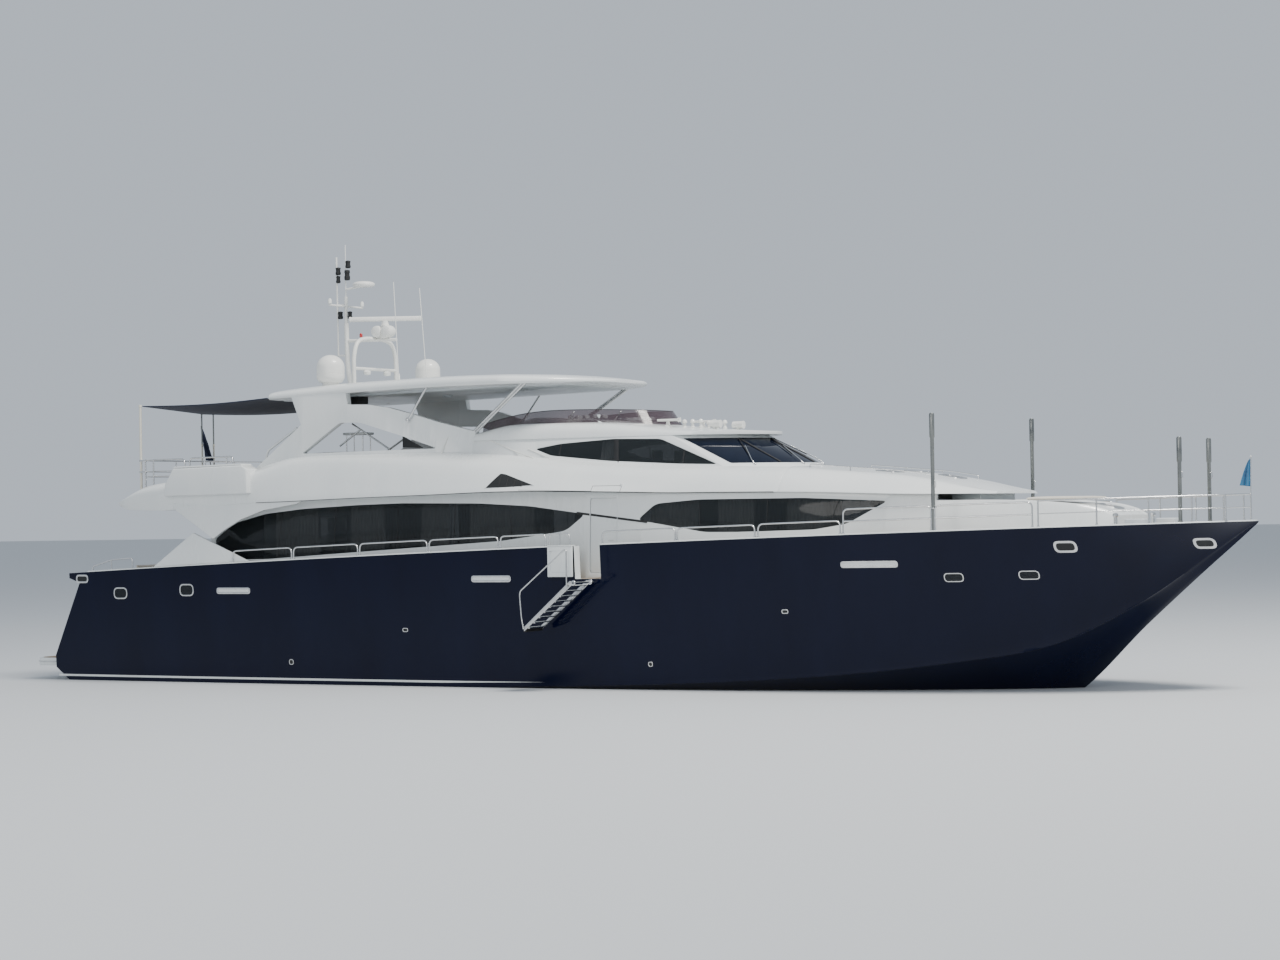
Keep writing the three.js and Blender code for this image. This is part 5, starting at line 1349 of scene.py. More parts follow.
# Columns: label, x, y, top height, heights of the clamps above the cap.
DECK_POLES = [("aft", 8.88, 2.99, 6.15, (0.008, 0.5)), ("fore", 13.81, 1.03, 5.52, (0.008,))]
for side, word in SIDES:
    for label, x, y, top, clamps in DECK_POLES:
        foot = sheer_z(x) + 0.005
        pole = turned(f"deck_pole_{label}_{word}", [
            (0.052, foot), (0.052, foot + 0.05), (0.044, foot + 0.055), (0.044, top - 0.55),
            (0.058, top - 0.53), (0.058, top - 0.03), (0.04, top),
        ], (x, side * y, 0), 20)
        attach(paint(pole, dark_pole_and_painted_shadow), "yacht")
        clamp_y = sorted((side * (y - 0.045), side * (rail_line(x) + 0.04)))
        for height in clamps:
            z = sheer_z(x) + height
            clamp_name = f"pole_clamp_{label}_{word}_{height:g}"
            clamp = block(clamp_name, (x - 0.04, clamp_y[0], z), (x + 0.04, clamp_y[1], z + 0.022))
            paint(soften(clamp, 0.006), polished_steel)
            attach(clamp, "yacht")
        hook = [
            (x + out, side * y, foot + rise)
            for out, rise in ((0.03, 0.95), (0.07, 0.97), (0.07, 1.1), (0.03, 1.12))
        ]
        tube(f"pole_cleat_{label}_{word}", [rounded_path(hook, 0.02)], 0.008, polished_steel)

# Pulpit
# Two polished steel rails on upright stanchions run from the last hoop round the stem, each foot
# in a round base. A short staff with a ball top stands at the stem and flies a plain pennant.
PULPIT_X = [11.12, 12.3, 13.3, 14.1, 14.7]
PULPIT_HEIGHT = 0.56
NOSE = (15.06, 0, sheer_z(15) + CAP_THICK)


def pulpit_path(height):
    nose = [(14.96, 0.16), (NOSE[0], 0), (14.96, -0.16)]
    port = [on_cap(x, 1, height) for x in PULPIT_X]
    starboard = [on_cap(x, -1, height) for x in reversed(PULPIT_X)]
    return rounded_path([*port, *[(x, y, NOSE[2] + height) for x, y in nose], *starboard], 0.2)


posts = [[on_cap(x, side), on_cap(x, side, PULPIT_HEIGHT)] for x in PULPIT_X for side in (1, -1)]
posts.append([(NOSE[0], 0, NOSE[2] - 0.01), (NOSE[0], 0, NOSE[2] + PULPIT_HEIGHT)])
pulpit = tube(
    "pulpit_rails", [pulpit_path(PULPIT_HEIGHT), *posts], RAIL_RADIUS, polished_steel,
)
tube("pulpit_middle_rail", [pulpit_path(PULPIT_HEIGHT / 2)], 0.012, polished_steel)
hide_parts("pulpit")
rail_base("pulpit_bases", [on_cap(x, side) for x in PULPIT_X for side in (1, -1)])
staff_foot = sheer_z(14.8) + CAP_THICK - 0.01
tube("bow_staff", [[(15.05, 0, staff_foot), (15.075, 0, 5.07)]], 0.012, polished_steel)
BALL = [(0.008, 5.055), (0.018, 5.06), (0.022, 5.072), (0.018, 5.084), (0.006, 5.09)]
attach(paint(turned("staff_truck", BALL, (15.075, 0, 0), 16), opal_lamp), "yacht")

pennant_blue = finish(
    "pennant_blue", (0.02, 0.2, 0.38), (0.012, 0.1, 0.24), (0.8, 0.95), (6, 1), (700, 0.0003),
    Sheen_Weight=0.3,
)


def thicken(cloth, thickness):
    """Gives a cloth that is drawn as one face its thickness."""
    change = cloth.modifiers.new("cloth_thickness", "SOLIDIFY")
    change.thickness = thickness
    apply_change(cloth, change)


deselect()
bpy.ops.mesh.primitive_grid_add(x_subdivisions=30, y_subdivisions=30, size=2)
pennant = bpy.context.object
pennant.name = "bow_pennant"
for vertex in pennant.data.vertices:
    along, down = (vertex.co.x + 1) / 2, (vertex.co.y + 1) / 2
    spread = 0.16 + 0.84 * down ** 0.8
    fold = 0.045 * math.sin(11 * along + 1.2 * down) * spread * min(along * 4, 1)
    vertex.co = (
        15.066 - 0.01 * down - 0.2 * along * spread, fold - 0.12 * along * spread,
        5.04 - 0.62 * down * (1 - 0.25 * along) - 0.13 * along * (0.4 + 0.6 * down),
    )
thicken(pennant, 0.002)
bpy.ops.object.shade_smooth()
paint(pennant, pennant_blue)
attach(pennant, "yacht")

# Window joints and curtains
# The long side windows are rows of bonded panes with thin dark joints between them, and pleated
# grey curtains hang a hand's breadth inside.
pleated_cloth = finish(
    "pleated_cloth", (0.74, 0.75, 0.74), (0.66, 0.67, 0.66), (0.85, 0.95), (4, 0.3), (500, 0.0004),
    Sheen_Weight=0.3,
)
# Black for joints, bars, blades and slats, also used as painted shade in the crease over the windows and
# under the overhang's lip.
black_sealant_and_painted_shade = finish("black_sealant_and_painted_shade", (0.008, 0.008, 0.009), (0.014, 0.014, 0.015), (0.45, 0.6), (8, 1))
# Columns: lower x, lower z, upper x, upper z.
SALOON_JOINTS = [
    (-9.0, 3.1, -8.85, 4.28), (-7.3, 3.19, -7.2, 4.37), (-5.4, 3.3, -5.35, 4.41),
    (-3.75, 3.39, -3.7, 4.4), (-2.1, 3.49, -2.15, 4.34),
]
CABIN_JOINTS = [(2.95, 3.63, 2.92, 4.36), (4.6, 3.6, 4.62, 4.36), (6.1, 3.69, 6.3, 4.32)]


PLEAT_WIDTH = 0.09
PLEAT_DEPTH = 0.022
CURTAIN_INSET = 0.2
CURTAIN_TOP_Z = 4.36


def wall_y(x, z, inset=0.0):
    """Half breadth of the deckhouse wall at a height."""
    _, low, high = wall_at(x)
    share = (z - deck_z(x)) / (roof_under_z(x) - deck_z(x))
    return low + (high - low) * share - inset


def curtain(name, x0, x1, low, high, side, face):
    """A pleated curtain between two heights, standing in the plane that face gives."""
    pleats = max(int((x1 - x0) / PLEAT_WIDTH), 4)
    deselect()
    bpy.ops.mesh.primitive_grid_add(x_subdivisions=pleats * 6, y_subdivisions=8, size=2)
    made = bpy.context.object
    made.name = name
    for vertex in made.data.vertices:
        along, up = (vertex.co.x + 1) / 2, (vertex.co.y + 1) / 2
        x = x0 + (x1 - x0) * along
        z = low + (high - low) * up
        turn = 2 * math.pi * pleats * along + 0.4 * math.sin(5 * along)
        fold = PLEAT_DEPTH * math.sin(turn) * (1 - 0.25 * up)
        vertex.co = (x, side * (face(x, z) + fold), z)
    thicken(made, 0.003)
    bpy.ops.object.shade_smooth()
    paint(made, pleated_cloth)
    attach(made, "yacht")


def bar_on(face, ends, side, half_in, half_out, sunk, proud):
    """A thin bar laid on a side face from one point to another, given as x and z."""
    low_x, low_z, high_x, high_z = ends
    loops = []
    for share in steps(0, 1, 6):
        x, z = low_x + (high_x - low_x) * share, low_z + (high_z - low_z) * share
        y = face(x, z)
        loops.append([
            (x - half_in, side * (y - sunk), z), (x + half_in, side * (y - sunk), z),
            (x + half_out, side * (y + proud), z), (x - half_out, side * (y + proud), z),
        ])
    return skin("bar", loops)


# The long window is dark at its after end: a near-black sheet behind the glass there is painted shade, for
# the shadow under the overhang.
WINDOW_END = (-11.2, -9.48)
lining = wall_skin("window_end_painted_shade", 0.032, 0.044, steps(*WINDOW_END, 24))
common(lining, side_cut("lining_edge", SALOON_WINDOW, 0.1))
paint(soften(lining, 0.002, 32), dark_paint_and_painted_shade)
for made in (lining, mirrored(lining, "window_end_painted_shade_starboard")):
    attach(made, "yacht")

for side, word in SIDES:
    for label, joints in (("saloon", SALOON_JOINTS), ("cabin", CABIN_JOINTS)):
        bars = [
            bar_on(lambda x, z: wall_y(x, z, 0.005), ends, side, 0.012, 0.008, 0.004, 0.003)
            for ends in joints
        ]
        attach(soften(as_one(f"{label}_joints_{word}", bars, black_sealant_and_painted_shade), 0, 40), "yacht")
    for label, low, spans in (
        ("saloon", 2.75, [(-9.2, -7.9), (-6.9, -5.9), (-4.8, -4.0), (-3.4, -1.6)]),
        ("cabin", 3.0, [(1.6, 2.8), (3.3, 4.2), (5.0, 5.9)]),
    ):
        for count, (x0, x1) in enumerate(spans):
            curtain(
                f"{label}_curtain_{word}_{count}", x0, x1, low, CURTAIN_TOP_Z, side,
                lambda x, z: wall_y(x, z, CURTAIN_INSET),
            )

# Pilothouse glazing bars and wipers
# Two thin bars and a thick one, all dark, divide each side window; four panes make the windscreen,
# with a wiper on each.
# Columns: lower x, lower z, upper x, upper z, width.
PILOT_BARS = [(-1.02, 5.37, -1.0, 5.74, 0.03), (0.52, 5.27, 0.42, 5.81, 0.12), (2.2, 5.19, 2.2, 5.53, 0.035)]
for side, word in SIDES:
    bars = [
        bar_on(lambda x, z: pilot_y(x, z, 0.007), ends, side, width / 2, width / 2, 0.02, 0.004)
        for *ends, width in PILOT_BARS
    ]
    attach(soften(as_one("pilothouse_bars_" + word, bars, black_sealant_and_painted_shade), 0.003, 40), "yacht")
    curtain(f"pilothouse_curtain_{word}", 0.0, 0.36, 4.85, 5.8, side, lambda x, z: pilot_y(x, z, 0.16))


def on_screen(share, rise, out=0.0):
    """A point of the windscreen; share runs from the port corner, 1, to the starboard one, -1."""
    z = 5.19 + 0.61 * rise
    corner, middle = screen_ends(z)
    x = middle - (middle - corner) * share ** 2
    return Vector((x + out * 0.45, pilot_y(corner, z) * share, z + out * 0.85))


screen_bars = [[on_screen(share, rise) for rise in steps(0.02, 0.98, 8)] for share in (-0.5, 0, 0.5)]
tube("windscreen_bars", screen_bars, 0.022, black_sealant_and_painted_shade)
# Columns: where the wiper's foot stands across the screen, how far it leans from there.
WIPERS = [(-0.76, 0.16), (-0.27, 0.16), (0.27, -0.16), (0.76, -0.16)]
wiper_paths = []
wiper_blades = []
for middle, lean in WIPERS:
    foot = on_screen(middle, -0.04, 0.02)
    tip = on_screen(middle + lean, 0.62, 0.05)
    wiper_paths.append(rounded_path([foot, on_screen(middle, 0.03, 0.05), tip], 0.05))
    wiper_blades.append(
        [on_screen(middle + lean * 0.45, 0.3, 0.025), on_screen(middle + lean * 1.5, 0.95, 0.025)]
    )
tube("wiper_arms", wiper_paths, 0.009, polished_steel)
tube("wiper_blades", wiper_blades, 0.011, black_sealant_and_painted_shade)
WIPER_FOOT = [(0.03, -0.01), (0.03, 0.02), (0.018, 0.035), (0.01, 0.04)]
bases = [turned("wiper_base", WIPER_FOOT, on_screen(middle, -0.06), 16) for middle, _ in WIPERS]
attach(as_one("wiper_bases", bases, polished_steel), "yacht")

# Seams and vents of the upper moulding
# A triangular engine-room intake with slats on each side, whose near-black face is painted shade
# inside the opening; a black strip under the overhang's lip and a black strip along the crease over the
# side windows, both painted shade; and the seams of the access door in the overhang.
VENT_OUTLINE = [(-2.52, 4.72), (-2.19, 5.07), (-2.05, 5.05), (-1.2, 4.76)]


def upper_y(x, z):
    """Half breadth of the upper moulding's side at a height."""
    side = upper_side(x)
    for (y0, z0), (y1, z1) in zip(side, side[1:]):
        if z <= z1:
            return y0 + (y1 - y0) * max((z - z0) / max(z1 - z0, 1e-6), 0)
    return upper_at(x)[5]


def laid_on(piece, face, side):
    """Lays a piece drawn in x and z, standing out along y, onto a side face."""
    for vertex in piece.data.vertices:
        x, out, z = vertex.co
        vertex.co = (x, side * (face(x, z) + out), z)
    return face_outwards(piece)


def flat_panel(name, outline, low, high, cuts=10):
    """A plate drawn in x and z, divided finely enough to follow a curved face."""
    return divided(prism(name, outline, low, high), cuts, 4)


def on_upper(x, z, side, proud):
    """A point on the upper moulding's side, or a little proud of it."""
    return x, side * (upper_y(x, z) + proud), z


# Columns: lower x, lower z, upper x, upper z of each seam.
ACCESS_SEAMS = [(0.27, 4.72, 0.99, 4.72), (-1.6, 4.66, 0.27, 4.6)]
KNOB = [(0.03, 4.7), (0.035, 4.73), (0.03, 4.76), (0.01, 4.775)]
for side, word in SIDES:
    # The intake's near-black face is painted shade inside the opening.
    vent = flat_panel("engine_intake_" + word, eased(VENT_OUTLINE, 0.04), -0.03, 0.004)
    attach(soften(paint(laid_on(vent, upper_y, side), dark_paint_and_painted_shade), 0, 40), "yacht")
    rim = eased(VENT_OUTLINE + VENT_OUTLINE[:1], 0.04)[3:]
    tube("engine_intake_trim_" + word, [[on_upper(x, z, side, 0.004) for x, z in rim]], 0.009, white_gelcoat)
    slats = []
    for x in (-2.15, -1.95, -1.75, -1.55):
        top = 5.05 - (x + 2.1) * 0.32
        slats.append([on_upper(x, z, side, 0.004) for z in steps(4.74, top - 0.03, 4)])
    tube("engine_intake_slats_" + word, slats, 0.008, black_sealant_and_painted_shade)
    # A black strip just under the overhang's lip: painted shade there.
    lip_shade_line = [(x, side * (upper_at(x)[1] - 0.012), upper_at(x)[2] - 0.001) for x in steps(-9.2, 4.8, 90)]
    tube("overhang_lip_shade_" + word, [lip_shade_line], 0.012, black_sealant_and_painted_shade)
    # A black strip along the crease over the side windows: painted shade in the crease.
    for label, x0, x1, inset, body in (
        ("aft", -0.3, 0.05, 0, "yacht"),
        ("door", 0.075, 0.785, 0.018, f"side_door_{word}_body"),
        ("fore", 0.812, 1.6, 0, "yacht"),
    ):
        strip = flat_panel(f"window_crease_{label}_{word}", [
            (x, 4.07 - 0.126 * (x + 0.06) + half)
            for x, half in ((x0, 0.026), (x1, 0.026), (x1, -0.026), (x0, -0.026))
        ], -0.004, 0.006, 6)
        laid_on(strip, lambda x, z: wall_y(x, z, inset), side)
        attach(soften(paint(strip, black_sealant_and_painted_shade), 0, 40), body)
    door_seams = [[on_upper(x, z, side, 0.001) for z in steps(4.58, 4.72, 8)] for x in (0.27, 0.99)]
    for x0, z0, x1, z1 in ACCESS_SEAMS:
        door_seams.append([
            on_upper(x0 + (x1 - x0) * t, z0 + (z1 - z0) * t, side, 0.001) for t in steps(0, 1, 12)
        ])
    tube("overhang_door_seams_" + word, door_seams, 0.0045, black_sealant_and_painted_shade)
    knob = turned("overhang_knob_" + word, KNOB, (0.98, side * (upper_y(0.98, 4.74) + 0.01), 0), 16)
    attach(paint(knob, white_gelcoat), "yacht")

# Lids of the side boxes
# Each locker box on the flybridge's coaming has a white moulded lid, bevelled at its after corner
# and hinged along the inner edge.
LID_OUTLINE = [(-11.66, 5.4), (-11.6, 5.44), (-9.52, 5.47), (-9.5, 5.43)]
for side, word in SIDES:
    lid = prism("side_box_lid_" + word, LID_OUTLINE, *sorted((side * 2.98, side * 3.42)))
    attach(soften(paint(lid, white_gelcoat), 0.012, 30, 3), "yacht")

# Side doors
# A white weathertight leaf on each side deck, flush with the wall and hinged at its after edge,
# with a grey seal round it and a lever handle.
LEAF_OUTLINE = [(0.068, 2.698), (0.792, 2.698), (0.792, 4.432), (0.068, 4.432)]
SEAL_LINE = [(0.061, 2.75), (0.061, 4.439), (0.799, 4.439), (0.799, 2.75)]
LEVER_Z = 3.45
for side, word in SIDES:
    body = f"side_door_{word}_body"
    leaf = wall_skin("side_door_leaf_" + word, 0.018, 0.047, steps(-0.4, 1.4, 36))
    common(leaf, prism("leaf_edge", eased(LEAF_OUTLINE, 0.07), *ONE_SIDE))
    if side < 0:
        starboard_leaf = mirrored(leaf, leaf.name)
        bpy.data.objects.remove(leaf)
        leaf = starboard_leaf
        leaf.name = "side_door_leaf_" + word
    paint(soften(leaf, 0.006, 35), white_gelcoat)
    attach(leaf, body)
    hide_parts("side_door_" + word)
    seal = [(x, side * wall_y(x, z, 0.006), z) for x, z in eased(SEAL_LINE, 0.06)]
    tube("side_door_seal_" + word, [seal], 0.0075, grey_gelcoat)
    tube("side_door_lever_" + word, [rounded_path([
        (0.7, side * wall_y(0.7, LEVER_Z, 0.02), LEVER_Z),
        (0.7, side * (wall_y(0.7, LEVER_Z) + 0.03), LEVER_Z),
        (0.58, side * (wall_y(0.6, LEVER_Z) + 0.03), LEVER_Z),
    ], 0.02)], 0.009, polished_steel, body)

# Wind deflector
# A curved screen of smoky purple acrylic round the front of the flybridge, on the pilothouse
# roof, with a slim dark edging and steel braces behind it.
# Columns: x and height of the screen's upper edge, as seen from the side.
DEFLECTOR_LINE = [(-3.4, 6.27), (-2.87, 6.4), (-2.16, 6.52), (-1.2, 6.57), (0.2, 6.55), (1.1, 6.5)]
deflector_top_at = fair(DEFLECTOR_LINE)


def deflector_plan(z, inset=0.0):
    """The screen's outline at a height: straight sides and a bowed front."""
    rise = (z - 6.2) / 0.35
    middle, straight, half = 0.95 - 0.26 * rise - inset, -1.5, 1.9 - 0.09 * rise - inset
    side = [(x, half, z) for x in steps(-3.35, straight, 14)]
    front = [(middle - (middle - straight) * share ** 2.4, half * share, z) for share in steps(1, 0, 24)[1:]]
    port = side + front
    return port + [(x, -y, height) for x, y, height in reversed(port[:-1])]


deflector = skin("deflector_screen", [deflector_plan(z) for z in (5.95, 6.57)])
cut(deflector, skin("deflector_inside", [deflector_plan(z, 0.014) for z in (5.9, 6.62)]))
deflector_side = [(-3.4, 5.95), *[deflector_top_at(x) for x in steps(-3.4, 1.1, 24)], (1.1, 5.95)]
common(deflector, prism("deflector_profile", deflector_side, -2.5, 2.5))
cut(deflector, block("deflector_open_end", (-3.5, -1.7, 5.9), (-3.3, 1.7, 6.7)))
soften(paint(deflector, tinted_acrylic), 0, 30)
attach(deflector, "yacht")
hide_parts("wind_deflector")


def deflector_edge(share, drop=0.0):
    """A point on the screen's upper edge; share runs from port, 1, over the bow to starboard, -1."""
    z = 6.5
    for _ in range(3):
        plan = deflector_plan(z - drop, 0.007)
        count = len(plan) - 1
        place = plan[round((1 - share) / 2 * count)]
        z = deflector_top_at(min(max(place[0], -3.4), 1.1))[1]
    return Vector((place[0], place[1], z - drop))


tube("deflector_edge", [[deflector_edge(share) for share in steps(1, -1, 76)]], 0.009, black_sealant_and_painted_shade)
braces = []
for side in (-1, 1):
    for x, y, low in ((-2.2, 1.75, 6.22), (-0.9, 1.7, 6.25), (0.1, 1.2, 6.2)):
        head = (x, side * (y + 0.02), deflector_top_at(x)[1] - 0.05)
        braces.append([head, (x - 0.45, side * (y - 0.28), low)])
tube("deflector_braces", braces, 0.012, polished_steel)

# Flybridge console
# A white moulded console behind the deflector, with a slatted grey shelf for the instruments at
# each end.
CONSOLE_OUTLINE = [
    (-2.7, 6.1), (-2.55, 6.33), (-2.2, 6.42), (-1.5, 6.4), (-0.4, 6.3), (-0.2, 6.2), (-0.2, 6.1),
]
fly_console = prism("flybridge_console", eased(CONSOLE_OUTLINE, 0.06), -1.45, 1.45)
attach(soften(paint(fly_console, white_gelcoat), 0.03, 35, 3), "yacht")
louvres = []
for side in (-1, 1):
    low, high = sorted((side * 1.02, side * 1.42))
    for count in range(5):
        x = -1.25 + 0.2 * count
        louvres.append(block("slat", (x, low, 6.36), (x + 0.08, high, 6.44)))
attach(soften(as_one("instrument_slats", louvres, grey_gelcoat), 0.008), "yacht")

# Hardtop struts, domes and underside
# Steel tubes brace the hardtop to the pilothouse roof and the arches. Its underside has a sunken
# lining with lamps, a folded screen and a speaker, and two satellite domes stand on top.
STRUT_FOOT = [(0.06, -0.03), (0.06, 0.015), (0.045, 0.03), (0.034, 0.05)]
for side, word in SIDES:
    paths = [[(-3.61 + shift, side * 2.11, 6.02), (-1.86 + shift, side * 2.5, 7.23)] for shift in (0, 0.095)]
    paths.append([(-5.06, side * 2.64, 6.4), (-4.44, side * 2.69, 7.23)])
    tube("hardtop_struts_" + word, paths, 0.03, polished_steel)
    places = ((-3.6, side * 2.11, 6.04), (-3.505, side * 2.11, 6.04), (-5.05, side * 2.64, 6.44))
    feet = [turned("strut_foot", STRUT_FOOT, place, 18) for place in places]
    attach(as_one("strut_feet_" + word, feet, polished_steel), "yacht")

dome_shell = finish(
    "dome_shell", (0.84, 0.84, 0.8), (0.78, 0.78, 0.75), (0.3, 0.42), (2, 1), (40, 0.0004), Coat_Weight=0.15,
)
# Columns: share of the dome's radius, height above the base.
DOME_FOOT = [
    (0.62, 0), (0.6, 0.14), (0.8, 0.16), (0.97, 0.24), (1, 0.3), (1, 0.36), (0.985, 0.365), (0.985, 0.375),
    (1, 0.38),
]
# Columns: x, y, radius, top height.
for x, y, radius, top in ((-7.83, -1.9, 0.35, 8.16), (-7.42, 1.9, 0.325, 8.19)):
    base = hardtop_at(x)[3] - 0.12
    wall_top = top - radius * 0.9
    profile = [(radius * share, base + rise) for share, rise in DOME_FOOT]
    for turn in steps(0, 86, 12):
        angle = math.radians(turn)
        profile.append((radius * math.cos(angle), wall_top + radius * 0.9 * math.sin(angle)))
    dome = paint(turned(f"satellite_dome_{x:g}", profile, (x, y, 0), 40), dome_shell)
    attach(dome, "yacht")

lining_outline = [(-9.1, -2.3), (-2.3, -2.2), (-1.2, -1.5), (-1.2, 1.5), (-2.3, 2.2), (-9.1, 2.3)]
lining = prism("hardtop_lining", eased(lining_outline, 0.25), 7.05, 7.2, "xy")
for vertex in lining.data.vertices:
    vertex.co.z = hardtop_at(vertex.co.x)[1] - (0.022 if vertex.co.z < 7.1 else -0.05)
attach(soften(paint(lining, grey_gelcoat), 0.008, 30), "yacht")
ROOF_LAMP = [(0.055, -0.022), (0.05, -0.03), (0.04, -0.033), (0.01, -0.034)]
lamps = [
    turned("lamp", ROOF_LAMP, (x, y, hardtop_at(x)[1]), 20)
    for x in (-8.4, -7.0, -5.6, -4.2, -2.8) for y in (-1.5, 0, 1.5)
]
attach(as_one("hardtop_lamps", lamps, opal_lamp), "yacht")
screen_box = block("folded_screen", (-7.5, -2.2, 6.9), (-6.8, -1.75, 7.08))
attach(soften(paint(screen_box, dark_paint_and_painted_shade), 0.02, 35, 3), "yacht")
speaker = turned(
    "hardtop_speaker", [(0.13, 0.16), (0.13, 0.1), (0.1, 0.03), (0.04, 0.0)], (-5.26, -0.5, 7.02), 24,
)
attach(paint(speaker, grey_gelcoat), "yacht")

# Mast
# A white welded mast with a yard, a lamp pole, a small radome and a hoop that carries the radar
# pedestal; whips stand beside it.
MAST_X = -8.65
HOOP_X = -7.78
HOOP_HALF = 0.95
mast = tube(
    "mast_column", [rounded_path([(-8.52, 0, 7.36), (-8.63, 0, 7.98), (MAST_X, 0, 9.09)], 0.3)], 0.064,
    dome_shell,
)
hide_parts("mast")
mast_foot = turned("mast_foot", [(0.2, 7.28), (0.19, 7.4), (0.11, 7.46), (0.09, 7.5)], (-8.52, 0, 0), 28)
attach(paint(mast_foot, dome_shell), "yacht")
tube("mast_top", [[(MAST_X, 0, 9.05), (MAST_X, 0, 9.77)]], 0.046, dome_shell)
tube("mast_spars", [
    [(-8.91, 0, 8.24), (-8.93, 0, 10.8)], [(MAST_X, 0, 8.26), (-8.92, 0, 8.26)],
    [(MAST_X, 0, 9.56), (-8.95, 0, 9.56)], [(MAST_X, -0.74, 9.52), (MAST_X, 0.74, 9.52)],
    [(MAST_X, 0, 9.96), (-8.13, 0, 10.01)],
], 0.025, dome_shell)
tube("mast_whip", [[(MAST_X, 0, 9.7), (MAST_X, 0, 11.1)]], 0.012, dome_shell)
radome = turned("mast_radome", [
    (0.2, 9.99), (0.27, 10.01), (0.288, 10.05), (0.283, 10.075), (0.24, 10.11), (0.16, 10.13), (0.05, 10.14),
], (-8.09, 0, 0), 36)
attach(paint(radome, dome_shell), "yacht")
hoop_foot = hardtop_at(HOOP_X)[3] - 0.03
half_hoop = [(HOOP_HALF, hoop_foot), (HOOP_HALF, 8.2), (0.78, 8.56), (0.4, 8.64)]
hoop = [(HOOP_X, -y, z) for y, z in half_hoop] + [(HOOP_X, y, z) for y, z in reversed(half_hoop)]
tube("radar_hoop", [rounded_path(hoop, 0.3)], 0.055, dome_shell)
tube("radar_hoop_bars", [
    [(HOOP_X, -HOOP_HALF, 7.86), (HOOP_X, HOOP_HALF, 7.86)], [(MAST_X, 0, 8.63), (-7.11, 0, 8.6)],
], 0.042, dome_shell)
SCANNER_X = -7.45
DRUM = [(0.1, -0.16), (0.14, -0.14), (0.155, -0.08), (0.155, 0.08), (0.14, 0.14), (0.1, 0.16)]


def laid_over(piece, place, axis, angle=math.pi / 2):
    """Turns a piece that is made about the origin, then carries it to its place."""
    piece.data.transform(Matrix.Translation(place) @ Matrix.Rotation(angle, 4, axis))
    return piece


pedestal = turned(
    "radar_pedestal", [(0.1, 8.64), (0.12, 8.7), (0.11, 8.9), (0.11, 8.945)], (SCANNER_X, 0, 0), 32,
)
for x in (-7.65, -7.36):
    join(pedestal, laid_over(turned("drum", DRUM, (0, 0, 0), 32), (x, 0, 8.82), "X"))
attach(paint(pedestal, dome_shell), "yacht")
# Columns: x, lower height, upper height, radius.
MAST_LAMPS = [
    (-8.88, 10.34, 10.54, 0.07), (-8.88, 10.13, 10.32, 0.06), (-8.83, 9.2, 9.4, 0.07),
    (-8.57, 10.5, 10.7, 0.07), (-8.6, 10.19, 10.46, 0.075), (-8.53, 9.19, 9.39, 0.06),
]
mast_lamps = []
for x, low, high, radius in MAST_LAMPS:
    middle = (low + high) / 2
    mast_lamps.append(turned("lamp", [
        (radius * 0.7, low), (radius, low + 0.02), (radius, middle - 0.03), (radius * 0.85, middle - 0.02),
        (radius * 0.85, middle + 0.05), (radius, middle + 0.06), (radius * 0.9, high - 0.01),
        (radius * 0.3, high),
    ], (x, 0, 0), 20))
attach(as_one("mast_lamps", mast_lamps, dark_paint_and_painted_shade), "yacht")
YARD_LAMP = [(0.04, 9.55), (0.05, 9.56), (0.05, 9.64), (0.035, 9.68), (0.01, 9.69)]
FLOODLIGHT = [(0.03, 7.7), (0.09, 7.72), (0.1, 7.78), (0.06, 7.83), (0.02, 7.84)]
yard_lamps = [turned("lamp", YARD_LAMP, (MAST_X, y, 0), 18) for y in (-0.72, 0.72)]
yard_lamps += [turned("lamp", FLOODLIGHT, (-7.72, y, 0), 20) for y in (-0.45, 0.45)]
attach(as_one("yard_lamps", yard_lamps, opal_lamp), "yacht")
red_glass = finish(
    "red_glass", (0.5, 0.02, 0.02), (0.4, 0.015, 0.015), (0.1, 0.2), (10, 1), None, Coat_Weight=0.4,
)
red_lamp = turned(
    "red_lamp", [(0.03, 8.7), (0.04, 8.71), (0.04, 8.78), (0.02, 8.81), (0.006, 8.815)], (-8.2, 0, 0), 18,
)
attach(paint(red_lamp, red_glass), "yacht")
WHIPS = [[(-6.79, 0.9, 7.42), (-6.98, 0.9, 9.96)], [(-6.45, -0.9, 7.43), (-6.57, -0.9, 9.98)]]
WHIP_FOOT = [(0.05, 7.36), (0.05, 7.46), (0.03, 7.5), (0.02, 7.66), (0.012, 7.68)]
tube("whip_aerials", WHIPS, 0.011, dome_shell)
whip_bases = [turned("whip_base", WHIP_FOOT, (x, y, 0), 18) for (x, y, _), _ in WHIPS]
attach(as_one("whip_bases", whip_bases, dome_shell), "yacht")

# Radar scanner
# A long white moulded bar with rounded ends, on a hub that turns on the pedestal. It stands
# across the yacht, with one end towards the camera.
scanner = block("scanner_bar", (-0.06, -0.92, 9.08), (0.06, 0.92, 9.2))
soften(scanner, 0.035, 35, 4)
HUB = [(0.1, 8.956), (0.11, 8.97), (0.1, 9.0), (0.085, 9.06), (0.085, 9.1)]
join(scanner, turned("scanner_hub", HUB, (0, 0, 0), 28))
for end in (-1, 1):
    low, high = sorted((end * 0.86, end * 0.925))
    join(scanner, soften(block("scanner_end", (-0.065, low, 9.075), (0.065, high, 9.205)), 0.03, 35, 3))
laid_over(paint(scanner, dome_shell), (SCANNER_X, 0, 0), "Z", math.radians(-62))
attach(scanner, "scanner_body")
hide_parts("radar_scanner")

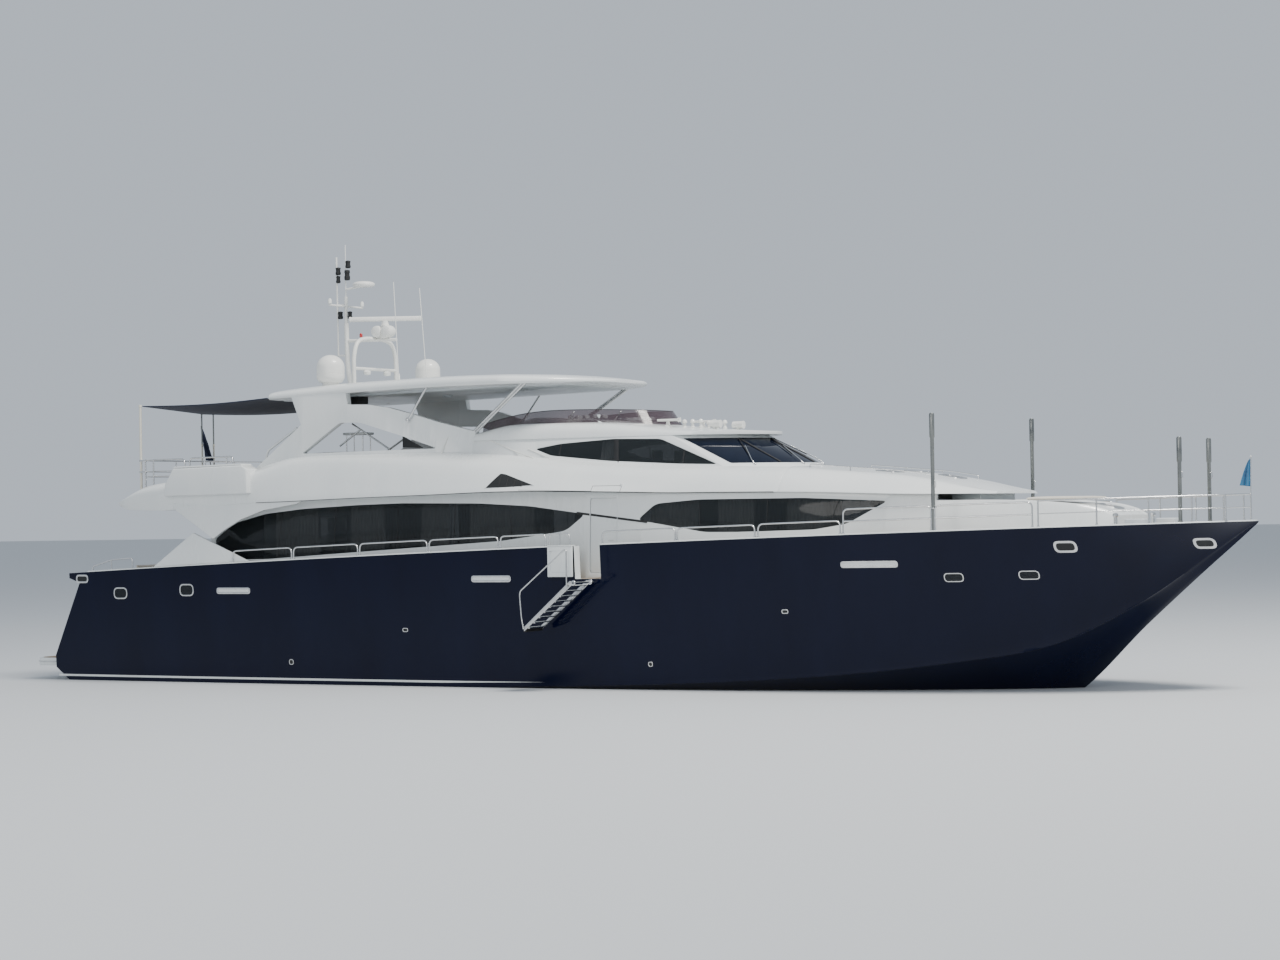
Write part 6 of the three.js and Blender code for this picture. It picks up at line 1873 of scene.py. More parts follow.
# Flybridge rail
# A polished steel tube rail round the after end, with two lower rails, and a hoop welded to short
# posts on each side box.
RAIL_TOP_Z = 5.64
FLY_RAIL_HALF = 2.99
FLY_RAIL_END_X = -13.25
ring_side = [
    (-11.59, FLY_RAIL_HALF, 5.1), (-11.59, FLY_RAIL_HALF, RAIL_TOP_Z),
    (-12.6, FLY_RAIL_HALF, RAIL_TOP_Z), (FLY_RAIL_END_X, 2.5, RAIL_TOP_Z),
]
ring = [(x, -y, z) for x, y, z in ring_side] + ring_side[::-1]
rail_paths = [rounded_path(ring, 0.14)]
for side in (-1, 1):
    y = side * FLY_RAIL_HALF
    rail_paths.append(
        rounded_path([(-11.44, y, 5.44), (-11.44, y, 5.655), (-10.08, y, 5.665), (-10.08, y, 5.44)], 0.1)
    )
    rail_paths += [[(x, y, 5.44), (x, y, 5.65)] for x in (-10.96, -10.28)]
    rail_paths.append([(-12.6, y, upper_at(-12.6)[6] - 0.02), (-12.6, y, RAIL_TOP_Z)])
    for out in (2.5, 1.25):
        rail_paths.append([(FLY_RAIL_END_X, side * out, 4.6), (FLY_RAIL_END_X, side * out, RAIL_TOP_Z)])
fly_rail = tube("flybridge_rail_tubes", rail_paths, RAIL_RADIUS, polished_steel)
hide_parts("flybridge_rail")
lower_paths = [rounded_path([(x, y, z) for x, y, _ in ring[1:-1]], 0.14) for z in (5.35, 5.22)]
tube("flybridge_lower_rails", lower_paths, 0.011, polished_steel)

# Awning and its poles
# A navy canvas sheet laced from the hardtop's after edge to three poles at the flybridge's end.
# The outer pole is cream; the two middle ones are cream below and dark above, where the dark is painted
# shadow of the awning.
cream_pole = finish(
    "cream_pole", (0.74, 0.72, 0.63), (0.68, 0.66, 0.58), (0.3, 0.42), (5, 0.3), None, Coat_Weight=0.3,
)


def awning_point(along, across, lift=0.0):
    """A point of the sagging sheet: along from after edge to hardtop, across from side to side, 0 to 1."""
    aft = Vector((-13.36, -2.45 + 2.54 * across, 7.04 - 0.145 * across))
    fore_y = -2.3 + 4.2 * across
    hardtop_x = HARDTOP_AFT_X + HARDTOP_AFT_ROUND * (abs(fore_y) / HARDTOP_HALF) ** 3
    fore = Vector((hardtop_x - 0.08, fore_y, 7.12 - 0.09 * across))
    dip = 0.05 * (1 + across) + 0.08 * math.sin(math.pi * across)
    scallop = 0.07 * math.sin(math.pi * along) * (1 - 2 * across)
    place = aft.lerp(fore, along)
    return Vector((place.x, place.y + scallop, place.z - dip * math.sin(math.pi * along) + lift))


awning_loops = []
for across in steps(0, 1, 40):
    under = [awning_point(along, across) for along in steps(0, 1, 40)]
    over = [awning_point(along, across, 0.008) for along in steps(0, 1, 40)]
    awning_loops.append(under + over[::-1])
awning = paint(skin("canvas_awning", awning_loops), navy_canvas)
soften(awning, 0, 50)
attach(awning, "yacht")
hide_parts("awning")
there, back_again = steps(0, 1, 24), steps(1, 0, 24)
border = [awning_point(along, 0) for along in there] + [awning_point(1, across) for across in there]
border += [awning_point(along, 1) for along in back_again]
border += [awning_point(0, across) for across in back_again]
awning_hem = tube("awning_hem", [[point + Vector((0, 0, 0.004)) for point in border]], 0.011, navy_canvas)
awning_seams = tube("awning_seams", [
    [awning_point(along, across, 0.009) for along in steps(0.01, 0.99, 24)] for across in (0.25, 0.5, 0.75)
], 0.004, navy_canvas)
laces = [
    [awning_point(1, across), awning_point(1, across) + Vector((0.1, 0, 0.02))]
    for across in steps(0.04, 0.96, 9)
]
tube("awning_lugs", laces, 0.006, polished_steel)
AWNING_POLE_FOOT_Z = 4.56
# Columns: x, y, top height, radius, whether its upper part is painted dark, as painted shadow of the awning.
AWNING_POLES = [
    (-13.41, -2.48, 7.09, 0.034, False), (-13.4, 0.06, 6.93, 0.024, True), (-13.4, 0.56, 6.93, 0.024, True),
]
for x, y, top, radius, awning_shadow_above in AWNING_POLES:
    foot = AWNING_POLE_FOOT_Z
    middle = foot + (top - foot) * 0.62
    sleeve = middle if awning_shadow_above else top - 0.08
    lower = turned(f"awning_pole_{y:g}", [
        (radius * 1.5, foot), (radius * 1.5, foot + 0.06), (radius, foot + 0.08), (radius, sleeve),
        (radius * 1.25, sleeve + 0.01), (radius * 1.25, sleeve + 0.07), (radius * 0.5, sleeve + 0.075),
    ], (x, y, 0), 24)
    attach(paint(lower, cream_pole), "yacht")
    # The middle poles' upper parts are painted dark: painted shadow of the awning.
    if awning_shadow_above:
        upper = turned(f"awning_pole_{y:g}_upper", [
            (radius * 0.85, middle), (radius * 0.85, top - 0.05), (radius * 1.1, top - 0.045),
            (radius * 1.1, top - 0.005), (radius * 0.4, top),
        ], (x, y, 0), 24)
        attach(paint(upper, dark_pole_and_painted_shadow), "yacht")
    for height in (5.35, RAIL_TOP_Z):
        collar_name = f"pole_collar_{y:g}_{height:g}"
        collar = block(
            collar_name, (x - 0.04, y - 0.035, height - 0.025), (-13.24, y + 0.035, height + 0.025),
        )
        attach(soften(paint(collar, polished_steel), 0.008), "yacht")

# Furled ensign
# A plain navy cloth ensign, rolled up and bulging a little on its slanting wooden staff, which is
# held at the flybridge's after rail.
staff_low, staff_high = Vector((-13.3, 0.31, 5.5)), Vector((-13.62, 0.31, 6.6))
tube("ensign_staff", [[staff_low, staff_high]], 0.014, varnished_wood)
furl_loops = []
for share in steps(0, 1, 30):
    centre = staff_low.lerp(staff_high, 0.12 + 0.84 * share)
    bulk = 0.018 + 0.075 * (1 - share) ** 0.8 * (0.6 + 0.4 * math.sin(math.pi * min(share * 6, 0.5)))
    loop = []
    for turn in range(24):
        angle = 2 * math.pi * turn / 24
        fold = 1 + 0.16 * math.sin(5 * angle + 7 * share) + 0.07 * math.sin(9 * angle - 11 * share)
        loop.append(centre + Vector((math.cos(angle) * bulk * fold, math.sin(angle) * bulk * fold, 0)))
    furl_loops.append(loop)
ensign = soften(paint(skin("furled_ensign", furl_loops), navy_canvas), 0, 60)
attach(ensign, "yacht")

# Cushions
# Loose foam cushions covered in pale vinyl, crowned on their broad faces and drawn in a little
# towards their corners, where the cover is sewn tight.


def cushion(name, low, high, crown):
    """A box cushion between two corners, crowned by so much."""
    deselect()
    bpy.ops.mesh.primitive_cube_add(size=2)
    made = bpy.context.object
    made.name = name
    bpy.ops.object.mode_set(mode="EDIT")
    bpy.ops.mesh.select_all(action="SELECT")
    bpy.ops.mesh.subdivide(number_cuts=11)
    bpy.ops.object.mode_set(mode="OBJECT")
    low, high = Vector(low), Vector(high)
    middle, half = (low + high) / 2, (high - low) / 2
    axis = list(half).index(min(half))
    first, second = [i for i in range(3) if i != axis]
    for vertex in made.data.vertices:
        a, b, c = vertex.co[first], vertex.co[second], vertex.co[axis]
        place = [0.0, 0.0, 0.0]
        for way, here, across in ((first, a, b), (second, b, a)):
            rounding = math.copysign(min(0.02, half[way] * 0.1), here) * abs(here) ** 8 * c * c * 1.4
            pull = 1 - 0.012 * (1 - across * across) - 0.03 * c * c
            place[way] = (here * half[way] - rounding) * pull
        swell = crown * (1 - a ** 4) * (1 - b ** 4)
        place[axis] = c * (half[axis] - crown * 0.5) + math.copysign(swell, c) * abs(c) ** 3 * 0.5
        vertex.co = Vector(place) + middle
    bpy.ops.object.shade_smooth_by_angle(angle=math.radians(60))
    paint(made, pale_vinyl)
    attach(made, "yacht")
    return made


# Flybridge seats and bar
# A settee in a white moulded base to port, a wet bar to starboard with a dark worktop and a
# raised shelf on steel legs, and a covered sunbed aft.
fly_z = upper_at(-5.8)[2] + FLOOR_THICK + 0.012
# Columns: name, lowest corner, highest corner, finish, edge radius.
FLY_FURNITURE = [
    ("settee_base", (-8.2, 0.95, fly_z), (-5.8, 1.9, fly_z + 0.32), white_gelcoat, 0.03),
    ("settee_back", (-8.2, 1.84, fly_z), (-5.8, 2.05, fly_z + 0.76), white_gelcoat, 0.03),
    ("wet_bar", (-8.2, -2.0, fly_z), (-6, -1.35, fly_z + 0.86), white_gelcoat, 0.03),
    ("bar_worktop", (-8.22, -2.02, fly_z + 0.86), (-5.98, -1.32, fly_z + 0.9), varnished_wood, 0.012),
    ("bar_shelf", (-7.5, -1.9, 6.14), (-6.85, -1.45, 6.2), white_gelcoat, 0.02),
]
for name, low, high, material, edge in FLY_FURNITURE:
    piece = soften(paint(block(name, low, high), material), edge, 35, 3)
    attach(piece, "yacht")
    if name == "settee_base":
        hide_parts("flybridge_furniture")
shelf_legs = [[(x, y, fly_z + 0.88), (x, y, 6.15)] for x in (-7.42, -6.93) for y in (-1.84, -1.51)]
tube("bar_shelf_legs", shelf_legs, 0.014, polished_steel)
for count in range(3):
    x0 = -8.18 + 0.79 * count
    cushion(f"settee_seat_{count}", (x0, 0.98, fly_z + 0.32), (x0 + 0.78, 1.82, fly_z + 0.44), 0.03)
    cushion(f"settee_backrest_{count}", (x0, 1.72, fly_z + 0.45), (x0 + 0.78, 1.84, fly_z + 0.84), 0.03)
tube("arch_braces", [
    [(x0, y, z0), (x1, y, z1)]
    for y in (-2.3, 2.3) for x0, z0, x1, z1 in ((-6.92, 6.4, -5.8, 5.73), (-7.3, 5.86, -6.69, 6.24))
], 0.022, polished_steel)
tube("fly_stair_rail", [
    rounded_path([(-9.4, side * 2.6, 5.35), (-9.29, side * 2.6, 5.79), (-8.36, side * 2.62, 6.33)], 0.1)
    for side in (-1, 1)
], 0.03, white_gelcoat)

# Columns: how far the cover spreads at a level, as a share of its plan, and that level's height.
COVER_LEVELS = [
    (1.02, 0.0), (1.01, 0.12), (1.0, 0.35), (0.995, 0.62), (0.985, 0.84),
    (0.965, 0.95), (0.93, 1.0), (0.7, 1.03), (0.4, 1.05), (0.02, 1.06),
]


def cover(name, x0, x1, half, floor, height):
    """A fitted cloth cover over a long low thing, with a loose hem; open below."""
    loops = []
    length, middle = (x1 - x0) / 2, (x0 + x1) / 2
    for spread, rise in COVER_LEVELS:
        slack = 1 - min(rise, 1)
        loop = []
        for turn in range(120):
            angle = 2 * math.pi * turn / 120
            square = 1 / max(abs(math.cos(angle)) ** 7 + abs(math.sin(angle)) ** 7, 1e-6) ** (1 / 7)
            wave = 0.012 * math.sin(17 * angle) * slack ** 0.7
            wave += 0.006 * math.sin(31 * angle + 5 * rise) * slack
            x = middle + (length + wave - 0.02) * math.cos(angle) * square * spread
            y = (half + wave - 0.02) * math.sin(angle) * square * spread
            loop.append((x, y, floor + height * rise + 0.012 * math.sin(4 * x + 3 * y) * min(rise, 1)))
        loops.append(loop)
    made = skin(name, loops)
    # The skin is closed at the hem; what closes it is cut away.
    bpy.ops.object.mode_set(mode="EDIT")
    bpy.ops.mesh.select_all(action="SELECT")
    bpy.ops.mesh.bisect(plane_co=(0, 0, floor + 0.002 * height), plane_no=(0, 0, 1), clear_inner=True)
    bpy.ops.object.mode_set(mode="OBJECT")
    thicken(made, 0.004)
    bpy.ops.object.shade_smooth_by_angle(angle=math.radians(60))
    paint(made, navy_canvas)
    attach(made, "yacht")
    return made


sunbed_floor = upper_at(-10.7)[2] + FLOOR_THICK + 0.03
sunbed_cover = cover("sunbed_cover", -12.9, -10.7, 1.5, sunbed_floor, 0.64)
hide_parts("covered_sunbed")

# Roof fittings and deck hatches
# On the pilothouse roof: a pair of horn trumpets, three small round aerials and a searchlight on
# each side. Smoked deck hatches in steel frames light the cabins below.
HORN_Z = 6.27
HORN_POST = [(0.09, 6.08), (0.09, 6.14), (0.05, 6.16), (0.035, 6.25), (0.02, 6.27)]
HORN_BELL = [(0.028, 0), (0.034, 0.03), (0.05, 0.055), (0.056, 0.06)]
AERIAL = [
    (0.055, 6.04), (0.055, 6.1), (0.035, 6.12), (0.035, 6.19), (0.062, 6.2), (0.062, 6.23), (0.04, 6.27),
    (0.01, 6.285),
]
LIGHT_POST = [(0.08, 5.97), (0.08, 6.01), (0.045, 6.03), (0.045, 6.08), (0.06, 6.09), (0.03, 6.1)]
LIGHT_BARREL = [(0.05, -0.15), (0.085, -0.12), (0.09, 0.13), (0.095, 0.14), (0.095, 0.16), (0.075, 0.162)]
for side, word in SIDES:
    y = side * 0.9
    # Columns: first x and last x of each trumpet, its place beside the post.
    trumpets = ((0.95, 1.5, -0.05), (1.0, 1.4, 0.05))
    paths = [[(x0, y + spread, HORN_Z), (x1, y + spread, HORN_Z)] for x0, x1, spread in trumpets]
    tube("horn_trumpets_" + word, paths, 0.028, dome_shell)
    horn_post = turned("horn_post_" + word, HORN_POST, (1.2, y, 0), 20)
    bells = [
        laid_over(turned("bell", HORN_BELL, (0, 0, 0), 18), (x, y + spread, HORN_Z), "Y")
        for _, x, spread in trumpets
    ]
    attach(paint(join(horn_post, *bells), dome_shell), "yacht")
    aerials = [turned("aerial", AERIAL, (x, side * 0.62, 0), 20) for x in (1.5, 1.72, 1.94)]
    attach(as_one("round_aerials_" + word, aerials, dome_shell), "yacht")
    light_post = turned("searchlight_" + word, LIGHT_POST, (2.3, side * 0.6, 0), 20)
    barrel = laid_over(turned("barrel", LIGHT_BARREL, (0, 0, 0), 24), (2.3, side * 0.6, 6.15), "Y")
    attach(paint(join(light_post, barrel), dome_shell), "yacht")


def deck_hatch(name, x, y, size, height):
    """A square smoked hatch in a rounded steel frame, lying on a deck whose height is a function."""
    frame_ring = prism(name + "_frame", rounded_box(size, size, 0.09), -0.01, 0.03)
    cut(frame_ring, prism("hatch_hole", rounded_box(size - 0.09, size - 0.09, 0.06), -0.2, 0.2))
    lens = prism(name + "_lens", rounded_box(size - 0.07, size - 0.07, 0.06), -0.01, 0.02)
    for piece, material in ((soften(frame_ring, 0.008), polished_steel), (soften(lens, 0.004), smoked_glass)):
        for vertex in piece.data.vertices:
            across, out, along = vertex.co
            vertex.co = (x + along, y + across, height(x + along, y + across) + out)
        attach(paint(piece, material), "yacht")


def coach_top(x, y):
    """Height of the coachroof's top."""
    top_y, top_z = coach_at(x)[5:]
    share = abs(y) / top_y
    return top_z + 0.04 - 0.02 * share if share < 0.5 else top_z + 0.06 * (1 - share)


HATCH_SIZE = 0.56
for count, (x, y, height) in enumerate([
    (6.9, -0.8, coach_top), (6.9, 0.8, coach_top), (8.1, 0, coach_top),
    (11.85, 0, lambda x, y: trunk_at(x)[4]),
]):
    deck_hatch(f"deck_hatch_{count}", x, y, HATCH_SIZE, height)


def above_coach_edge(x, side, rise):
    """A point over the coachroof's top, a hand's breadth in from its edge."""
    return x, side * (coach_at(x)[5] - 0.12), coach_at(x)[6] + rise


HANDRAIL_RISE, HANDRAIL_FOOT = 0.09, -0.01
for side, word in SIDES:
    handrail = [above_coach_edge(x, side, HANDRAIL_RISE) for x in steps(5.3, 8.2, 10)]
    feet = [above_coach_edge(x, side, HANDRAIL_FOOT) for x in (5.3, 8.2)]
    posts = [
        [above_coach_edge(x, side, rise) for rise in (HANDRAIL_RISE, HANDRAIL_FOOT)] for x in (6.26, 7.23)
    ]
    paths = [rounded_path([feet[0], *handrail, feet[1]], 0.06), *posts]
    tube("coachroof_handrail_" + word, paths, 0.013, polished_steel)

# Arch fairing seams
# Raised beads, a little whiter than the gelcoat, where each arch's fairing lies on the deck and the
# pilothouse, partly a painted highlight along those seams, and a near-black panel in the fore
# corner of its opening, which is painted shade.
FAIRING_BEADS = [
    [(-4.047, 2.393, 6.001), (-4.101, 2.465, 5.799), (-4.111, 2.603, 5.597)],
    [(-3.36, 2.196, 6.028), (-2.861, 2.241, 5.849), (-2.267, 2.297, 5.617), (-1.607, 2.469, 5.417)],
    [(-1.865, 2.267, 5.646), (-1.527, 2.293, 5.518), (-1.209, 2.364, 5.409)],
]
ARCH_CORNER_SHADE_OUTLINE = [(-5.26, 6.05), (-4.66, 5.74), (-5.26, 5.77)]
for side, word in SIDES:
    beads = [[(x, side * y, z) for x, y, z in bead] for bead in FAIRING_BEADS]
    # The beads' brighter white is partly a painted highlight along the seams.
    tube("fairing_beads_" + word, beads, 0.014, dome_shell)
    # A near-black panel in the opening's fore corner: painted shade.
    corner = prism("arch_corner_shade_panel_" + word, ARCH_CORNER_SHADE_OUTLINE, *sorted((side * 2.54, side * 2.57)))
    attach(soften(paint(corner, dark_paint_and_painted_shade), 0.004), "yacht")

# Foredeck sunpad
# Three crowned foam pads in pale vinyl, side by side on top of the trunk, where press studs hold
# them.
for count, y in enumerate((-0.66, 0, 0.66)):
    pad = cushion(f"sunpad_{count}", (10.26, y - 0.325, 4.195), (11.44, y + 0.325, 4.285), 0.03)
    if count == 0:
        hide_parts("foredeck_sunpad")

# Windlass and mooring gear
# Two steel gypsies on a base plate, with chain stoppers ahead, deck lockers beside them, and
# horn cleats bolted along the deck edge.
windlass_floor = deck_z(13.3) + 0.012
GYPSY = [
    (0.17, 0.0), (0.17, 0.03), (0.15, 0.05), (0.15, 0.075), (0.1, 0.1), (0.1, 0.125), (0.145, 0.15),
    (0.145, 0.165),
    (0.095, 0.19), (0.09, 0.22), (0.14, 0.26), (0.14, 0.28), (0.05, 0.29),
]
gypsy = [(radius, windlass_floor + height) for radius, height in GYPSY]
windlass = as_one(
    "windlass_drums", [turned("gypsy", gypsy, (13.3, y, 0), 32) for y in (-0.3, 0.3)], polished_steel,
)
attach(windlass, "yacht")
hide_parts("windlass")
plate = block("windlass_plate", (13.0, -0.55, windlass_floor - 0.01), (13.65, 0.55, windlass_floor + 0.015))
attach(soften(paint(plate, polished_steel), 0.006), "yacht")
bollard_foot = deck_z(12.4)
BOLLARD = [
    (0.07, bollard_foot), (0.07, bollard_foot + 0.03), (0.045, bollard_foot + 0.05),
    (0.045, 3.8), (0.065, 3.82), (0.065, 3.87), (0.03, 3.89),
]
for side, word in SIDES:
    y = side * 0.3
    stopper = block(
        "chain_stopper_" + word, (13.72, y - 0.05, windlass_floor), (13.9, y + 0.05, windlass_floor + 0.09),
    )
    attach(soften(paint(stopper, polished_steel), 0.015, 35, 3), "yacht")
    low, high = sorted((side * 0.9, side * 1.2))
    locker = block("deck_locker_" + word, (12.6, low, deck_z(12.8)), (13.05, high, 3.76))
    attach(soften(paint(locker, grey_gelcoat), 0.03, 35, 3), "yacht")
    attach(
        paint(turned("bow_bollard_" + word, BOLLARD, (12.42, side * 1.25, 0), 24), polished_steel), "yacht",
    )
    cleats = []
    for x in (-14.2, -9.2, -3.0, 4.4, 11.6):
        z = deck_z(x) + 0.012
        y = side * (min(rail_line(x), topside_y(x, z) - bulwark_thick(x)) - 0.14)
        horns = [
            (x + along, y, z + rise)
            for along, rise in ((-0.16, 0.09), (-0.06, 0.08), (0.06, 0.08), (0.16, 0.09))
        ]
        cleats.append(rounded_path(horns, 0.04))
        cleats += [[(x + along, y, z), (x + along, y, z + 0.08)] for along in (-0.05, 0.05)]
    tube("deck_cleats_" + word, cleats, 0.018, polished_steel)

# Quarter wings
# Thin white moulded fins that stand on the after bulwarks and meet the wings that hang from the
# overhang.
wing_outline = [(-12.48, sheer_z(-12.48) + 0.03), (-11.21, 3.77), (-9.48, sheer_z(-9.48) + 0.03)]
port_wing = soften(
    paint(prism("quarter_wing_port_fin", wing_outline, 3.13, 3.21), white_gelcoat), 0.018, 30, 3,
)
for made, word in ((port_wing, "port"), (mirrored(port_wing, "quarter_wing_starboard_fin"), "starboard")):
    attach(made, "yacht")
    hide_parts("quarter_wing_" + word)

# Boarding gates
# Each leaf closes the gap in its bulwark: navy outside, white inside, with a cap, a tube hoop and
# a latch. The starboard one stands open, turned half round against the topside.
GATE_FOOT, GATE_TOP = deck_z(0.3) + 0.05, sheer_z(0.3)
GATE_ENDS = (0.062, 0.723)
GATE_Y = 3.4
HOOP_RISE = 0.29


def gate_pieces(word):
    """The port gate's pieces, shut, with a side's word in their names; they don't ride yet."""
    x0, x1 = GATE_ENDS
    leaf = block(f"gate_leaf_{word}", (x0, 3.37, GATE_FOOT), (x1, 3.43, GATE_TOP - 0.012))
    soften(paint(leaf, white_gelcoat, navy_paint), 0.012, 35, 3)
    for face in leaf.data.polygons:
        if face.normal.y > 0.9:
            face.material_index = 1
    top = block(f"gate_cap_{word}", (x0, 3.362, GATE_TOP - 0.012), (x1, 3.438, GATE_TOP + 0.014))
    soften(paint(top, white_gelcoat), 0.008, 35)
    hoop_top = GATE_TOP + HOOP_RISE
    arch_line = [
        (0.112, GATE_Y, GATE_TOP), (0.112, GATE_Y, hoop_top), (0.673, GATE_Y, hoop_top),
        (0.673, GATE_Y, GATE_TOP),
    ]
    middle_post = [(0.39, GATE_Y, GATE_TOP), (0.39, GATE_Y, hoop_top)]
    hoop = tube(
        f"gate_hoop_{word}", [rounded_path(arch_line, 0.12), middle_post], 0.016, polished_steel, None,
    )
    panel = rounded_box(0.5, 0.5, 0.05, (0.39, GATE_FOOT + 0.36))
    panel_rim = tube(
        f"gate_panel_{word}", [[(x, 3.369, z) for x, z in panel + panel[:1]]], 0.005, grey_gelcoat, None,
    )
    latch_z = GATE_TOP - 0.12
    latch_line = rounded_path([(0.66, 3.372, latch_z), (0.66, 3.352, latch_z), (0.58, 3.352, latch_z)], 0.01)
    latch = tube(f"gate_latch_{word}", [latch_line], 0.008, polished_steel, None)
    return [leaf, top, hoop, panel_rim, latch]


for piece in gate_pieces("port"):
    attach(piece, "gate_port_body")
    if piece.name == "gate_leaf_port":
        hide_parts("gate_door_port")
# Half a turn about its hinge brings each point as far to the hinge's other side.
HINGE_X, HINGE_Y = 0.055, 3.468
for piece in gate_pieces("starboard"):
    for vertex in piece.data.vertices:
        vertex.co = (2 * HINGE_X - vertex.co.x, -(2 * HINGE_Y - vertex.co.y), vertex.co.z)
    face_outwards(piece)
    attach(piece, "gate_starboard_body")
    if piece.name == "gate_leaf_starboard":
        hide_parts("gate_door_starboard")

# Boarding ladder
# A steel ladder hinged outside the starboard gate: two deep stringers, nine treads with
# grey inlays, a clamped handrail and a roller at its foot.
LADDER_HEAD, LADDER_FOOT = Vector((0.48, 0, 2.555)), Vector((-0.77, 0, 1.49))
STRINGER_OUTLINE = [(0.53, 2.455), (0.48, 2.555), (-0.77, 1.49), (-0.77, 1.39)]
HOLLOW_OUTLINE = [(0.44, 2.475), (-0.72, 1.49), (-0.72, 1.455), (0.46, 2.44)]
LUG = [(0.055, 0), (0.06, 0.004), (0.06, 0.036), (0.055, 0.04)]
PIN_X, PIN_Z = 0.56, 2.5
stringers = []
# Columns: y of the stringer's outer face, where the hollow in that face starts and ends.
for y, hollow_low, hollow_high in ((-4.4, -0.02, 0.012), (-3.64, 0.028, 0.06)):
    stringer = prism("stringer", eased(STRINGER_OUTLINE, 0.02), y, y + 0.04)
    stringers.append(cut(stringer, prism("stringer_hollow", HOLLOW_OUTLINE, y + hollow_low, y + hollow_high)))
    stringers.append(laid_over(turned("lug", LUG, (0, 0, 0), 24), (PIN_X, y + 0.04, PIN_Z), "X"))
ladder = soften(as_one("ladder_stringers", stringers, polished_steel), 0.004, 35)
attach(ladder, "ladder_body")
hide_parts("boarding_ladder")
tube("ladder_pin_rod", [[(PIN_X, -4.4, PIN_Z), (PIN_X, -3.6, PIN_Z)]], 0.022, polished_steel, "ladder_body")
tube("ladder_roller", [[(-0.76, -4.36, 1.41), (-0.76, -3.64, 1.41)]], 0.038, black_sealant_and_painted_shade, "ladder_body")
for count, share in enumerate(steps(0.06, 0.96, 8)):
    x, _, z = LADDER_HEAD.lerp(LADDER_FOOT, share)
    pan = block(f"ladder_tread_{count}", (x - 0.09, -4.365, z - 0.075), (x + 0.09, -3.635, z - 0.052))
    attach(soften(paint(pan, polished_steel), 0.005), "ladder_body")
    inlay = block(f"tread_inlay_{count}", (x - 0.075, -4.34, z - 0.054), (x + 0.075, -3.66, z - 0.045))
    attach(soften(paint(inlay, grey_gelcoat), 0.003), "ladder_body")
HANDRAIL_LINE = [(0.4, 2.4), (0.4, 3.3), (-0.84, 2.32), (-0.86, 2.23), (-0.82, 1.71), (-0.77, 1.44)]
handrail_path = rounded_path([(x, -4.418, z) for x, z in HANDRAIL_LINE], 0.1)
handrail = tube("ladder_rail", [handrail_path], 0.016, polished_steel, "ladder_body")
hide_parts("ladder_handrail")
tube("ladder_hull_pin", [[(PIN_X, -3.3, PIN_Z), (PIN_X, -3.596, PIN_Z)]], 0.028, polished_steel)

# Saloon's after bulkhead
# A pale grey moulded bulkhead across the deckhouse, with a pair of glass leaves in steel frames
# that slide outboard on its after face.
bulkhead_foot = deck_z(-9.5) + 0.001
bulkhead = block("bulkhead_frame", (-9.6, -2.48, bulkhead_foot), (-9.5, 2.48, roof_under_z(-9.55) - 0.01))
cut(bulkhead, block("doorway", (-9.8, -1.25, 2.0), (-9.3, 1.25, 4.15)))
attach(soften(paint(bulkhead, grey_gelcoat), 0.01), "yacht")
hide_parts("saloon_bulkhead")
for side, word in SIDES:
    body = f"saloon_door_{word}_body"
    low, high = sorted((side * 0.015, side * 1.31))
    foot = bulkhead_foot
    leaf = block("sliding_door_frame_" + word, (-9.66, low, foot + 0.01), (-9.615, high, 4.19))
    cut(leaf, block("door_light", (-9.8, low + 0.07, foot + 0.13), (-9.5, high - 0.07, 4.1)))
    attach(soften(paint(leaf, polished_steel), 0.006), body)
    pane = block("sliding_door_pane_" + word, (-9.643, low + 0.06, foot + 0.12), (-9.633, high - 0.06, 4.11))
    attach(paint(soften(pane, 0.001), smoked_glass), body)
    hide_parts("saloon_door_" + word)
    y = side * 0.09
    pull = rounded_path([(-9.655, y, 3.1), (-9.69, y, 3.1), (-9.69, y, 3.5), (-9.655, y, 3.5)], 0.02)
    tube("sliding_door_pull_" + word, [pull], 0.01, polished_steel, body)

# Saloon interior
# Seen through the smoked glass: a low table and two long sofas with loose cushions, all on
# varnished wooden bases that stand on a wooden sole.
floor_z = deck_z(-5.3) + 0.001
# Columns: name, lowest corner, highest corner, edge radius.
for name, low, high, edge in (
    ("saloon_table", (-7.4, -0.45, floor_z + 0.38), (-6.2, 0.45, floor_z + 0.42), 0.01),
    ("saloon_table_base", (-7.1, -0.2, floor_z), (-6.5, 0.2, floor_z + 0.38), 0.02),
    ("saloon_sole", (-9.49, -2.35, floor_z - 0.02), (-3.2, 2.35, floor_z), 0.002),
):
    piece = soften(paint(block(name, low, high), varnished_wood), edge)
    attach(piece, "yacht")
    if name == "saloon_table":
        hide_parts("saloon_furniture")
for side, word in SIDES:
    low, high = sorted((side * 1.45, side * 2.3))
    base = block("sofa_base_" + word, (-8.3, low, floor_z), (-5.3, high, floor_z + 0.26))
    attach(soften(paint(base, varnished_wood), 0.02), "yacht")
    low, high = sorted((side * 1.5, side * 2.14))
    back_low, back_high = sorted((side * 2.12, side * 2.3))
    for count in range(3):
        x0 = -8.28 + count * 0.99
        cushion(
            f"sofa_seat_{word}_{count}", (x0, low, floor_z + 0.26), (x0 + 0.98, high, floor_z + 0.42), 0.03,
        )
        corner, top = (x0, back_low, floor_z + 0.42), (x0 + 0.98, back_high, floor_z + 0.8)
        cushion(f"sofa_back_{word}_{count}", corner, top, 0.03)

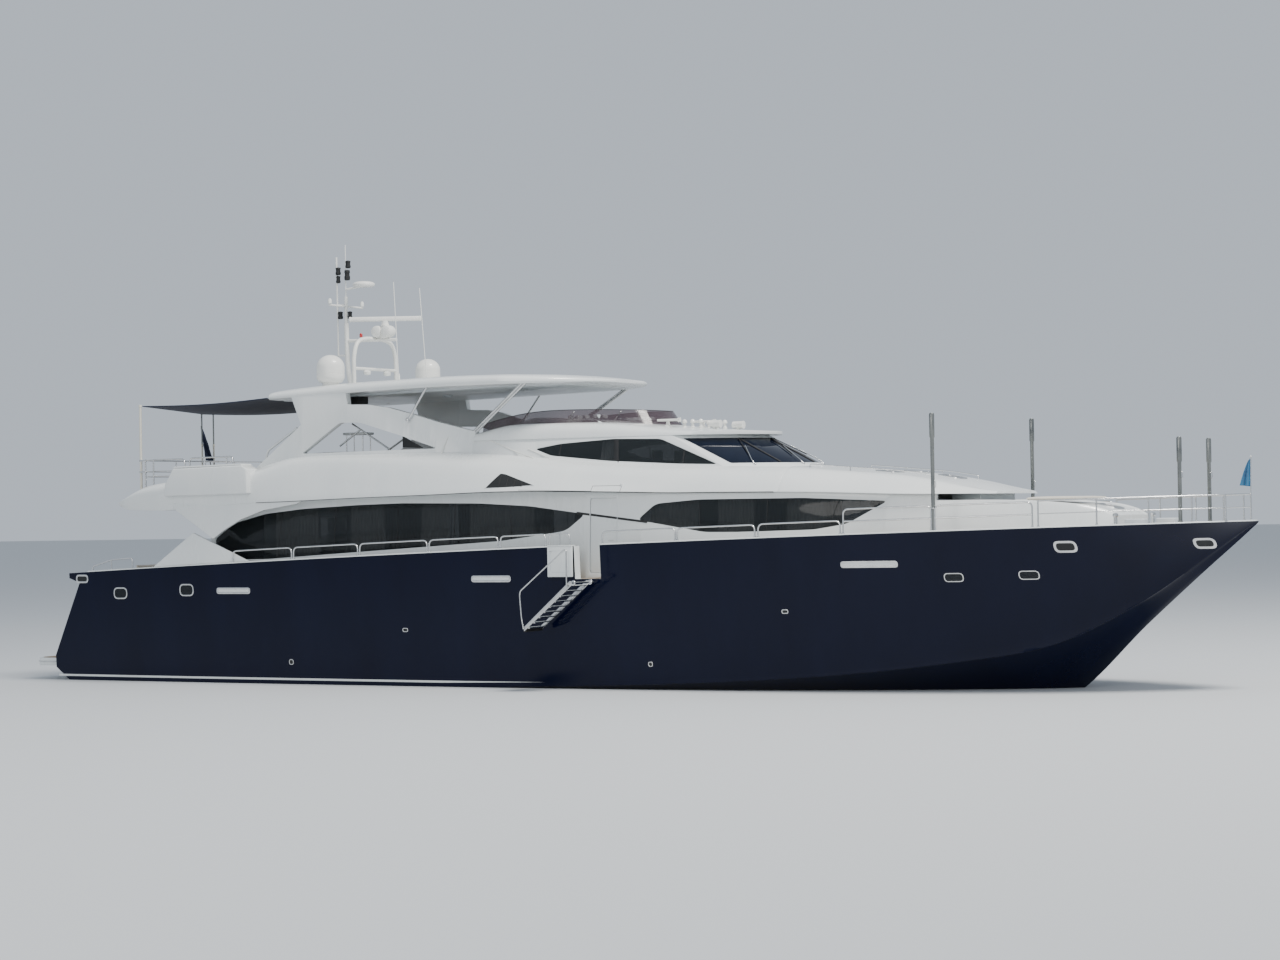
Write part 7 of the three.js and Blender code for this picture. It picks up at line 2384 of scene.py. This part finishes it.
# Helm
# A moulded console behind the windscreen with a sloping dashboard, three blank screens, a wheel
# and two seats on steel pedestals.
helm_floor = upper_at(0.9)[2] + 0.141
dash_outline = [(1.7, helm_floor), (1.7, 5.25), (1.85, 5.42), (2.3, 5.42), (2.6, 5.32), (2.6, helm_floor)]
console = prism("helm_dash", eased(dash_outline, 0.04), -1.3, 1.3)
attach(soften(paint(console, grey_gelcoat), 0.02, 30, 3), "yacht")
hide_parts("helm_console")
for count, y in enumerate((-0.75, 0, 0.75)):
    display = prism(f"helm_display_{count}", rounded_box(0.5, 0.15, 0.02, (y, 0)), 0, 0.012)
    for vertex in display.data.vertices:
        across, out, up = vertex.co
        vertex.co = (1.775 - 0.75 * out + 0.66 * up, across, 5.335 + 0.66 * out + 0.75 * up)
    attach(soften(paint(display, dark_paint_and_painted_shade), 0.002), "yacht")
WHEEL_MIDDLE = (1.6, 0, 5.2)


def wheel_rim(turn):
    return 1.58 + 0.05 * math.sin(turn), 0.216 * math.cos(turn), 5.2 + 0.2 * math.sin(turn)


rim = [wheel_rim(turn) for turn in steps(0, 2 * math.pi, 40)]
spokes = [[WHEEL_MIDDLE, wheel_rim(turn)] for turn in (math.pi / 2, math.pi * 7 / 6, math.pi * 11 / 6)]
tube("helm_wheel", [rim, *spokes, [WHEEL_MIDDLE, (1.72, 0, 5.22)]], 0.014, polished_steel)
SEAT_POST = [(0.16, 0), (0.16, 0.02), (0.045, 0.05), (0.045, 0.3)]
for word, y in (("port", 0.55), ("starboard", -0.55)):
    profile = [(radius, helm_floor + height) for radius, height in SEAT_POST]
    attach(paint(turned("helm_seat_post_" + word, profile, (0.95, y, 0), 24), polished_steel), "yacht")
    cushion("helm_seat_" + word, (0.7, y - 0.24, helm_floor + 0.3), (1.18, y + 0.24, helm_floor + 0.42), 0.03)
    cushion(
        "helm_backrest_" + word, (0.66, y - 0.23, helm_floor + 0.42), (0.76, y + 0.23, helm_floor + 0.86),
        0.025,
    )

# Aft deck furniture
# A white moulded settee across the stern with loose cushions, and a wooden table with rounded
# corners on two steel pedestals.
well_floor = deck_z(-13.9) + 0.02
settee = block("aft_settee", (-14.5, -1.7, well_floor), (-13.7, 1.7, well_floor + 0.34))
back = block("aft_settee_back", (-14.5, -1.7, well_floor + 0.3), (-14.3, 1.7, well_floor + 0.76))
for piece in (settee, back):
    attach(soften(paint(piece, white_gelcoat), 0.03, 35, 3), "yacht")
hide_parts("aft_deck_furniture")
for count in range(4):
    y0 = -1.68 + 0.84 * count
    cushion(f"aft_seat_{count}", (-14.28, y0, well_floor + 0.34), (-13.7, y0 + 0.83, well_floor + 0.46), 0.03)
    cushion(
        f"aft_backrest_{count}", (-14.31, y0, well_floor + 0.48), (-14.2, y0 + 0.83, well_floor + 0.86), 0.03,
    )
table_z = deck_z(-11.5) + 0.7
table_under = table_z - 0.045
table_outline = eased([(-12.9, -0.7), (-11.5, -0.7), (-11.5, 0.7), (-12.9, 0.7)], 0.3, 10)
aft_table = prism("aft_table", table_outline, table_under, table_z, "xy")
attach(soften(paint(aft_table, varnished_wood), 0.012, 35, 3), "yacht")
table_leg = [
    (0.2, well_floor), (0.2, well_floor + 0.02), (0.05, well_floor + 0.06), (0.05, table_z - 0.08),
    (0.16, table_under),
]
for x in (-12.55, -11.85):
    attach(paint(turned("aft_table_leg", table_leg, (x, 0, 0), 28), polished_steel), "yacht")

# Stern fittings
# The navy garage door that is let into the sloping transom and hinged at its upper edge, with a
# steel handle, and a low steel rail on each quarter.
door_loops = [(-15.09, 2.3), (-15.86, 0.78), (-15.905, 0.803), (-15.135, 2.323)]
garage = prism("garage_door", door_loops, -1.5, 1.5)
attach(soften(paint(garage, navy_paint), 0.012, 35, 3), "transom_door_body")
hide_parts("transom_door")
tube("garage_door_handle", [rounded_path([
    (-15.83, -0.25, 0.98), (-15.9, -0.25, 1.01), (-15.9, 0.25, 1.01), (-15.83, 0.25, 0.98),
], 0.03)], 0.012, polished_steel, "transom_door_body")
for side, word in SIDES:
    head = [(-14.62, side * 3.0, 2.93), (-13.99, side * 3.02, 3.1), (-13.27, side * 3.06, 3.145)]
    foot = [(x, y, sheer_z(x) + 0.02) for x, y, _ in head]
    paths = [rounded_path([foot[0], *head, foot[2]], 0.08), [head[1], foot[1]]]
    tube("quarter_rail_" + word, paths, 0.016, polished_steel)

# Running gear
# Under water: five-bladed bronze propellers on steel shafts, spade rudders and stabiliser fins in
# antifouling paint, with their bosses faired into the hull.
RUDDER_BOSS = [(0.1, -0.35), (0.095, -0.62), (0.085, -0.69), (0.07, -0.7)]
FIN_ROOT = [(0.145, 0.15), (0.14, 0.0), (0.135, -0.05), (0.12, -0.06)]
FIN_LEAN = math.radians(22)


def refined(node, name, width, material, body, angle):
    """A copy of a plain piece with its facets merged and its edges rounded."""
    deselect()
    source = bpy.data.objects[node]
    mesh = source.data.copy()
    bpy.ops.mesh.primitive_plane_add()
    made = bpy.context.object
    made.name = name
    made.data = mesh
    made.data.transform(source.matrix_world)
    mesh.materials.clear()
    bpy.ops.object.mode_set(mode="EDIT")
    bpy.ops.mesh.select_all(action="SELECT")
    bpy.ops.mesh.remove_doubles(threshold=0.0001)
    bpy.ops.mesh.normals_make_consistent(inside=False)
    bpy.ops.object.mode_set(mode="OBJECT")
    paint(made, material)
    soften(made, width, angle)
    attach(made, body)
    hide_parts(node)
    return made


# Columns: node, name, edge width, material, body before the side's word, slot, smooth angle.
for node, name, width, material, body, slot, angle in [
    ("shaft", "propeller_shaft", 0.003, polished_steel, "yacht", "stainless", 40),
    ("propeller", "bronze_propeller", 0.002, bare_bronze, "propeller_{}_body", "bronze", 50),
    ("rudder", "spade_rudder", 0.006, bottom_paint, "rudder_{}_body", "antifouling", 30),
    ("stabiliser_fin", "fin_blade", 0.006, bottom_paint, "fin_{}_body", "antifouling", 30),
]:
    for word in ("port", "starboard"):
        made = refined(f"{node}_{word}", f"{name}_{word}", width, material, body.format(word), angle)
for side, word in SIDES:
    boss = turned("rudder_boss_" + word, RUDDER_BOSS, (-14.88, side * 1.15, 0), 28)
    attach(paint(boss, bottom_paint), "yacht")
    root = turned("fin_root_" + word, FIN_ROOT, (0, 0, 0), 28)
    laid_over(root, (-0.9, side * 2.35, -0.3), "X", side * FIN_LEAN)
    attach(paint(root, bottom_paint), "yacht")
